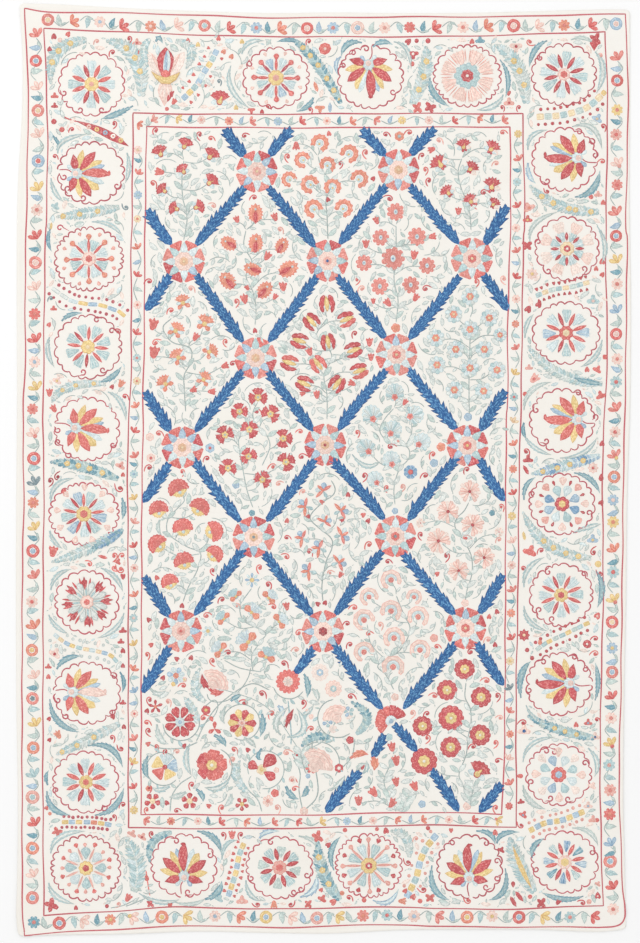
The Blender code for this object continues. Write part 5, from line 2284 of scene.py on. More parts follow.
SPRIGS = rows(
    Sprig,
    # Upper left corner.
    (Form.HEART, 54, 37, 3.2, 90, CRIMSON), (Form.HEART, 49.7, 49.7, 2.8, 90, CRIMSON),
    (Form.HEART, 68, 34.6, 2.8, 60, CORAL), (Form.DOT, 60, 40, 2.4, 0, PINK),
    (Form.TREFOIL, 137, 43, 4.2, 90, ROSE, CORAL), (Form.HEART, 138, 53, 2.6, 90, CORAL),
    (Form.TREFOIL, 54.7, 96.4, 3.8, 90, CORAL), (Form.TREFOIL, 54.7, 106.4, 3.4, 90, CRIMSON),
    (Form.DOT, 54, 121.7, 3.0, 0, CRIMSON), (Form.DOT, 62, 129.7, 3.0, 0, CORAL),
    (Form.LEAF, 51, 226.6, 2.6, 80, YELLOW), (Form.TREFOIL, 55.4, 206.6, 4.2, 60, AQUA),
    # Left side.
    (Form.TREFOIL, 53.7, 309, 3.2, 90, CORAL), (Form.HEART, 49, 325, 2.6, 60, CORAL),
    (Form.TREFOIL, 57, 381, 4.4, 60, PINK, YELLOW), (Form.TULIP, 121, 384, 4.4, 60, ORANGE),
    (Form.HEART, 112, 387, 2.6, 60, CRIMSON), (Form.TULIP, 49.5, 393, 4.4, 90, CORAL),
    (Form.TULIP, 54, 409, 4.4, 120, CORAL), (Form.TREFOIL, 120.4, 466, 4.6, 60, ROSE, CORAL),
    (Form.HEART, 123, 475, 2.4, 90, CORAL), (Form.HEART, 64, 492, 3.0, 60, CORAL),
    (Form.TULIP, 53, 552, 6.0, 80, CORAL), (Form.LEAF, 103, 557, 3.2, 165, CORAL),
    (Form.TREFOIL, 117.5, 562, 3.6, 60, CORAL), (Form.HEART, 123, 576, 3.0, 270, CRIMSON),
    (Form.TREFOIL, 54.7, 654, 5.8, 60, PINK, CRIMSON), (Form.TREFOIL, 123, 631, 3.8, 90, CRIMSON),
    (Form.TREFOIL, 121, 642, 3.4, 90, CRIMSON), (Form.HEART, 123, 651, 2.8, 90, CRIMSON),
    (Form.HEART, 123, 666, 2.4, 90, CRIMSON), (Form.TREFOIL, 48.5, 667, 3.2, 90, CORAL),
    (Form.HEART, 48.5, 677, 2.6, 90, CORAL), (Form.TULIP, 58.3, 735, 4.6, 120, ORANGE),
    (Form.HEART, 49.5, 740, 2.4, 60, CRIMSON), (Form.HEART, 49, 719, 2.4, 60, CRIMSON),
    (Form.HEART, 113, 717, 2.6, 60, CRIMSON), (Form.TREFOIL, 123, 703, 3.2, 90, CRIMSON),
    (Form.HEART, 124, 727, 2.6, 90, CRIMSON), (Form.BOW, 57, 832, 4.6, 60, CORAL),
    (Form.HEART, 46.5, 808, 2.4, 60, CORAL), (Form.DOT, 50, 813.5, 2.0, 0, ORANGE),
    (Form.TREFOIL, 132, 834, 4.4, 60, ROSE), (Form.TREFOIL, 142, 837, 4.4, 60, ROSE, CRIMSON),
    (Form.BOW, 51, 905, 6.4, 30, CRIMSON), (Form.HEART, 76, 908, 2.4, 90, CRIMSON),
    (Form.TULIP, 128, 898, 4.6, 60, CORAL), (Form.DOT, 107, 906, 2.2, 0, CRIMSON),
    # Bottom.
    (Form.DROP, 147, 879, 3.2, 100, CORAL), (Form.BOW, 150, 903.5, 3.8, 10, CRIMSON),
    (Form.HEART, 170, 904, 3.0, 270, CORAL), (Form.TULIP, 232, 835, 4.6, 90, CORAL),
    (Form.TREFOIL, 242, 901, 5.4, 90, ROSE, PINK), (Form.TREFOIL, 219, 899, 4.2, 60, AQUA),
    (Form.TULIP, 274, 904, 4.4, 270, ORANGE), (Form.BOW, 317, 837, 5.6, 20, CORAL),
    (Form.DOT, 345, 830, 2.4, 0, CORAL), (Form.HEART, 328, 845, 3.0, 45, CRIMSON),
    (Form.TREFOIL, 322, 899, 4.4, 60, CORAL), (Form.BOW, 308, 904, 4.0, 0, CORAL),
    (Form.HEART, 333, 902, 3.6, 30, CORAL), (Form.DOT, 342, 893, 2.6, 0, ORANGE),
    (Form.HEART, 321, 890, 2.4, 60, CORAL), (Form.HEART, 386, 831, 3.4, 100, CRIMSON),
    (Form.DOT, 377, 829, 2.2, 0, CORAL), (Form.DOT, 428, 828, 2.4, 0, CRIMSON),
    (Form.HEART, 451, 830, 2.4, 270, CORAL), (Form.DOT, 364, 900, 2.6, 0, CORAL),
    (Form.TULIP, 402, 901, 4.4, 0, ORANGE), (Form.HEART, 413, 897, 3.2, 60, CORAL),
    (Form.HEART, 405, 891, 2.8, 60, CORAL), (Form.BOW, 430, 898, 4.6, 90, CORAL),
    (Form.DOT, 420, 901, 2.6, 0, CORAL), (Form.HEART, 495, 833, 3.2, 90, CORAL),
    (Form.TREFOIL, 501, 850, 3.6, 60, CRIMSON), (Form.DROP, 513, 883, 3.0, 270, CRIMSON),
    (Form.LEAF, 519, 896, 4.2, 308, CRIMSON), (Form.LEAF, 513, 901, 4.0, 300, CRIMSON),
    (Form.DOT, 530, 896.6, 2.4, 0, CORAL), (Form.BOW, 541, 903, 5.0, 0, CRIMSON),
    (Form.TULIP, 558, 902, 3.6, 60, CRIMSON), (Form.DOT, 589, 901.6, 2.8, 0, ROSE),
    (Form.HEART, 597.6, 896, 3.4, 90, CRIMSON, PINK), (Form.TREFOIL, 597.6, 884, 3.0, 60, ROSE),
    # Right side, from the bottom.
    (Form.TREFOIL, 523, 815, 4.2, 60, CORAL, SKY), (Form.TREFOIL, 521, 802, 3.4, 100, CRIMSON),
    (Form.TREFOIL, 592, 786, 4.0, 60, PINK), (Form.TREFOIL, 588, 806, 4.2, 90, PINK, SKY),
    (Form.TREFOIL, 593, 820, 4.4, 90, ROSE), (Form.DOT, 597, 820, 2.4, 0, CORAL),
    (Form.DROP, 521, 776, 3.2, 180, CORAL), (Form.TREFOIL, 524, 731, 6.2, 90, PINK, ROYAL),
    (Form.TREFOIL, 595, 737, 4.6, 90, PINK, ROYAL), (Form.TREFOIL, 588, 723, 4.0, 90, CORAL, SKY),
    (Form.HEART, 576, 725, 2.8, 90, CORAL), (Form.SPIKY, 524, 635, 5.8, 90, CRIMSON, CREAM),
    (Form.DOT, 587, 644, 4.6, 0, CRIMSON, IVORY), (Form.DOT, 527, 650, 2.4, 0, CRIMSON),
    (Form.DOT, 532, 658, 2.4, 0, CRIMSON), (Form.DROP, 540, 643, 3.0, 90, ORANGE),
    (Form.HEART, 597, 616, 3.6, 60, CORAL, PINK), (Form.DOT, 598, 564, 3.6, 0, YELLOW),
    (Form.TREFOIL, 530, 552, 6.6, 70, CORAL), (Form.TREFOIL, 592.6, 540, 5.4, 90, SKY, YELLOW),
    (Form.LEAF, 524, 536, 3.0, 100, YELLOW), (Form.HEART, 601, 503, 3.0, 60, CRIMSON),
    (Form.DROP, 601, 479, 3.6, 90, CRIMSON), (Form.SPIKY, 593, 468, 5.4, 90, PINK, CORAL),
    (Form.TREFOIL, 528, 460, 5.0, 90, CRIMSON), (Form.LEAF, 526, 470, 3.6, 120, CRIMSON),
    (Form.HEART, 602, 444, 3.0, 90, CRIMSON), (Form.TREFOIL, 601, 396, 5.0, 110, CORAL),
    (Form.DOT, 525, 394, 2.6, 0, CORAL), (Form.TULIP, 534, 379, 5.6, 45, ROSE, CORAL),
    (Form.TREFOIL, 529, 368, 3.6, 90, ROSE), (Form.HEART, 587, 370, 2.8, 90, CORAL),
    (Form.TREFOIL, 597, 370, 4.4, 60, CORAL), (Form.SQUARE, 605, 357, 2.8, 0, CORAL),
    (Form.TREFOIL, 593, 301, 6.0, 90, AQUA, PINK), (Form.HEART, 528, 309.6, 3.8, 60, CRIMSON),
    (Form.HEART, 538.6, 305, 3.6, 60, CRIMSON), (Form.SPIKY, 532, 274, 6.0, 90, PINK, YELLOW),
    (Form.HEART, 602, 262, 3.2, 90, CORAL), (Form.HEART, 596, 269, 2.6, 90, CORAL),
    (Form.HEART, 602, 275, 2.8, 60, CORAL), (Form.BOW, 527, 246, 5.2, 90, CRIMSON),
    (Form.TREFOIL, 527.6, 220, 4.6, 90, CORAL, YELLOW), (Form.TREFOIL, 529, 208, 5.6, 120, ROSE, ORANGE),
    (Form.DOT, 591, 197, 2.6, 0, CORAL), (Form.TREFOIL, 598, 195, 3.8, 90, ROSE),
    (Form.HEART, 603, 203, 2.8, 90, CORAL), (Form.TREFOIL, 597, 119, 5.0, 60, SKY, CREAM),
    (Form.SQUARE, 603.6, 93, 3.0, 45, YELLOW),
    # Top, from the right.
    (Form.BOW, 595, 39.5, 5.8, 10, CRIMSON), (Form.WING, 594, 46, 5.4, 90, CRIMSON),
    (Form.TREFOIL, 509, 103, 5.0, 90, ROSE, CRIMSON), (Form.HEART, 508.6, 93, 2.6, 270, CORAL),
    (Form.TREFOIL, 516, 46.6, 6.0, 270, PINK, CRIMSON), (Form.TREFOIL, 480, 41, 4.4, 90, TEAL),
    (Form.HEART, 472, 42, 2.8, 90, CORAL), (Form.BOW, 417, 108, 5.0, 10, CORAL),
    (Form.BOW, 430, 108, 5.4, 70, CRIMSON), (Form.TREFOIL, 413, 54, 5.2, 270, CRIMSON, IVORY),
    (Form.DOT, 412, 64, 2.6, 0, CORAL), (Form.HEART, 408, 42, 3.4, 45, CRIMSON),
    (Form.DOT, 416.6, 41, 2.4, 0, CRIMSON), (Form.DOT, 428, 41, 2.8, 0, CRIMSON),
    (Form.LEAF, 339, 99, 2.6, 90, YELLOW), (Form.DOT, 325.0, 48.8, 6.3, 0, CORAL, PINK),
    (Form.LEAF, 316, 87, 3.6, 110, ORANGE), (Form.TREFOIL, 320, 108, 4.6, 270, ORANGE),
    (Form.LEAF, 330, 108, 3.4, 90, SKY), (Form.TREFOIL, 251.4, 110, 3.6, 270, CORAL),
    (Form.HEART, 262, 112, 2.4, 90, CRIMSON), (Form.TULIP, 171.4, 94.3, 3.6, 90, CRIMSON),
    (Form.TULIP, 174, 102, 3.6, 60, CORAL), (Form.DOT, 167, 109, 2.2, 0, CORAL),
    (Form.HEART, 198, 45, 2.6, 90, YELLOW), (Form.HEART, 242, 42, 2.6, 90, YELLOW),
    (Form.HEART, 188, 41, 2.6, 90, CORAL), (Form.HEART, 218.6, 39, 2.6, 90, CORAL),
    (Form.HEART, 223.6, 52, 2.8, 60, ORANGE), (Form.HEART, 231.4, 57, 2.8, 60, ORANGE),
    (Form.HEART, 236, 108, 2.6, 90, YELLOW),
)

HORNLETS = rows(
    Hornlet,
    (112.6, 53, 6, 100, -1), (129, 39, 6, 30, 1), (114, 124, 6, 30, 1), (72, 130, 5, 90, -1),
    (55, 157, 5, 90, 1), (126, 207, 6, 270, 1, SLATE), (51, 299, 5, 90, -1, SLATE), (118, 332, 6, 30, -1),
    (125, 397, 6, 90, 1), (50, 481, 7, 30, 1, MAROON), (58, 477, 7, 200, 1, MAROON), (120, 488, 8, 270, 1),
    (114, 556, 7, 30, 1, CORAL), (122, 556, 6, 90, -1, CORAL), (121, 569, 8, 270, 1, CORAL),
    (115, 568, 6, 200, -1, CORAL), (89, 564, 6, 10, -1, CORAL), (112, 738, 6, 60, 1), (121, 748, 6, 270, 1),
    (114, 817, 5, 60, 1), (123, 805, 6, 90, -1), (118, 904, 5, 0, 1, ROSE), (152, 834, 6, 150, -1),
    (223, 835, 6, 60, 1), (241, 835, 6, 120, -1), (257, 904, 6, 300, 1), (291, 904, 6, 270, -1),
    (408, 862, 7, 270, 1), (423, 889, 7, 300, 1), (416, 839, 5, 90, -1, ROSE), (349, 898, 6, 90, 1),
    (468, 900, 7, 270, 1, CORAL), (582, 903, 6, 30, -1), (521, 825, 6, 270, 1), (523, 723, 7, 60, -1),
    (597, 720, 5, 90, 1), (595, 654, 7, 60, -1, CORAL), (595, 639, 6, 60, -1), (600, 573, 6, 270, 1),
    (523, 569, 6, 60, 1), (541, 551, 6, 90, -1), (594, 552, 7, 200, 1), (526, 452, 7, 60, 1),
    (602, 162, 6, 60, -1, CORAL), (603, 127, 6, 60, 1), (547, 191, 5, 270, 1), (601, 56, 6, 150, -1, ROSE),
    (530, 42, 7, 200, -1, CORAL), (502, 108, 5, 60, 1), (519, 108, 5, 120, -1), (309, 42, 6, 120, -1),
    (310, 110, 5, 60, 1), (219, 82, 5, 60, 1, SLATE), (268, 107, 5, 90, 1), (97, 42, 5, 90, -1, ROSE),
)


def sprig(work: Needlework, row: Sprig) -> None:
    """A small motif and the dot in it."""
    centre = at(row.across, row.down)
    figure(work, row.form, centre, row.size, row.heading, row.dye)
    if row.heart is not None:
        spot(work, centre, row.size * 0.32, row.heart, 1)


# --------------------------------------------------------------------------------------------
# Garden: the free-drawn corner of the field, and small things in the cells
# --------------------------------------------------------------------------------------------


class Round(NamedTuple):
    """A round flower of layers, in chart squares."""

    across: float
    down: float
    layers: tuple[Layer, ...]


class Scroll(NamedTuple):
    """A stem that circles a flower, with leaves on its outside, in chart squares."""

    across: float
    down: float
    radius: float
    start: float  # heading of its first end from the centre
    sweep: float  # how far it turns, to the left if positive
    dye: Dye


GARDEN_ROUNDS = (
    Round(
        180, 722,
        (
            drop(8, 16.5, 4.5, 15.8, 3.3, CRIMSON), drop(8, 28.5, 4.5, 15.8, 3.3, CRIMSON),
            disc(4.8, ICE, 6), disc(2.2, SKY, 5),
        ),
    ),
    Round(
        242, 723, (drop(10, 0.0, 3.0, 14.4, 4.2, CRIMSON, YELLOW), disc(4.0, PINK, 7), disc(1.8, ROSE, 5)),
    ),
    Round(288, 681.4, (disc(12.8, CORAL, 15), disc(6.2, PINK, 7), drop(8, 0.0, 0.5, 4.6, 1.2, SEA))),
    Round(
        211.8, 765,
        (
            disc(15.8, CORAL, 13), wedge(5, 150.0, 5.0, 15.4, 5.8, CRIMSON, CRIMSON, CORAL, CORAL, CORAL),
            disc(6.0, YELLOW, 7), disc(2.0, IVORY, 5),
        ),
    ),
    Round(261, 770, (drop(1, 152.0, 3.0, 15.0, 5.6, CRIMSON),)),
    Round(261, 770, (drop(1, 46.0, 3.0, 20.5, 7.4, CRIMSON),)),
    Round(261, 770, (drop(1, -30.0, 3.0, 17.0, 5.4, CRIMSON),)),
    Round(261.5, 769.5, (disc(5.6, CREAM, 6), disc(2.4, YELLOW, 5))),
    Round(276.5, 770.0, (disc(3.0, PINK, 5),)),
    Round(
        165, 767, (wedge(5, 154.0, 2.0, 12.8, 7.4, YELLOW, CORAL, YELLOW, SKY, ICE), disc(2.6, CRIMSON, 5)),
    ),
    Round(176, 675.6, (drop(7, 12.0, 2.0, 9.2, 3.0, ICE, SKY), disc(3.2, ORANGE, 5))),
    Round(173.5, 684, (disc(2.6, YELLOW, 5),)),
    Round(184.5, 679.6, (disc(2.8, PINK, 5), disc(1.2, YELLOW, 5))),
    Round(308, 714.6, (drop(3, 90.0, 1.0, 6.2, 3.2, PINK, AQUA, PINK),)),
    Round(311, 768.4, (drop(6, 120.0, 0.5, 5.4, 1.7, CORAL), disc(1.8, CRIMSON, 5))),
    Round(317.6, 757.6, (disc(2.8, SKY, 5), disc(1.0, IVORY, 5))), Round(307, 758.6, (disc(2.8, SKY, 5),)),
    Round(308, 776, (disc(2.6, SKY, 5),)), Round(348.6, 711.6, (drop(5, 30.0, 0.8, 5.6, 2.2, AQUA, SKY),)),
    Round(327.6, 722.8, (drop(4, 10.0, 0.6, 5.0, 2.2, SKY, AQUA),)),
    Round(333, 729, (disc(4.4, BLUSH, 6),)), Round(346, 718.6, (drop(1, 20.0, 0.0, 7.0, 2.4, BLUSH),)),
    Round(292.6, 779.6, (disc(4.2, BLUSH, 6), disc(1.6, ROSE, 5))),
    Round(320, 672.4, (disc(9.2, BLUSH, 11), disc(4.2, SKY, 6), disc(1.6, IVORY, 5))),
    Round(333.4, 688.6, (disc(9.0, PINK, 11), disc(3.8, AQUA, 6), disc(1.4, IVORY, 5))),
    Round(155.5, 706.6, (drop(5, 20.0, 1.0, 7.4, 1.7, CRIMSON), disc(2.0, ORANGE, 5))),
    Round(339, 768, (disc(4.8, CRIMSON, 6), disc(2.0, IVORY, 5))),
    Round(350, 740, (disc(4.2, CRIMSON, 5),)),
    Round(152.6, 801, (drop(5, 54.0, 2.0, 8.4, 3.2, CRIMSON), disc(3.2, CREAM, 5))),
    Round(189.6, 801, (drop(5, 90.0, 2.0, 8.6, 3.4, CRIMSON), disc(3.4, CREAM, 5))),
    Round(242, 804, (drop(5, 54.0, 1.6, 7.0, 2.4, CRIMSON), disc(2.4, YELLOW, 5))),
    Round(148.6, 788.4, (disc(3.2, ORANGE, 5),)),
    Round(268, 801, (drop(6, 20.0, 1.4, 6.0, 2.2, PINK), disc(1.8, ROSE, 5))),
    Round(304, 811, (disc(4.4, PINK, 6), disc(1.8, BLUSH, 5))),
    Round(214.6, 729, (drop(3, 90.0, 0.0, 7.6, 2.4, CORAL),)),
    Round(212.6, 721.6, (drop(1, 110.0, 0.0, 6.0, 2.6, CORAL),)),
    Round(206, 710, (disc(5.0, CRIMSON, 5), disc(2.0, YELLOW, 5))), Round(275, 793, (disc(4.4, CORAL, 5),)),
    # Small flowers of the other cells.
    Round(252, 580, (drop(8, 0.0, 1.6, 7.4, 1.5, SKY, ICE), disc(2.4, YELLOW, 5))),
    Round(208, 631, (drop(6, 0.0, 1.2, 5.6, 1.8, ICE), disc(2.0, YELLOW, 5))),
    Round(399.3, 136.4, (disc(5.2, ORANGE, 6), disc(2.0, AQUA, 5))),
    Round(395.7, 328, (disc(5.0, ORANGE, 5),)), Round(210, 448, (disc(5.0, SKY, 6), disc(1.8, CORAL, 5))),
    Round(441, 447, (disc(4.8, ORANGE, 5),)), Round(468, 417, (disc(4.4, SKY, 5),)),
    Round(434, 463, (disc(4.4, SKY, 5),)), Round(151, 458, (disc(4.8, PINK, 6), disc(1.8, CORAL, 5))),
    Round(150, 437, (disc(4.4, PINK, 6),)), Round(465, 603, (disc(4.0, PINK, 5),)),
    Round(395, 697, (disc(4.0, PINK, 5),)), Round(467, 806, (disc(4.4, PINK, 5),)),
    Round(434, 638, (disc(4.4, ROSE, 5),)), Round(236, 485, (disc(4.0, SKY, 5),)),
    Round(422, 804, (disc(4.0, SKY, 5),)), Round(389, 737, (disc(4.0, AQUA, 5),)),
    Round(410.5, 472, (disc(7.4, DENIM, 8), ray(8, 0.0, 2.5, 7.0, 1.0, SKY), disc(2.9, CORAL, 5))),
    Round(252, 513, (disc(3.4, TEAL, 5),)), Round(492, 513, (disc(3.2, TEAL, 5),)),
    Round(395, 511, (disc(3.4, SKY, 5),)),
)

GARDEN_SCROLLS = rows(
    Scroll,
    (180, 722, 18.5, -176, 190, STEM), (242, 723, 18.0, -120, 290, STEM), (288, 682, 16.6, -160, 130, STEM),
    (212, 766, 20.4, 64, -170, STEM), (265, 769, 18.5, 200, -300, STEM), (163, 768, 16.5, 30, 290, STEM),
    (318, 762, 20.5, 150, -190, STEM), (337, 717, 19.5, 100, 210, STEM),
)

GARDEN_STEMS = rows(
    Stem,
    ((207, 693, 209, 699, 216, 702, 228, 700, 240, 690, 248, 678, 251, 667), 0.7, STEM),
    ((203, 708, 214, 700, 218, 706, 214, 716, 204, 724, 200, 730), 0.7, STEM),
    ((196, 742, 206, 722, 222, 702, 250, 684, 270, 690), 0.8, STEM),
    ((303, 812, 299, 790, 300, 772, 292, 753), 0.8, STEM),
    ((303, 812, 318, 792, 312, 745, 322, 728), 0.8, STEM),
    ((232, 775, 248, 790, 258, 800, 262, 812), 0.8, STEM),
    ((145, 742, 160, 748, 182, 748, 198, 742), 0.8, STEM),
    ((170, 812, 172, 796, 180, 784, 192, 776), 0.8, STEM), ((291, 745, 291, 730, 288, 700), 0.8, MIST),
    ((224, 660, 240, 668, 262, 672), 0.7, STEM), ((355, 738, 352, 756, 342, 768), 0.8, STEM),
    ((146, 870, 148, 884, 150, 896), 0.8, CORAL), ((110, 908, 124, 905, 140, 897), 0.7, STEM),
    ((58, 112, 66, 118, 78, 122), 1.0, CRIMSON), ((125, 906, 132, 904, 146, 898), 0.7, STEM),
)

GARDEN_FRONDS = rows(
    Frond,
    ((200, 668), (195, 688), (206, 702), 4.0, AQUA), ((184, 697), (193, 710), (198, 724), 4.0, AQUA),
    ((231, 701), (236, 697), (242, 695), 2.5, TEAL), ((157, 724), (160, 738), (169, 744), 3.4, SEA),
    ((214, 735), (222, 740), (226, 747), 3.2, TEAL), ((262, 714), (263, 725), (260, 737), 3.2, TEAL),
    ((148, 756), (145, 768), (149, 779), 3.2, TEAL), ((190, 744), (186, 760), (192, 776), 3.2, AQUA),
    ((230, 777), (219, 788), (204, 787), 3.2, AQUA), ((240, 761), (237, 778), (250, 793), 4.0, AQUA),
    ((231, 794), (230, 801), (223, 807), 3.0, SEA), ((196, 789), (202, 795), (203, 802), 2.8, TEAL),
    ((186, 792), (178, 796), (169, 797), 3.2, SEA), ((286, 786), (291, 795), (299, 799), 3.2, TEAL),
    ((307, 786), (306, 792), (301, 797), 3.0, TEAL), ((304, 674), (308, 685), (307, 698), 3.2, TEAL),
    ((278, 706), (282, 710), (283, 717), 2.8, SKY), ((302, 746), (314, 737), (331, 738), 4.0, TEAL),
    ((312, 689), (317, 694), (318, 702), 3.0, SEA), ((351, 702), (367, 717), (355, 735), 4.4, TEAL),
    ((281, 735), (276, 721), (290, 706), 3.4, SEA), ((287, 737), (304, 729), (296, 707), 3.6, AQUA),
    ((285.6, 726.6), (289, 718), (293.6, 708.6), 2.8, CRIMSON, (), 1),
    ((244, 738), (251, 742), (256, 748), 2.8, SEA), ((196, 690), (200, 686), (203, 680), 2.4, SEA),
    ((150, 688), (158, 694), (166, 690), 2.8, SEA), ((226, 706), (222, 716), (225, 724), 2.6, SEA),
    ((170, 786), (160, 790), (152, 787), 2.8, AQUA), ((330, 790), (340, 783), (345, 775), 3.0, SEA),
    ((300, 716), (308, 712), (314, 704), 2.6, AQUA), ((262, 748), (258, 756), (262, 760), 2.2, TEAL),
    # Leaves of the other cells, and the red pod of the left side.
    ((352, 454), (366, 466), (381, 461), 2.6, AQUA), ((160, 520), (158, 528), (162, 536), 2.2, SEA),
    ((357, 771), (360, 766), (366, 763), 2.8, SEA), ((363, 773), (367, 768), (366, 760), 2.4, AQUA),
    ((350, 758.6), (359, 753.4), (368.6, 754.6), 3.6, ORANGE),
    ((372.6, 756.6), (374.8, 763), (374, 770.6), 4.2, ORANGE),
    ((209, 687), (204, 683), (202, 673.6), 3.2, CRIMSON, (), 2),
    ((209, 688), (216, 692.6), (224, 691), 3.2, CORAL, (), 2),
)

# Across and down in turn, of curls with a red blob and of red hearts.
CELL_CURLS = (
    200, 135, 211, 139, 156, 131, 153, 184, 213, 206, 245, 136, 288, 157, 340, 164, 366, 153, 439, 141, 422,
    156, 425, 170, 429, 181, 503, 133, 496, 164, 484, 193, 476, 204, 386, 135, 409, 133, 280, 230, 254, 198,
    236, 302, 389, 199, 357, 280, 362, 289, 426, 289, 226, 342, 233, 364, 171, 311, 191, 289, 149, 282, 156,
    343, 355, 334, 476, 282, 504, 279, 257, 412, 300, 432, 302, 457, 273, 467, 279, 484, 207, 459, 159, 434,
    149, 468, 357, 433, 398, 441, 391, 447, 433, 455, 364, 476, 387, 488, 402, 487, 425, 476, 182, 472, 213,
    571, 147, 655, 303, 492, 287, 538, 286, 557, 309, 552, 369, 545, 330, 573, 467, 470, 501, 507, 421, 535,
    466, 538, 499, 540, 446, 556, 260, 568, 268, 585, 273, 607, 237, 606, 222, 600, 207, 616, 228, 653, 299,
    633, 296, 650, 284, 664, 213, 661, 388, 562, 354, 608, 380, 625, 347, 624, 369, 634, 350, 645, 437, 647,
    488, 640, 471, 652, 486, 681, 497, 696, 434, 696, 412, 713, 427, 714, 427, 738, 473, 747, 495, 743, 500,
    718, 498, 761, 496, 808, 351, 697, 183, 686, 168, 702, 150, 700, 147, 723, 149, 731, 156, 747, 177, 752,
    149, 788, 147, 810, 177, 811, 222, 808, 277, 808, 192, 785, 204, 718, 244, 703, 234, 750, 233, 760, 262,
    694, 272, 714, 303, 703, 311, 729, 287, 753, 297, 755, 295, 789, 166, 752, 292, 780,
)
CELL_HEARTS = (
    328, 200, 329, 134, 373, 179, 255, 331, 157, 578, 182, 606, 149, 620, 151, 645, 177, 659, 191, 658, 322,
    502, 308, 517, 348, 495, 363, 515, 342, 520, 368, 521, 287, 521, 318, 604, 325, 603, 437, 574, 497, 612,
    495, 645, 489, 617, 163, 678, 147, 711, 148, 744, 184, 746, 167, 803, 209, 806, 248, 750, 362, 767,
)
HALF_FAN = (391.0, 721.0)
CURL_DYES = (CRIMSON, CORAL, CRIMSON, CORAL, ROSE)

HALF_OPEN = (220.0, 97.0)  # the red flower beside the bud

# Petals of the bud near the upper left corner: heading, length, half width and dye, from its base.
BUD_BASE = (165.7, 80.0)
BUD_PETALS = (
    (124.0, 34.0, 7.0, BLUSH), (56.0, 34.0, 7.0, BLUSH), (118.0, 30.0, 2.0, PINK), (62.0, 30.0, 2.0, PINK),
    (90.0, 33.0, 9.4, CRIMSON), (88.0, 31.0, 4.6, ICE), (88.0, 29.0, 1.8, SKY), (90.0, 10.0, 5.2, CORAL),
)


# Beads of the red pod under the upper left medallion: across, down and dye.
POD = ((74.0, 120.5), (101.0, 131.0), (129.0, 146.5))
POD_BEADS = (
    (89.0, 126.6, PINK), (97.0, 129.4, YELLOW), (105.4, 132.8, SKY), (113.2, 136.2, IVORY),
    (120.8, 140.6, YELLOW),
)


def pod(work: Needlework) -> None:
    """The red pod with a row of beads."""
    blade(work, at(*POD[2]), at(*POD[1]), at(*POD[0]), 4.3, CRIMSON, Girth.POD)
    for across, down, dye in POD_BEADS:
        spot(work, at(across, down), 2.8, dye, 1)
        spot(work, at(across, down), 1.0, CORAL, 2)


def bud(work: Needlework) -> None:
    """The tall bud on its vase, near the upper left corner."""
    base = at(*BUD_BASE)
    for level, (heading, length, half, dye) in enumerate(BUD_PETALS):
        petal(work, base, heading, 2.0, length, half, dye, Girth.LENS, level)
    blade(work, base + (-14.5, 9.0), base + (0.0, -1.0), base + (14.5, 8.0), 4.0, YELLOW, level=8)
    petal(work, base, 266.0, 1.0, 26.0, 8.0, PINK, Girth.FLAME)
    for side in (-16.0, 0.0, 16.0):
        petal(work, base, 266.0 + side, 5.0, 19.0, 1.6, BLUSH, level=1)
    petal(work, base + (5.0, -12.0), 255.0, 0.0, 10.0, 2.2, CRIMSON, level=1)


def scroll(work: Needlework, row: Scroll) -> None:
    """A stem round a flower, winding out a little, with leaves on its outside."""
    count = max(6, int(abs(row.sweep) / 22.0))
    turns = np.radians(row.start + np.linspace(0.0, row.sweep, count))
    reach = row.radius * np.linspace(0.93, 1.08, count)
    steps = directions(turns)
    points = at(row.across, row.down) + steps * reach[:, None]
    stroke(work, points, STEM_HALF, row.dye)
    hand = 1.0 if row.sweep > 0.0 else -1.0
    for number in range(1, count - 1):
        heading = math.degrees(turns[number]) + hand * (36.0 + work.uneven(16.0))
        dye = (AQUA, FOAM, SEA)[number % 3]
        leafy(work, points[number], heading, 6.6 + work.uneven(1.4), dye)


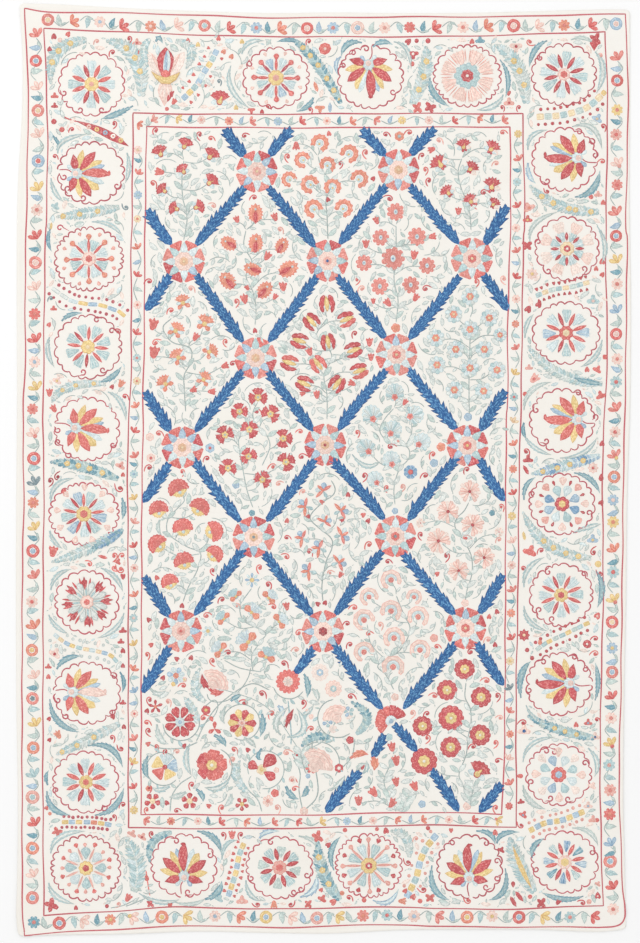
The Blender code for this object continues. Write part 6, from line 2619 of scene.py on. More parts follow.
@dataclass
class Undergrowth:
    """Small leaves and tendrils that fill what the larger motifs leave free."""

    covered: Array = field(default_factory=lambda: np.zeros(CHART_SQUARES, bool))

    def cells(self, places: Array) -> tuple[Array, Array]:
        """Row and column of the chart squares of places."""
        down = np.clip(CHART_DOWN - places[..., 1], 0, CHART_SQUARES[0] - 1).astype(int)
        across = np.clip(places[..., 0] + CHART_ACROSS, 0, CHART_SQUARES[1] - 1).astype(int)
        return down, across

    def cover(self, work: Needlework) -> None:
        """Mark the squares under every patch of a piece, by 25 even samples of each face."""
        places = np.vstack(work.places)
        faces = np.vstack(work.faces)
        faces = np.where(faces < 0, faces[:, :1], faces)
        corners = places[faces]
        for u in np.linspace(0.0, 1.0, 5):
            for v in np.linspace(0.0, 1.0, 5):
                low = corners[:, 0] * (1.0 - u) + corners[:, 1] * u
                high = corners[:, 3] * (1.0 - u) + corners[:, 2] * u
                self.covered[self.cells(low * (1.0 - v) + high * v)] = True

    def cover_oval(self, centre: Array, wide: float, tall: float) -> None:
        """Mark the squares of an ellipse."""
        down, across = np.mgrid[0 : CHART_SQUARES[0], 0 : CHART_SQUARES[1]]
        x = (across - CHART_ACROSS - centre[0]) / wide
        y = (CHART_DOWN - down - centre[1]) / tall
        self.covered |= x**2 + y**2 < 1.0

    def widen(self) -> None:
        """Grow the marked area by one square on every side."""
        grown = self.covered.copy()
        grown[1:] |= self.covered[:-1]
        grown[:-1] |= self.covered[1:]
        grown[:, 1:] |= self.covered[:, :-1]
        grown[:, :-1] |= self.covered[:, 1:]
        self.covered = grown

    def sow(
        self,
        work: Needlework,
        inside: Array,
        spacing: float,
        lengths: Sequence[float],
        dyes: Sequence[Dye],
        swirl: float,
    ) -> None:
        """Set leaves on a jittered grid wherever a leaf still fits.

        Args:
            work: the piece.
            inside: which chart squares it may use.
            spacing: pitch of the grid.
            lengths: leaf lengths to try, longest first.
            dyes: colours, picked by the piece's own hand.
            swirl: how far the headings swing with the place, in degrees.
        """
        blocked = self.covered | ~inside
        for seed in self.seeds(work, inside, 1.7 * spacing):
            self.twig(work, blocked, at(*seed), dyes, swirl)
        for seed in self.seeds(work, inside, spacing):
            self.plant(work, blocked, at(*seed), lengths, dyes, swirl)

    def seeds(self, work: Needlework, inside: Array, spacing: float) -> Array:
        """Across and down of a jittered grid over an area, in random order."""
        rows, columns = np.nonzero(inside)
        down, across = np.meshgrid(
            np.arange(rows.min(), rows.max(), spacing), np.arange(columns.min(), columns.max(), spacing)
        )
        seeds = np.column_stack([across.ravel(), down.ravel()])
        seeds = seeds + work.hand.uniform(-0.5, 0.5, seeds.shape) * spacing
        work.hand.shuffle(seeds)
        return seeds

    def take(self, blocked: Array, run: Array, across: float) -> None:
        """Mark a band of squares on both sides of a run."""
        normal = np.gradient(run, axis=0)[:, ::-1] * np.array([-1.0, 1.0])
        normal = normal / np.maximum(np.hypot(normal[:, 0], normal[:, 1]), 1e-9)[:, None]
        for side in np.arange(-across, across + 0.1, 0.8):
            blocked[self.cells(run + normal * side)] = True

    def twig(
        self, work: Needlework, blocked: Array, base: Array, dyes: Sequence[Dye], swirl: float
    ) -> None:
        """Set a bent stem with leaves on both sides, in the first heading that is free.

        Args:
            work: the piece.
            blocked: chart squares that are taken. The twig's own are added.
            base: chart place of its foot.
            dyes: leaf colours to pick from.
            swirl: how far the headings swing.
        """
        first = 90.0 + swirl * math.sin(base[0] / 13.0 + 1.7 * math.sin(base[1] / 19.0))
        first += work.uneven(25.0)
        hand = 1.0 if work.uneven(1.0) > 0.0 else -1.0
        for length in (26.0, 18.0):
            shares = np.linspace(0.0, 1.0, int(length))
            for turn in (0.0, 45.0, -45.0, 90.0, -90.0, 150.0):
                bend = np.radians(first + turn + hand * 95.0 * shares)
                steps = directions(bend) * length / len(shares)
                run = base + np.cumsum(steps, axis=0)
                if np.any(blocked[self.cells(run)]):
                    continue
                stroke(work, run[::4], 0.52, STEM)
                for place in range(3, len(run) - 1, 5):
                    side = 1.0 if (place // 5) % 2 else -1.0
                    heading = math.degrees(bend[place]) + side * (42.0 + work.uneven(12.0))
                    dye = dyes[int(work.hand.integers(len(dyes)))]
                    tip = run[place] + aim(heading) * 7.6
                    if not blocked[self.cells(tip)]:
                        leafy(work, run[place], heading, 8.4 + work.uneven(1.0), dye)
                dye = dyes[int(work.hand.integers(len(dyes)))]
                leafy(work, run[-1], math.degrees(bend[-1]), 7.0, dye)
                self.take(blocked, run, 5.2)
                return

    def plant(
        self,
        work: Needlework,
        blocked: Array,
        base: Array,
        lengths: Sequence[float],
        dyes: Sequence[Dye],
        swirl: float,
    ) -> None:
        """Set one leaf with a tendril, in the first of a few headings and lengths that is free.

        Args:
            work: the piece.
            blocked: chart squares that are taken. The leaf's own are added.
            base: chart place of its foot.
            lengths: lengths to try.
            dyes: colours to pick from.
            swirl: how far the headings swing.
        """
        if blocked[self.cells(base)]:
            return
        first = 90.0 + swirl * math.sin(base[0] / 11.0 + 1.3 * math.sin(base[1] / 17.0))
        first += work.uneven(35.0)
        for length in lengths:
            for turn in (0.0, 55.0, -55.0, 110.0, -110.0, 180.0):
                run = np.linspace(0.0, length, 6)[:, None] * aim(first + turn)
                if np.any(blocked[self.cells(base + run)]):
                    continue
                dye = dyes[int(work.hand.integers(len(dyes)))]
                leafy(work, base, first + turn, length, dye, max(1.3, 0.24 * length))
                tail = base - aim(first + turn + work.uneven(50.0)) * 3.4
                stroke(work, np.array([tail, (tail + base) / 2.0, base]), 0.48, STEM)
                self.take(blocked, base + run, 2.8)
                return


def band(west: int, east: int, north: int, south: int) -> Array:
    """Which chart squares lie in a box."""
    inside = np.zeros(CHART_SQUARES, bool)
    inside[north:south, west:east] = True
    return inside


# --------------------------------------------------------------------------------------------
# Guards: red lines and the two strips between them
# --------------------------------------------------------------------------------------------

GUARD_LINES = (
    (
        25, 9, 48, 12.3, 97, 12.6, 200, 15.4, 270, 18, 400, 17.1, 507, 16.8, 584, 14.7, 625, 14.5, 628, 92,
        625.8, 220, 627, 250, 625, 400, 623.5, 468, 622, 590, 620.5, 700, 619, 780, 622, 878, 624.3, 905,
        623.6, 919, 616, 925.6, 599, 927, 449, 926.3, 400, 924.5, 326, 925.9, 277, 927.7, 200, 925.5, 126,
        928.7, 70, 931.5, 24.6, 935, 22.4, 880, 22.4, 590, 23.9, 510, 23.2, 412, 25.3, 370, 25.3, 278, 26.7,
        210, 28, 126, 28.8, 90, 26.7, 56,
    ),
    (
        44.2, 28.8, 98, 31, 220, 35.8, 300, 36.8, 420, 36.8, 507, 35.2, 605, 31.8, 607.4, 107, 605.9, 220,
        605.9, 280, 607.3, 348, 605.2, 400, 602.4, 468, 603.1, 590, 601, 686, 600, 780, 602, 878, 603,
        905.3, 507, 909, 441, 908.4, 400, 906.8, 298, 908.4, 256, 909, 220, 907.7, 172, 907, 123, 910.5, 98,
        911.9, 44.2, 915.4, 43, 800, 43.2, 640, 43.5, 540, 44.2, 482, 42.8, 426, 43.5, 400, 44.2, 320, 45.6,
        236, 46.3, 220, 47.7, 154, 47, 102,
    ),
    (
        133.3, 113.4, 240, 114.4, 400, 113.6, 522.5, 114, 524.8, 220, 523.2, 250, 521, 400, 519, 482, 518,
        590, 516, 700, 516.5, 827.2, 420, 825, 300, 828, 200, 828.4, 128.4, 827.7, 128.4, 590, 127.7, 454,
        131.2, 370, 131.2, 250, 132, 220,
    ),
    (
        146.6, 127, 300, 128, 400, 127.4, 510, 127, 510.5, 220, 507.7, 320, 507.7, 400, 506, 450, 504.5,
        740, 501.3, 814.2, 420, 812.3, 300, 815, 200, 814.6, 141, 814.4, 141.7, 590, 141.7, 510, 143, 440,
        143, 400, 144.5, 330, 144.5, 280, 145.2, 220,
    ),
)

GUARD_CORNERS = (
    ((25, 9), (625, 14.5), (599, 927), (24.6, 935)),
    ((44.2, 28.8), (605, 31.8), (603, 905.3), (44.2, 915.4)),
    ((133.3, 113.4), (522.5, 114), (516.5, 827.2), (128.4, 827.7)),
    ((146.6, 127), (510, 127), (501.3, 814.2), (141, 814.4)),
)


GUARD_STEP = 1.3  # distance between the places of a guard line, in chart squares
GUARD_STRAY = 0.32  # how far it strays, as hand work does, in chart squares
GUARD_STRAY_RATES = (0.11, 0.083)  # how fast it strays across and down, in radians a place
GUARD_SWELL_RATE = 0.05  # how fast it swells and thins, in radians a place


def guard_line(work: Needlework, numbers: Sequence[float], corners: Sequence[Pair]) -> None:
    """One red line, as four smooth sides that meet in its corners.

    Args:
        work: the piece.
        numbers: across and down of its places in turn, to the right from the upper left corner.
        corners: its four corners, which are also among the places.
    """
    points = route(*numbers)
    marks = [int(np.argmin(np.hypot(*(points - at(*corner)).T))) for corner in corners]
    marks.append(len(points))
    ring = np.vstack([points, points[:1]])
    sides = [smooth_path(ring[low : high + 1], GUARD_STEP) for low, high in zip(marks, marks[1:])]
    path = np.vstack([side[:-1] for side in sides])
    along = np.arange(len(path))
    stray = np.column_stack([np.sin(along * GUARD_STRAY_RATES[0]), np.cos(along * GUARD_STRAY_RATES[1])])
    path = path + GUARD_STRAY * stray
    half = line_halves(along * GUARD_SWELL_RATE)
    work.ribbon(path, half, half, BRAID, closed=True, section=THIN_SECTION)


class Guest(Enum):
    """Flowers of the guard strips."""

    RING = "round ring with a coloured middle"
    TULIP = "three-pointed tulip"
    ROUND = "round flower with a dot"
    LEAF = "toothed leaf"


class Item(NamedTuple):
    """One flower of a guard strip, in chart squares."""

    kind: Guest
    across: float
    down: float
    dye: Dye
    heart: Dye | None = None


def ring(across: float, down: float, dye: Dye, heart: Dye | None = None) -> Item:
    """A ring."""
    return Item(Guest.RING, across, down, dye, heart)


def tulip(across: float, down: float, dye: Dye, heart: Dye | None = None) -> Item:
    """A tulip."""
    return Item(Guest.TULIP, across, down, dye, heart)


def bloom(across: float, down: float, dye: Dye, heart: Dye | None = None) -> Item:
    """A round flower."""
    return Item(Guest.ROUND, across, down, dye, heart)


OUTER_TOP = (
    ring(48, 20, SALMON, CREAM), tulip(74.5, 21.5, ORANGE), bloom(100, 22, PINK, SKY),
    tulip(124, 26, CORAL), bloom(150.7, 26.4, ORANGE, PINK), tulip(179, 25, PINK),
    ring(204.6, 25.7, SALMON, AQUA), tulip(231, 28, CORAL), bloom(256.4, 28, SKY, SALMON),
    tulip(282, 28.6, ORANGE), ring(307, 28.4, CORAL, PINK), bloom(333, 28, SKY, SALMON),
    ring(357.6, 28, PINK, SKY), bloom(384.6, 28, PINK, ROSE), bloom(409.6, 27.4, CORAL, SALMON),
    tulip(436.6, 27.5, CORAL), bloom(463, 27.4, PINK, SALMON), tulip(488.6, 26, ORANGE),
    ring(513.6, 25.8, CORAL, PINK), tulip(539.6, 26, PINK), bloom(564, 25.4, ORANGE, SALMON),
    tulip(592.6, 24.6, CORAL), ring(616, 24, SKY, PINK),
)

OUTER_RIGHT = (
    tulip(617, 56, SALMON), ring(617, 80.6, CORAL, SKY), bloom(617, 110, YELLOW, SALMON),
    bloom(616, 134.6, ROSE, CORAL), tulip(617, 162, PINK, ROSE), bloom(617, 185, SALMON, CORAL),
    tulip(615, 211, SALMON), ring(616, 236, CORAL, SKY), tulip(616, 259, YELLOW),
    bloom(617, 284, PINK, SALMON), tulip(616, 309, SKY), ring(616, 334, CORAL, PINK),
    bloom(617, 359, PINK, SALMON), bloom(616, 382, AQUA, CORAL), tulip(615, 407, SALMON),
    bloom(615, 432, PINK, CORAL), tulip(614, 454, SALMON, YELLOW), ring(614, 477, ORANGE, SKY),
    bloom(613, 500, SKY, PINK), bloom(613, 522, YELLOW, ORANGE), tulip(613, 548, ORANGE),
    bloom(613, 572, AQUA, CORAL), tulip(613, 598, YELLOW, SALMON), ring(612, 622, CORAL, CREAM),
    bloom(612, 648, SKY, YELLOW), ring(612, 672, SALMON, SKY), tulip(611, 695, CORAL),
    bloom(611, 718, PINK, SALMON), tulip(610, 742, YELLOW, CORAL), bloom(609, 765, AQUA, ROSE),
    bloom(610, 790, ROSE, SALMON), bloom(609.6, 814, CORAL, ORANGE), tulip(610, 842, SKY),
    ring(610, 861, SALMON, SKY), tulip(612, 885, CORAL), bloom(613, 909, PINK, SALMON),
)

OUTER_BOTTOM = (
    bloom(34, 922, TEAL, SALMON), ring(59.4, 923, CORAL, SKY), tulip(85, 921, PINK),
    bloom(110.4, 919.4, ORANGE, YELLOW), tulip(134, 918, PINK, YELLOW), ring(162, 917, ORANGE, YELLOW),
    tulip(187.6, 917, YELLOW), bloom(215, 916, PINK, SKY), tulip(241, 917, ORANGE),
    ring(266, 917, YELLOW, SKY), tulip(293, 918, PINK), ring(317, 918, ROSE, SKY), tulip(340, 917, YELLOW),
    bloom(363, 915.6, SALMON, ORANGE), bloom(387, 915, AQUA, CORAL), bloom(414, 916, PINK, SKY),
    tulip(439.6, 916.6, SALMON), ring(467, 917, ORANGE, YELLOW), bloom(492, 916, PINK, YELLOW),
    ring(519, 917, CORAL, SKY), tulip(545, 917, YELLOW), bloom(570, 917, AQUA, SALMON),
    tulip(595, 917, CORAL),
)

OUTER_LEFT = (
    tulip(36, 33, SALMON), ring(36, 61, CORAL, SKY), tulip(37, 86, PINK), ring(38, 110.7, SALMON, CREAM),
    tulip(38, 133, PINK), ring(38.3, 161, SKY, CORAL), tulip(37, 186.6, YELLOW),
    bloom(37, 210, PINK, SALMON), tulip(35.4, 235, CORAL), ring(35.4, 262.6, SALMON, PINK),
    tulip(34.7, 286, PINK), bloom(34.7, 314, CORAL, SALMON), tulip(34.7, 338, CORAL),
    bloom(34.7, 362, PINK, SKY), tulip(35.4, 386, YELLOW), bloom(32.6, 409, SALMON, CORAL),
    tulip(33, 432, PINK, SALMON), ring(34, 458.5, CORAL, SKY), tulip(34, 481, SLATE),
    bloom(33.3, 502.6, ORANGE, SALMON), tulip(34, 526, YELLOW), ring(33, 551, CORAL, SKY),
    tulip(34, 574.4, SALMON), bloom(32, 601.6, PINK, CORAL), tulip(33.3, 624.4, ORANGE),
    ring(32, 650, ORANGE, YELLOW), tulip(34, 674.4, PINK), ring(32.6, 698.4, SALMON, SLATE),
    tulip(34.7, 722, YELLOW), ring(33.3, 747.7, ORANGE, SKY), tulip(33, 773, AQUA),
    ring(32.6, 797, ROSE, AQUA), tulip(34, 821.6, CORAL), ring(32.6, 848, ORANGE, SKY),
    tulip(32.6, 873, PINK), ring(32.6, 897.6, SALMON, SKY),
)

INNER_TOP = (
    tulip(140, 125, ORANGE), tulip(155, 119, ROSE, SALMON), tulip(179, 119, YELLOW),
    bloom(201.4, 120, PINK, ROSE), bloom(229, 121, ORANGE, CORAL), tulip(253, 121.5, SALMON),
    bloom(278, 121.5, SKY, AQUA), tulip(302.6, 121, CORAL), bloom(327, 121, PINK, ORANGE),
    tulip(353, 121.5, ORANGE), tulip(377, 120.5, SALMON), bloom(402, 120.4, YELLOW, CREAM),
    bloom(429, 120.4, PINK, ROSE), tulip(455, 120.4, CORAL), tulip(480, 119, ORANGE),
    tulip(505, 120, SALMON),
)

INNER_RIGHT = (
    bloom(518, 134, YELLOW, CREAM), tulip(518, 158, SALMON), bloom(517, 182, AQUA, SEA),
    tulip(517, 205, CORAL), bloom(516, 228, PINK, ROSE), tulip(516.5, 250, SALMON),
    tulip(516.5, 276, CORAL), bloom(516, 299, PINK, ROSE), bloom(515.5, 324, ORANGE, ROSE),
    tulip(515.5, 347, SALMON), tulip(515, 372, YELLOW), bloom(514, 397, AQUA, CORAL),
    tulip(514, 420, CREAM), tulip(513.5, 443, ORANGE), bloom(513, 469, ORANGE, SALMON),
    tulip(513, 492, CORAL), bloom(512, 516, YELLOW, CREAM), tulip(512, 540, PINK),
    bloom(511.5, 565, PINK, ROSE), tulip(512, 589, SALMON), bloom(511, 613, ORANGE, ROSE),
    tulip(511, 637, CORAL), bloom(510, 661, CREAM, YELLOW), tulip(509, 687, SLATE), tulip(510, 710, SALMON),
    bloom(510, 734, ORANGE, CORAL), tulip(509, 757, PINK), tulip(509.5, 782, SALMON),
    bloom(509, 806, CORAL, SALMON),
)

INNER_BOTTOM = (
    tulip(146.6, 820.5, SALMON), bloom(171, 821, ORANGE, CORAL), bloom(198, 821, PINK, SALMON),
    tulip(222, 821.5, CORAL), tulip(247, 822, ORANGE), tulip(275, 822, SALMON), tulip(299, 822, CORAL),
    tulip(323, 821.5, YELLOW), bloom(347, 821, SKY, AQUA), bloom(373, 820.5, PINK, ROSE),
    tulip(398, 820, ORANGE), tulip(424, 819.5, ORANGE), bloom(449, 819.5, PINK, SALMON),
    tulip(475, 820, CORAL), tulip(499, 820.5, YELLOW, SALMON),
)

INNER_LEFT = (
    bloom(138, 150, PINK, CREAM), tulip(139, 172, SALMON), bloom(138, 195, SKY, AQUA),
    bloom(137.5, 219, CREAM, ORANGE), tulip(137, 246.5, ORANGE), tulip(137.6, 274, CORAL),
    bloom(137.5, 305, PINK, SALMON), tulip(137, 332, CORAL), bloom(137, 358, AQUA, SALMON),
    bloom(137, 381, CREAM, ORANGE), tulip(135.5, 405, ORANGE), tulip(135, 430, CORAL),
    tulip(134.6, 455, SALMON), bloom(134, 474, AQUA, SKY), tulip(133.6, 497, YELLOW),
    tulip(134.6, 521, ROSE), tulip(133.6, 545, CORAL), bloom(134.4, 568, PINK, SALMON),
    tulip(134.4, 594, ORANGE), bloom(133.6, 618, AQUA, PINK), tulip(133.6, 643, YELLOW),
    tulip(134, 668, ORANGE), bloom(134.4, 713.6, PINK, CORAL), tulip(134, 690, SKY),
    tulip(133.6, 737.6, SALMON), tulip(133.6, 761, YELLOW, ORANGE), tulip(133.4, 786, CORAL),
    bloom(134, 810, YELLOW, CREAM),
)


@dataclass(frozen=True)
class Strip:
    """A guard strip: flowers in a row, with a leaf between each two and a thin waving vine."""

    items: tuple[Item, ...]
    size: float
    heading: float  # direction in which its tulips open
    leaf_length: float
    swing: float  # how far the vine waves to each side

    def draw(self, work: Needlework) -> None:
        """Draw the strip.

        Args:
            work: the piece.
        """
        places = np.array([at(item.across, item.down) for item in self.items])
        order = np.argsort(places[:, 0] * aim(self.heading)[0] + places[:, 1] * aim(self.heading)[1])
        for number, here in enumerate(order):
            self.flower(work, self.items[here], places[here], number)
        for number, (here, after) in enumerate(zip(order, order[1:])):
            self.between(work, places[here], places[after], number)

    def flower(self, work: Needlework, item: Item, place: Array, number: int) -> None:
        """One flower.

        Args:
            work: the piece.
            item: its row.
            place: its chart place.
            number: its place in the strip, which picks the side that it leans to.
        """
        size = self.size * (1.0 + work.uneven(0.06))
        if item.kind is Guest.RING:
            ringlet(work, place, size, size * 0.48, item.dye, item.heart)
        elif item.kind is Guest.ROUND:
            blossom(work, place, size * 0.96, item.dye, item.heart or CREAM, 8)
        else:
            lean = 28.0 if number % 2 else -28.0
            foot = place - aim(self.heading + lean) * size * 0.7
            for side, dye in ((-46.0, item.dye), (46.0, item.dye), (0.0, item.dye)):
                petal(
                    work,
                    foot,
                    self.heading + lean + side,
                    0.0,
                    size * 1.5,
                    size * 0.36,
                    dye,
                    Girth.DROP,
                    level=0 if side else 1,
                )
            if item.heart is not None:
                spot(work, foot, size * 0.32, item.heart, 2)

    def between(self, work: Needlework, here: Array, after: Array, number: int) -> None:
        """A leaf and a bow of the vine between two flowers.

        Args:
            work: the piece.
            here: chart place of the first.
            after: chart place of the second.
            number: its place in the strip, which picks the side and the dye.
        """
        side = 1.0 if number % 2 else -1.0
        run = after - here
        run = run / np.hypot(*run)
        normal = np.array([-run[1], run[0]])
        start = here + run * self.size * 0.7
        end = after - run * self.size * 0.7
        middle = (here + after) / 2.0
        stroke(work, np.array([start, middle + normal * side * self.swing, end]), 0.62, STEM)
        dye = (SEA, AQUA, TEAL, SEA, SKY, AQUA)[number % 6]
        foot = middle + normal * side * self.swing * 0.8
        tip = middle - normal * side * (self.leaf_length - self.swing * 0.8)
        heading = heading_to(foot, tip) + work.uneven(24.0)
        bend = foot + aim(heading) * self.leaf_length * 0.5 + run * side * 1.2
        tip = foot + aim(heading) * self.leaf_length
        blade(work, foot, bend, tip, self.leaf_length * 0.28, dye, Girth.FLAME)
        small = heading_to(here, after) - side * (18.0 + work.uneven(12.0))
        leafy(work, middle + normal * side * self.swing * 0.8, small, self.leaf_length * 0.55, SEA)


STRIPS = (
    ("outer_guard", (OUTER_TOP, OUTER_BOTTOM), (OUTER_LEFT, OUTER_RIGHT), 6.6, 11.5, 5.6),
    ("inner_guard", (INNER_TOP, INNER_BOTTOM), (INNER_LEFT, INNER_RIGHT), 4.6, 8.6, 3.8),
)


# Down, and how far across the small leaves of the right border may reach there.
BORDER_EAST = ((30, 350, 470, 690, 780, 905), (604, 604, 600, 598, 597, 600))


@dataclass
class Border:
    """The medallions, leaves and garlands of the wide border, and the guards beside it."""

    cloth: Cloth
    silk: bpy.types.Material
    line: bpy.types.Material
    growth: Undergrowth

    def build(self) -> None:
        """Make the pieces of the border."""
        lines = Needlework("guard_lines", 21, "line_thread")
        for numbers, corners in zip(GUARD_LINES, GUARD_CORNERS):
            guard_line(lines, numbers, corners)
        lines.join(self.cloth, self.line)
        for name, rows, columns, size, leaf, swing in STRIPS:
            strip = Needlework(name, 22 + len(name))
            for items in rows:
                Strip(items, size, 0.0, leaf, swing).draw(strip)
            for items in columns:
                Strip(items, size, 90.0, leaf, swing).draw(strip)
            strip.join(self.cloth, self.silk)
        rings = Needlework("medallion_rings", 23, "line_thread")
        flowers = Needlework("medallion_flowers", 24)
        for medallion in MEDALLIONS:
            medallion.draw(rings, flowers)
            self.growth.cover_oval(medallion.centre(), medallion.wide + 1.5, medallion.tall + 1.5)
        bud(flowers)
        pod(flowers)
        Flower(flowers, at(*HALF_OPEN), 8.8, 86.0).carnation()
        rings.join(self.cloth, self.line)
        flowers.join(self.cloth, self.silk)
        leaves = Needlework("border_leaves", 25)
        for row in FRONDS:
            frond(leaves, row)
        leaves.join(self.cloth, self.silk)
        sprigs = Needlework("border_sprigs", 26)
        for row in GARLANDS:
            garland(sprigs, row)
        for row in SPRIGS:
            sprig(sprigs, row)
        for row in HORNLETS:
            curl(sprigs, at(row.across, row.down), row.size * 1.35, row.heading, row.hand, row.dye)
        sprigs.join(self.cloth, self.silk)
        for piece in (lines, rings, flowers, leaves, sprigs):
            self.growth.cover(piece)
        self.growth.widen()
        fill = Needlework("border_undergrowth", 27)
        east = np.interp(np.arange(CHART_SQUARES[0]), *BORDER_EAST)[:, None]
        inside = band(49, 604, 38, 905) & ~band(125, 528, 110, 832)
        inside &= np.arange(CHART_SQUARES[1])[None, :] < east
        self.growth.sow(
            fill, inside, 4.2, (10.5, 8.2, 6.4, 4.8), (FOAM, SEA, ICE, BLUSH, FOAM), 80.0
        )
        fill.join(self.cloth, self.silk)


# --------------------------------------------------------------------------------------------
# Materials
# --------------------------------------------------------------------------------------------


class Wire:
    """One output of a node, with arithmetic that adds Math nodes."""

    def __init__(self, board: "Board", socket: bpy.types.NodeSocket) -> None:
        """Hold the socket and the board that it is on."""
        self.board = board
        self.socket = socket

    def __add__(self, other: "Wire | float") -> "Wire":
        """This plus the other."""
        return self.board.math("ADD", self, other)

    __radd__ = __add__

    def __sub__(self, other: "Wire | float") -> "Wire":
        """This minus the other."""
        return self.board.math("SUBTRACT", self, other)

    def __rsub__(self, other: float) -> "Wire":
        """The other minus this."""
        return self.board.math("SUBTRACT", other, self)

    def __mul__(self, other: "Wire | float") -> "Wire":
        """This times the other."""
        return self.board.math("MULTIPLY", self, other)

    __rmul__ = __mul__

    def __truediv__(self, other: "Wire | float") -> "Wire":
        """This over the other."""
        return self.board.math("DIVIDE", self, other)

    def __rtruediv__(self, other: float) -> "Wire":
        """The other over this."""
        return self.board.math("DIVIDE", other, self)


class Board:
    """The node tree of one material, with short ways to add to it."""

    def __init__(self, name: str) -> None:
        """Start a material with only its shader and output."""
        self.material = bpy.data.materials.new(name)
        self.material.use_nodes = True
        self.tree = self.material.node_tree
        self.shader = self.tree.nodes["Principled BSDF"]

    def node(self, kind: str, settings: dict | None = None, **inputs: object) -> bpy.types.Node:
        """Add a node.

        Args:
            kind: its type name.
            settings: its own properties.
            inputs: its inputs by name, where an underscore stands for a space.

        Returns:
            The node.
        """
        node = self.tree.nodes.new(kind)
        for name, value in (settings or {}).items():
            setattr(node, name, value)
        for name, value in inputs.items():
            self.feed(node.inputs[name.replace("_", " ")], value)
        return node

    def feed(self, socket: bpy.types.NodeSocket, value: object) -> None:
        """Link a wire to a socket, or set the socket's own value."""
        if isinstance(value, Wire):
            self.tree.links.new(value.socket, socket)
        else:
            socket.default_value = value

    def out(self, node: bpy.types.Node, name: str) -> Wire:
        """An output of a node."""
        return Wire(self, node.outputs[name])

    def math(self, operation: str, first: object, second: object = 0.0) -> Wire:
        """A Math node."""
        node = self.node("ShaderNodeMath", {"operation": operation})
        self.feed(node.inputs[0], first)
        self.feed(node.inputs[1], second)
        return self.out(node, "Value")

    def place(self) -> Wire:
        """Object coordinates, in metres."""
        return self.out(self.node("ShaderNodeTexCoord"), "Object")

    def attribute(self, name: str, output: str) -> Wire:
        """A value that the mesh carries."""
        return self.out(self.node("ShaderNodeAttribute", {"attribute_name": name}), output)

    def axes(self, vector: Wire) -> tuple[Wire, Wire, Wire]:
        """The three parts of a vector."""
        node = self.node("ShaderNodeSeparateXYZ", Vector=vector)
        return self.out(node, "X"), self.out(node, "Y"), self.out(node, "Z")

    def vector(self, x: object, y: object, z: object) -> Wire:
        """A vector from three parts."""
        return self.out(self.node("ShaderNodeCombineXYZ", X=x, Y=y, Z=z), "Vector")

    def noise(self, vector: Wire, scale: float, detail: float = 2.0) -> Wire:
        """Smooth noise from 0 to 1."""
        node = self.node("ShaderNodeTexNoise", Vector=vector, Scale=scale, Detail=detail)
        return self.out(node, "Fac")

    def ramp(self, value: Wire, low: float, high: float, bottom: float, top: float) -> Wire:
        """A value spread from one range onto another, and held inside it."""
        node = self.node("ShaderNodeMapRange", {"clamp": True}, Value=value)
        for name, number in zip(("From Min", "From Max", "To Min", "To Max"), (low, high, bottom, top)):
            node.inputs[name].default_value = number
        return self.out(node, "Result")

    def mix(self, share: object, first: object, second: object, how: str = "MIX") -> Wire:
        """Two colours mixed by a share."""
        node = self.node("ShaderNodeMix", {"data_type": "RGBA", "blend_type": how})
        self.feed(node.inputs[0], share)
        self.feed(node.inputs[6], first)
        self.feed(node.inputs[7], second)
        return Wire(self, node.outputs[2])

    def scaled(self, vector: Wire, factor: Wire) -> Wire:
        """A colour or vector times a number."""
        node = self.node("ShaderNodeVectorMath", {"operation": "SCALE"}, Vector=vector)
        self.feed(node.inputs["Scale"], factor)
        return self.out(node, "Vector")

    def bump(self, height: Wire, distance: float, strength: float = 1.0) -> Wire:
        """Normals of a height given in shares of a distance."""
        node = self.node("ShaderNodeBump", Height=height, Distance=distance, Strength=strength)
        return self.out(node, "Normal")


# Patches in the thread where the darker thread shows, and the darker rim of each shape, in metres.
PATCH_LENGTH = 0.009
PATCH_WIDTH = 0.006
RIM_STRAY = 0.0016
RIM_FADE = (0.0016, 0.0034)
ROW_SLANT = 900.0  # turn of the sine of the rows for each metre along them, in radians


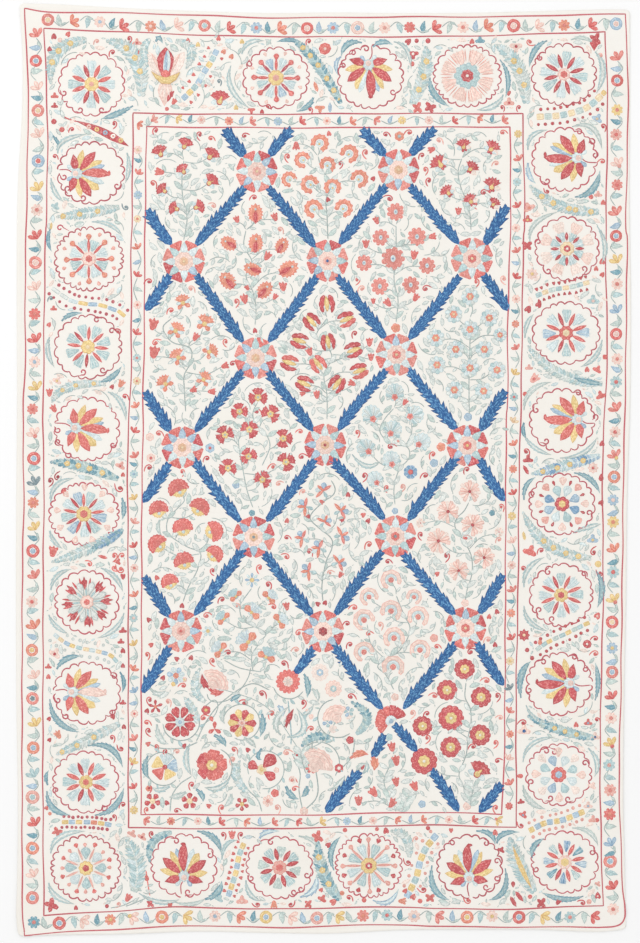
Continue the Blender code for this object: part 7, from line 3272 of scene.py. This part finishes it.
@dataclass(frozen=True)
class ThreadFinish:
    """Dyed thread, laid in rows along each patch."""

    name: str
    row_pitch: float  # across the rows
    stitch_length: float  # along the rows
    roughness: float
    depth: float  # height of the rows in the bump
    stitch_shade_and_mottle: float  # how much lighter and darker single stitches are: painted shade on the low stitches, painted highlight on the high ones, and random tone
    highlight: tuple[float, float, float, float]  # colour of the lightest stitches: painted highlights on the high stitches, and also paler thread and ground showing between them
    highlight_share: float
    outline: float = 0.8  # how strongly the darker thread shows along the edge

    def material(self) -> bpy.types.Material:
        """Build the finish.

        The mesh carries the dye, and the place along and across the stitches in metres. Rows
        are a sine across; single stitches are noise cells as long as a stitch and as wide as a
        row. Each stitch's noise both raises the bump and lightens the colour, so the colour
        holds painted shade on the low stitches and painted highlights on the high ones, besides
        random tone.

        Returns:
            The material.
        """
        board = Board(self.name)
        along, across, pick = board.axes(board.attribute("thread", "Vector"))
        dye = board.attribute("dye", "Color")
        cell = board.vector(along / self.stitch_length, across / self.row_pitch, pick)
        stitch = board.noise(cell, 1.0, 1.0)
        # Painted shade and light: the stitch noise also raises the bump, so low stitches are painted darker
        # and high ones lighter, with random tone.
        shade = board.ramp(stitch, 0.30, 0.70, 1.0 - self.stitch_shade_and_mottle, 1.0 + self.stitch_shade_and_mottle * 0.75)
        # Painted highlight on the highest stitches, which also stands for paler thread and ground showing.
        fleck_and_highlight = board.ramp(stitch, 0.52, 0.66, 0.0, self.highlight_share)
        patch = board.noise(board.vector(along / PATCH_LENGTH, across / PATCH_WIDTH, pick), 1.0, 1.0)
        rim = board.attribute("rim", "Fac") + patch * RIM_STRAY
        edge = board.ramp(rim, RIM_FADE[0], RIM_FADE[1], self.outline, 0.0)
        fill = board.mix(fleck_and_highlight, dye, self.highlight)
        fill = board.mix(board.ramp(patch, 0.40, 0.68, 0.0, 0.30), fill, board.attribute("edge", "Color"))
        colour = board.mix(edge, fill, board.attribute("edge", "Color"))
        colour = board.scaled(colour, shade)
        row = board.math("SINE", across * (2.0 * math.pi / self.row_pitch) + along * ROW_SLANT)
        height = row * 0.30 + stitch * 0.9
        board.feed(board.shader.inputs["Base Color"], colour)
        board.feed(board.shader.inputs["Roughness"], self.roughness)
        board.feed(board.shader.inputs["Normal"], board.bump(height, self.depth))
        board.shader.inputs["Sheen Weight"].default_value = 0.10
        board.shader.inputs["Specular IOR Level"].default_value = 0.35
        return board.material


SILK_FINISH = ThreadFinish(
    name="silk_stitches",
    row_pitch=0.0022,
    stitch_length=0.0050,
    roughness=0.60,
    depth=0.00035,
    stitch_shade_and_mottle=0.20,
    highlight=(0.93, 0.88, 0.80, 1.0),
    highlight_share=0.28,
)
LINE_FINISH = ThreadFinish(
    name="line_stitches",
    row_pitch=0.0016,
    stitch_length=0.0028,
    roughness=0.62,
    depth=0.00040,
    stitch_shade_and_mottle=0.18,
    highlight=(0.90, 0.72, 0.68, 1.0),
    highlight_share=0.14,
)
INDIGO_FINISH = ThreadFinish(
    name="indigo_stitches",
    row_pitch=0.0024,
    stitch_length=0.0056,
    roughness=0.60,
    depth=0.00040,
    stitch_shade_and_mottle=0.34,
    highlight=(0.24, 0.50, 0.66, 1.0),
    highlight_share=0.62,
    outline=0.9,
)


# Noise cells of the slubs in a metre, along a thread and across it.
SLUB_RUN = 18.0
SLUB_WIDTH = 420.0


@dataclass(frozen=True)
class GroundFinish:
    """Plain hand-woven cotton, off-white and a little uneven."""

    name: str
    colour: tuple[float, float, float, float]
    warm: tuple[float, float, float, float]  # the second tone, which it drifts to
    thread_pitch: float
    roughness: float
    depth: float  # height of the weave in the bump

    def material(self) -> bpy.types.Material:
        """Build the finish.

        The weave is the product of two crossed sines, one thread wide, and the colour is a
        little darker where the weave is low: painted shade between the threads. Its colour drifts
        between the two tones over a hand's breadth, with faint slubs along the threads.

        Returns:
            The material.
        """
        board = Board(self.name)
        place = board.place()
        x, y, _ = board.axes(place)
        step = 2.0 * math.pi / self.thread_pitch
        warp = board.math("SINE", x * step)
        weft = board.math("SINE", y * step)
        drift = board.noise(place, 6.0, 3.0)
        slub = board.noise(board.vector(x * SLUB_RUN, y * SLUB_WIDTH, 0.0), 1.0, 2.0)
        slub_up = board.noise(board.vector(x * SLUB_WIDTH, y * SLUB_RUN, 4.0), 1.0, 2.0)
        tone = board.ramp(drift + (slub + slub_up) * 0.30, 0.55, 1.10, 0.0, 1.0)
        colour = board.mix(tone, self.colour, self.warm)
        # Painted shade: the colour is darker where the weave's bump is low.
        weave_shade = board.ramp(warp * weft, -1.0, 1.0, 0.965, 1.0)
        board.feed(board.shader.inputs["Base Color"], board.scaled(colour, weave_shade))
        board.feed(board.shader.inputs["Roughness"], self.roughness)
        height = warp * weft * 0.5 + (slub + slub_up) * 0.8
        board.feed(board.shader.inputs["Normal"], board.bump(height, self.depth))
        board.shader.inputs["Specular IOR Level"].default_value = 0.25
        return board.material


GROUND = GroundFinish(
    name="ground_cotton_face",
    colour=(0.925, 0.900, 0.850, 1.0),
    warm=(0.905, 0.865, 0.795, 1.0),
    thread_pitch=0.0011,
    roughness=0.88,
    depth=0.00012,
)


# --------------------------------------------------------------------------------------------
# The ground cloth
# --------------------------------------------------------------------------------------------


@dataclass
class Ground:
    """The cotton ground with its turned hem, as one closed sheet."""

    cloth: Cloth
    pitch: float = 0.0115

    def lines(self, side: float) -> Array:
        """Places of the mesh lines across one side: close at the hem, even in the middle."""
        near = [0.0, 0.0035, HEM_WIDTH, HEM_WIDTH + HEM_SLOPE, 0.017]
        steps = math.ceil((side - 0.044) / self.pitch)
        middle = np.linspace(0.022, side - 0.022, steps + 1)
        return np.concatenate([near, middle, side - np.array(near[::-1])]) - side / 2.0

    def build(self, material: bpy.types.Material) -> bpy.types.Object:
        """Make the sheet.

        The underside follows the rim's lift. The face lies one thickness over it, with the
        pucker of the stitching. The fold between them bulges at half the thickness.

        Args:
            material: its finish.

        Returns:
            The piece, declared as a laid sheet.
        """
        across = self.lines(CLOTH_WIDTH)
        along = self.lines(CLOTH_LENGTH)
        x, y = np.meshgrid(across, along, indexing="ij")
        moved_x, moved_y = self.cloth.moved(x, y)
        lift = self.cloth.lift(x, y)
        thickness = self.cloth.thickness(x, y)
        top = lift + thickness + self.cloth.pucker(moved_x, moved_y)
        rows, columns = x.shape
        count = rows * columns
        number = np.arange(count).reshape(rows, columns)
        faces = grid_faces(rows, columns, False)
        edge = np.concatenate([number[:-1, 0], number[-1, :-1], number[:0:-1, -1], number[0, :0:-1]])
        fold_x, fold_y = self.cloth.moved(x.ravel()[edge], y.ravel()[edge], FOLD_BULGE)
        fold_height = (lift + thickness / 2.0).ravel()[edge]
        underside = np.column_stack([moved_x.ravel(), moved_y.ravel(), lift.ravel()])
        face = np.column_stack([moved_x.ravel(), moved_y.ravel(), top.ravel()])
        fold = np.column_stack([fold_x, fold_y, fold_height])
        after = np.roll(edge, -1)
        turn = 2 * count + np.arange(len(edge))
        turn_after = np.roll(turn, -1)
        low = np.column_stack([edge, after, turn_after, turn])
        high = np.column_stack([turn, turn_after, after + count, edge + count])
        under = faces[:, ::-1]
        all_faces = np.vstack([under, faces + count, low, high])
        corners = np.vstack([underside, face, fold])
        mesh = joined_mesh("ground_sheet", corners, all_faces)
        mesh.materials.append(material)
        piece = bpy.data.objects.new("ground_sheet", mesh)
        bpy.context.scene.collection.objects.link(piece)
        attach(piece, "root")
        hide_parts("embroidered_cloth")
        log.info("ground_sheet: %d faces", len(mesh.polygons))
        return piece


# --------------------------------------------------------------------------------------------
# Stage, light and camera
# --------------------------------------------------------------------------------------------


@dataclass(frozen=True)
class Studio:
    """Pale floor, soft light from above and a camera straight over the cloth."""

    floor_side: float = 14.0
    floor_colour: tuple[float, float, float, float] = (0.93, 0.93, 0.93, 1.0)
    camera_height: float = 7.0
    view_width: float = 1.6
    view_length: float = 2.3575
    view_across: float = 320.0
    view_down: float = 471.5
    sky: float = 0.93
    lamp_power: float = 55.0
    lamp_side: float = 4.0
    lamp_place: tuple[float, float, float] = (-2.2, 2.8, 4.2)

    def build(self, cloth: Cloth) -> None:
        """Set the stage.

        Args:
            cloth: the cloth that the camera is centred on, by its chart.
        """
        self.floor()
        self.light()
        self.camera(cloth)

    def floor(self) -> None:
        """A plain floor under the cloth."""
        half = self.floor_side / 2.0
        corners = np.array([(-half, -half, 0.0), (half, -half, 0.0), (half, half, 0.0), (-half, half, 0.0)])
        mesh = joined_mesh("floor", corners, np.array([[0, 1, 2, 3]]))
        board = Board("floor_paint")
        board.shader.inputs["Base Color"].default_value = self.floor_colour
        board.shader.inputs["Roughness"].default_value = 0.9
        mesh.materials.append(board.material)
        floor = bpy.data.objects.new("floor", mesh)
        bpy.context.scene.collection.objects.link(floor)

    def light(self) -> None:
        """An even pale sky, and one broad lamp from the upper left."""
        world = bpy.data.worlds.new("studio")
        bpy.context.scene.world = world
        world.use_nodes = True
        background = world.node_tree.nodes["Background"]
        background.inputs["Color"].default_value = (1.0, 1.0, 1.0, 1.0)
        background.inputs["Strength"].default_value = self.sky
        data = bpy.data.lights.new("lamp", "AREA")
        data.energy = self.lamp_power
        data.shape = "SQUARE"
        data.size = self.lamp_side
        lamp = bpy.data.objects.new("lamp", data)
        lamp.location = self.lamp_place
        lamp.rotation_euler = Vector(self.lamp_place).to_track_quat("Z", "Y").to_euler()
        bpy.context.scene.collection.objects.link(lamp)

    def camera(self, cloth: Cloth) -> None:
        """A long lens straight above, framed as the photo is."""
        data = bpy.data.cameras.new("camera")
        data.sensor_fit = "VERTICAL"
        data.sensor_height = 24.0
        data.sensor_width = 24.0 * self.view_width / self.view_length
        data.lens = 24.0 * self.camera_height / self.view_length
        data.clip_end = 100.0
        data.dof.use_dof = False
        camera = bpy.data.objects.new("camera", data)
        place = at(self.view_across, self.view_down) * CHART_PITCH + cloth.shift
        camera.location = (place[0], place[1], self.camera_height)
        bpy.context.scene.collection.objects.link(camera)
        bpy.context.scene.camera = camera
        bpy.context.scene.view_settings.view_transform = "Standard"
        bpy.context.scene.view_settings.look = "None"
        bpy.context.scene.view_settings.exposure = 0.0


# --------------------------------------------------------------------------------------------
# Assembly
# --------------------------------------------------------------------------------------------


@dataclass
class Field:
    """The lattice and the bushes in its cells."""

    cloth: Cloth
    silk: bpy.types.Material
    indigo: bpy.types.Material
    growth: Undergrowth

    def build(self) -> None:
        """Make the pieces of the field."""
        leaves = Needlework("lattice_leaves", 11, "indigo_thread")
        for leaf in BLUE_LEAVES:
            blue_leaf(leaves, leaf)
        leaves.join(self.cloth, self.indigo)
        rosettes = Needlework("lattice_rosettes", 12)
        for node in LATTICE_NODES:
            node_rosette(rosettes, node)
        rosettes.join(self.cloth, self.silk)
        stems = Needlework("bush_stems", 13)
        flowers = Needlework("bush_flowers", 14, lift=1)
        for bush in BUSHES:
            bush.draw(stems, flowers)
        garden = Needlework("garden", 15)
        for row in GARDEN_SCROLLS:
            scroll(garden, row)
        for row in GARDEN_STEMS:
            stroke(garden, route(*row.path), row.half, row.dye)
        for row in GARDEN_FRONDS:
            frond(garden, row)
        for row in GARDEN_ROUNDS:
            for level, layer in enumerate(row.layers):
                draw_layer(garden, at(row.across, row.down), layer, level)
        self.half_fan(garden)
        self.small_things(garden)
        for piece in (leaves, rosettes, stems, flowers, garden):
            self.growth.cover(piece)
        self.growth.widen()
        fill = Needlework("field_undergrowth", 16)
        self.growth.sow(
            fill, band(149, 503, 130, 811), 6.4, (12.0, 9.5, 7.4), (FOAM, FOAM, FOAM, SEA), 50.0
        )
        fill.join(self.cloth, self.silk)
        for piece in (stems, flowers, garden):
            piece.join(self.cloth, self.silk)

    def half_fan(self, work: Needlework) -> None:
        """The coral fan that stands where a rosette of the lattice would."""
        centre = at(*HALF_FAN)
        for step in range(8):
            heading = 30.0 + 27.0 * step
            dye = CRIMSON if step < 3 else CORAL
            petal(work, centre, heading, 2.0, 16.0, 3.9, dye, Girth.WEDGE)
        work.disc(centre, fan_radii(6.4, 110.0, (), 0.12), ICE, 2, 126.0)
        spot(work, centre, 2.4, SKY, 3)

    def small_things(self, work: Needlework) -> None:
        """Curls and hearts between the larger motifs."""
        curls = np.array(CELL_CURLS, dtype=float).reshape(-1, 2)
        for number, (across, down) in enumerate(curls):
            heading = 90.0 + work.uneven(70.0)
            dye = CURL_DYES[number % len(CURL_DYES)]
            curl(work, at(across, down), 8.6 + work.uneven(1.2), heading, 1 if number % 2 else -1, dye)
        hearts = np.array(CELL_HEARTS, dtype=float).reshape(-1, 2)
        for number, (across, down) in enumerate(hearts):
            dye = CURL_DYES[number % 3]
            figure(work, Form.HEART, at(across, down), 2.7, 90.0 + work.uneven(60.0), dye)


def main() -> None:
    """Build every piece in order, then the stage."""
    cloth = Cloth()
    silk = SILK_FINISH.material()
    line = LINE_FINISH.material()
    indigo = INDIGO_FINISH.material()
    Ground(cloth).build(GROUND.material())
    growth = Undergrowth()
    Border(cloth, silk, line, growth).build()
    Field(cloth, silk, indigo, growth).build()
    Studio().build(cloth)


if __name__ == "__main__":
    main()
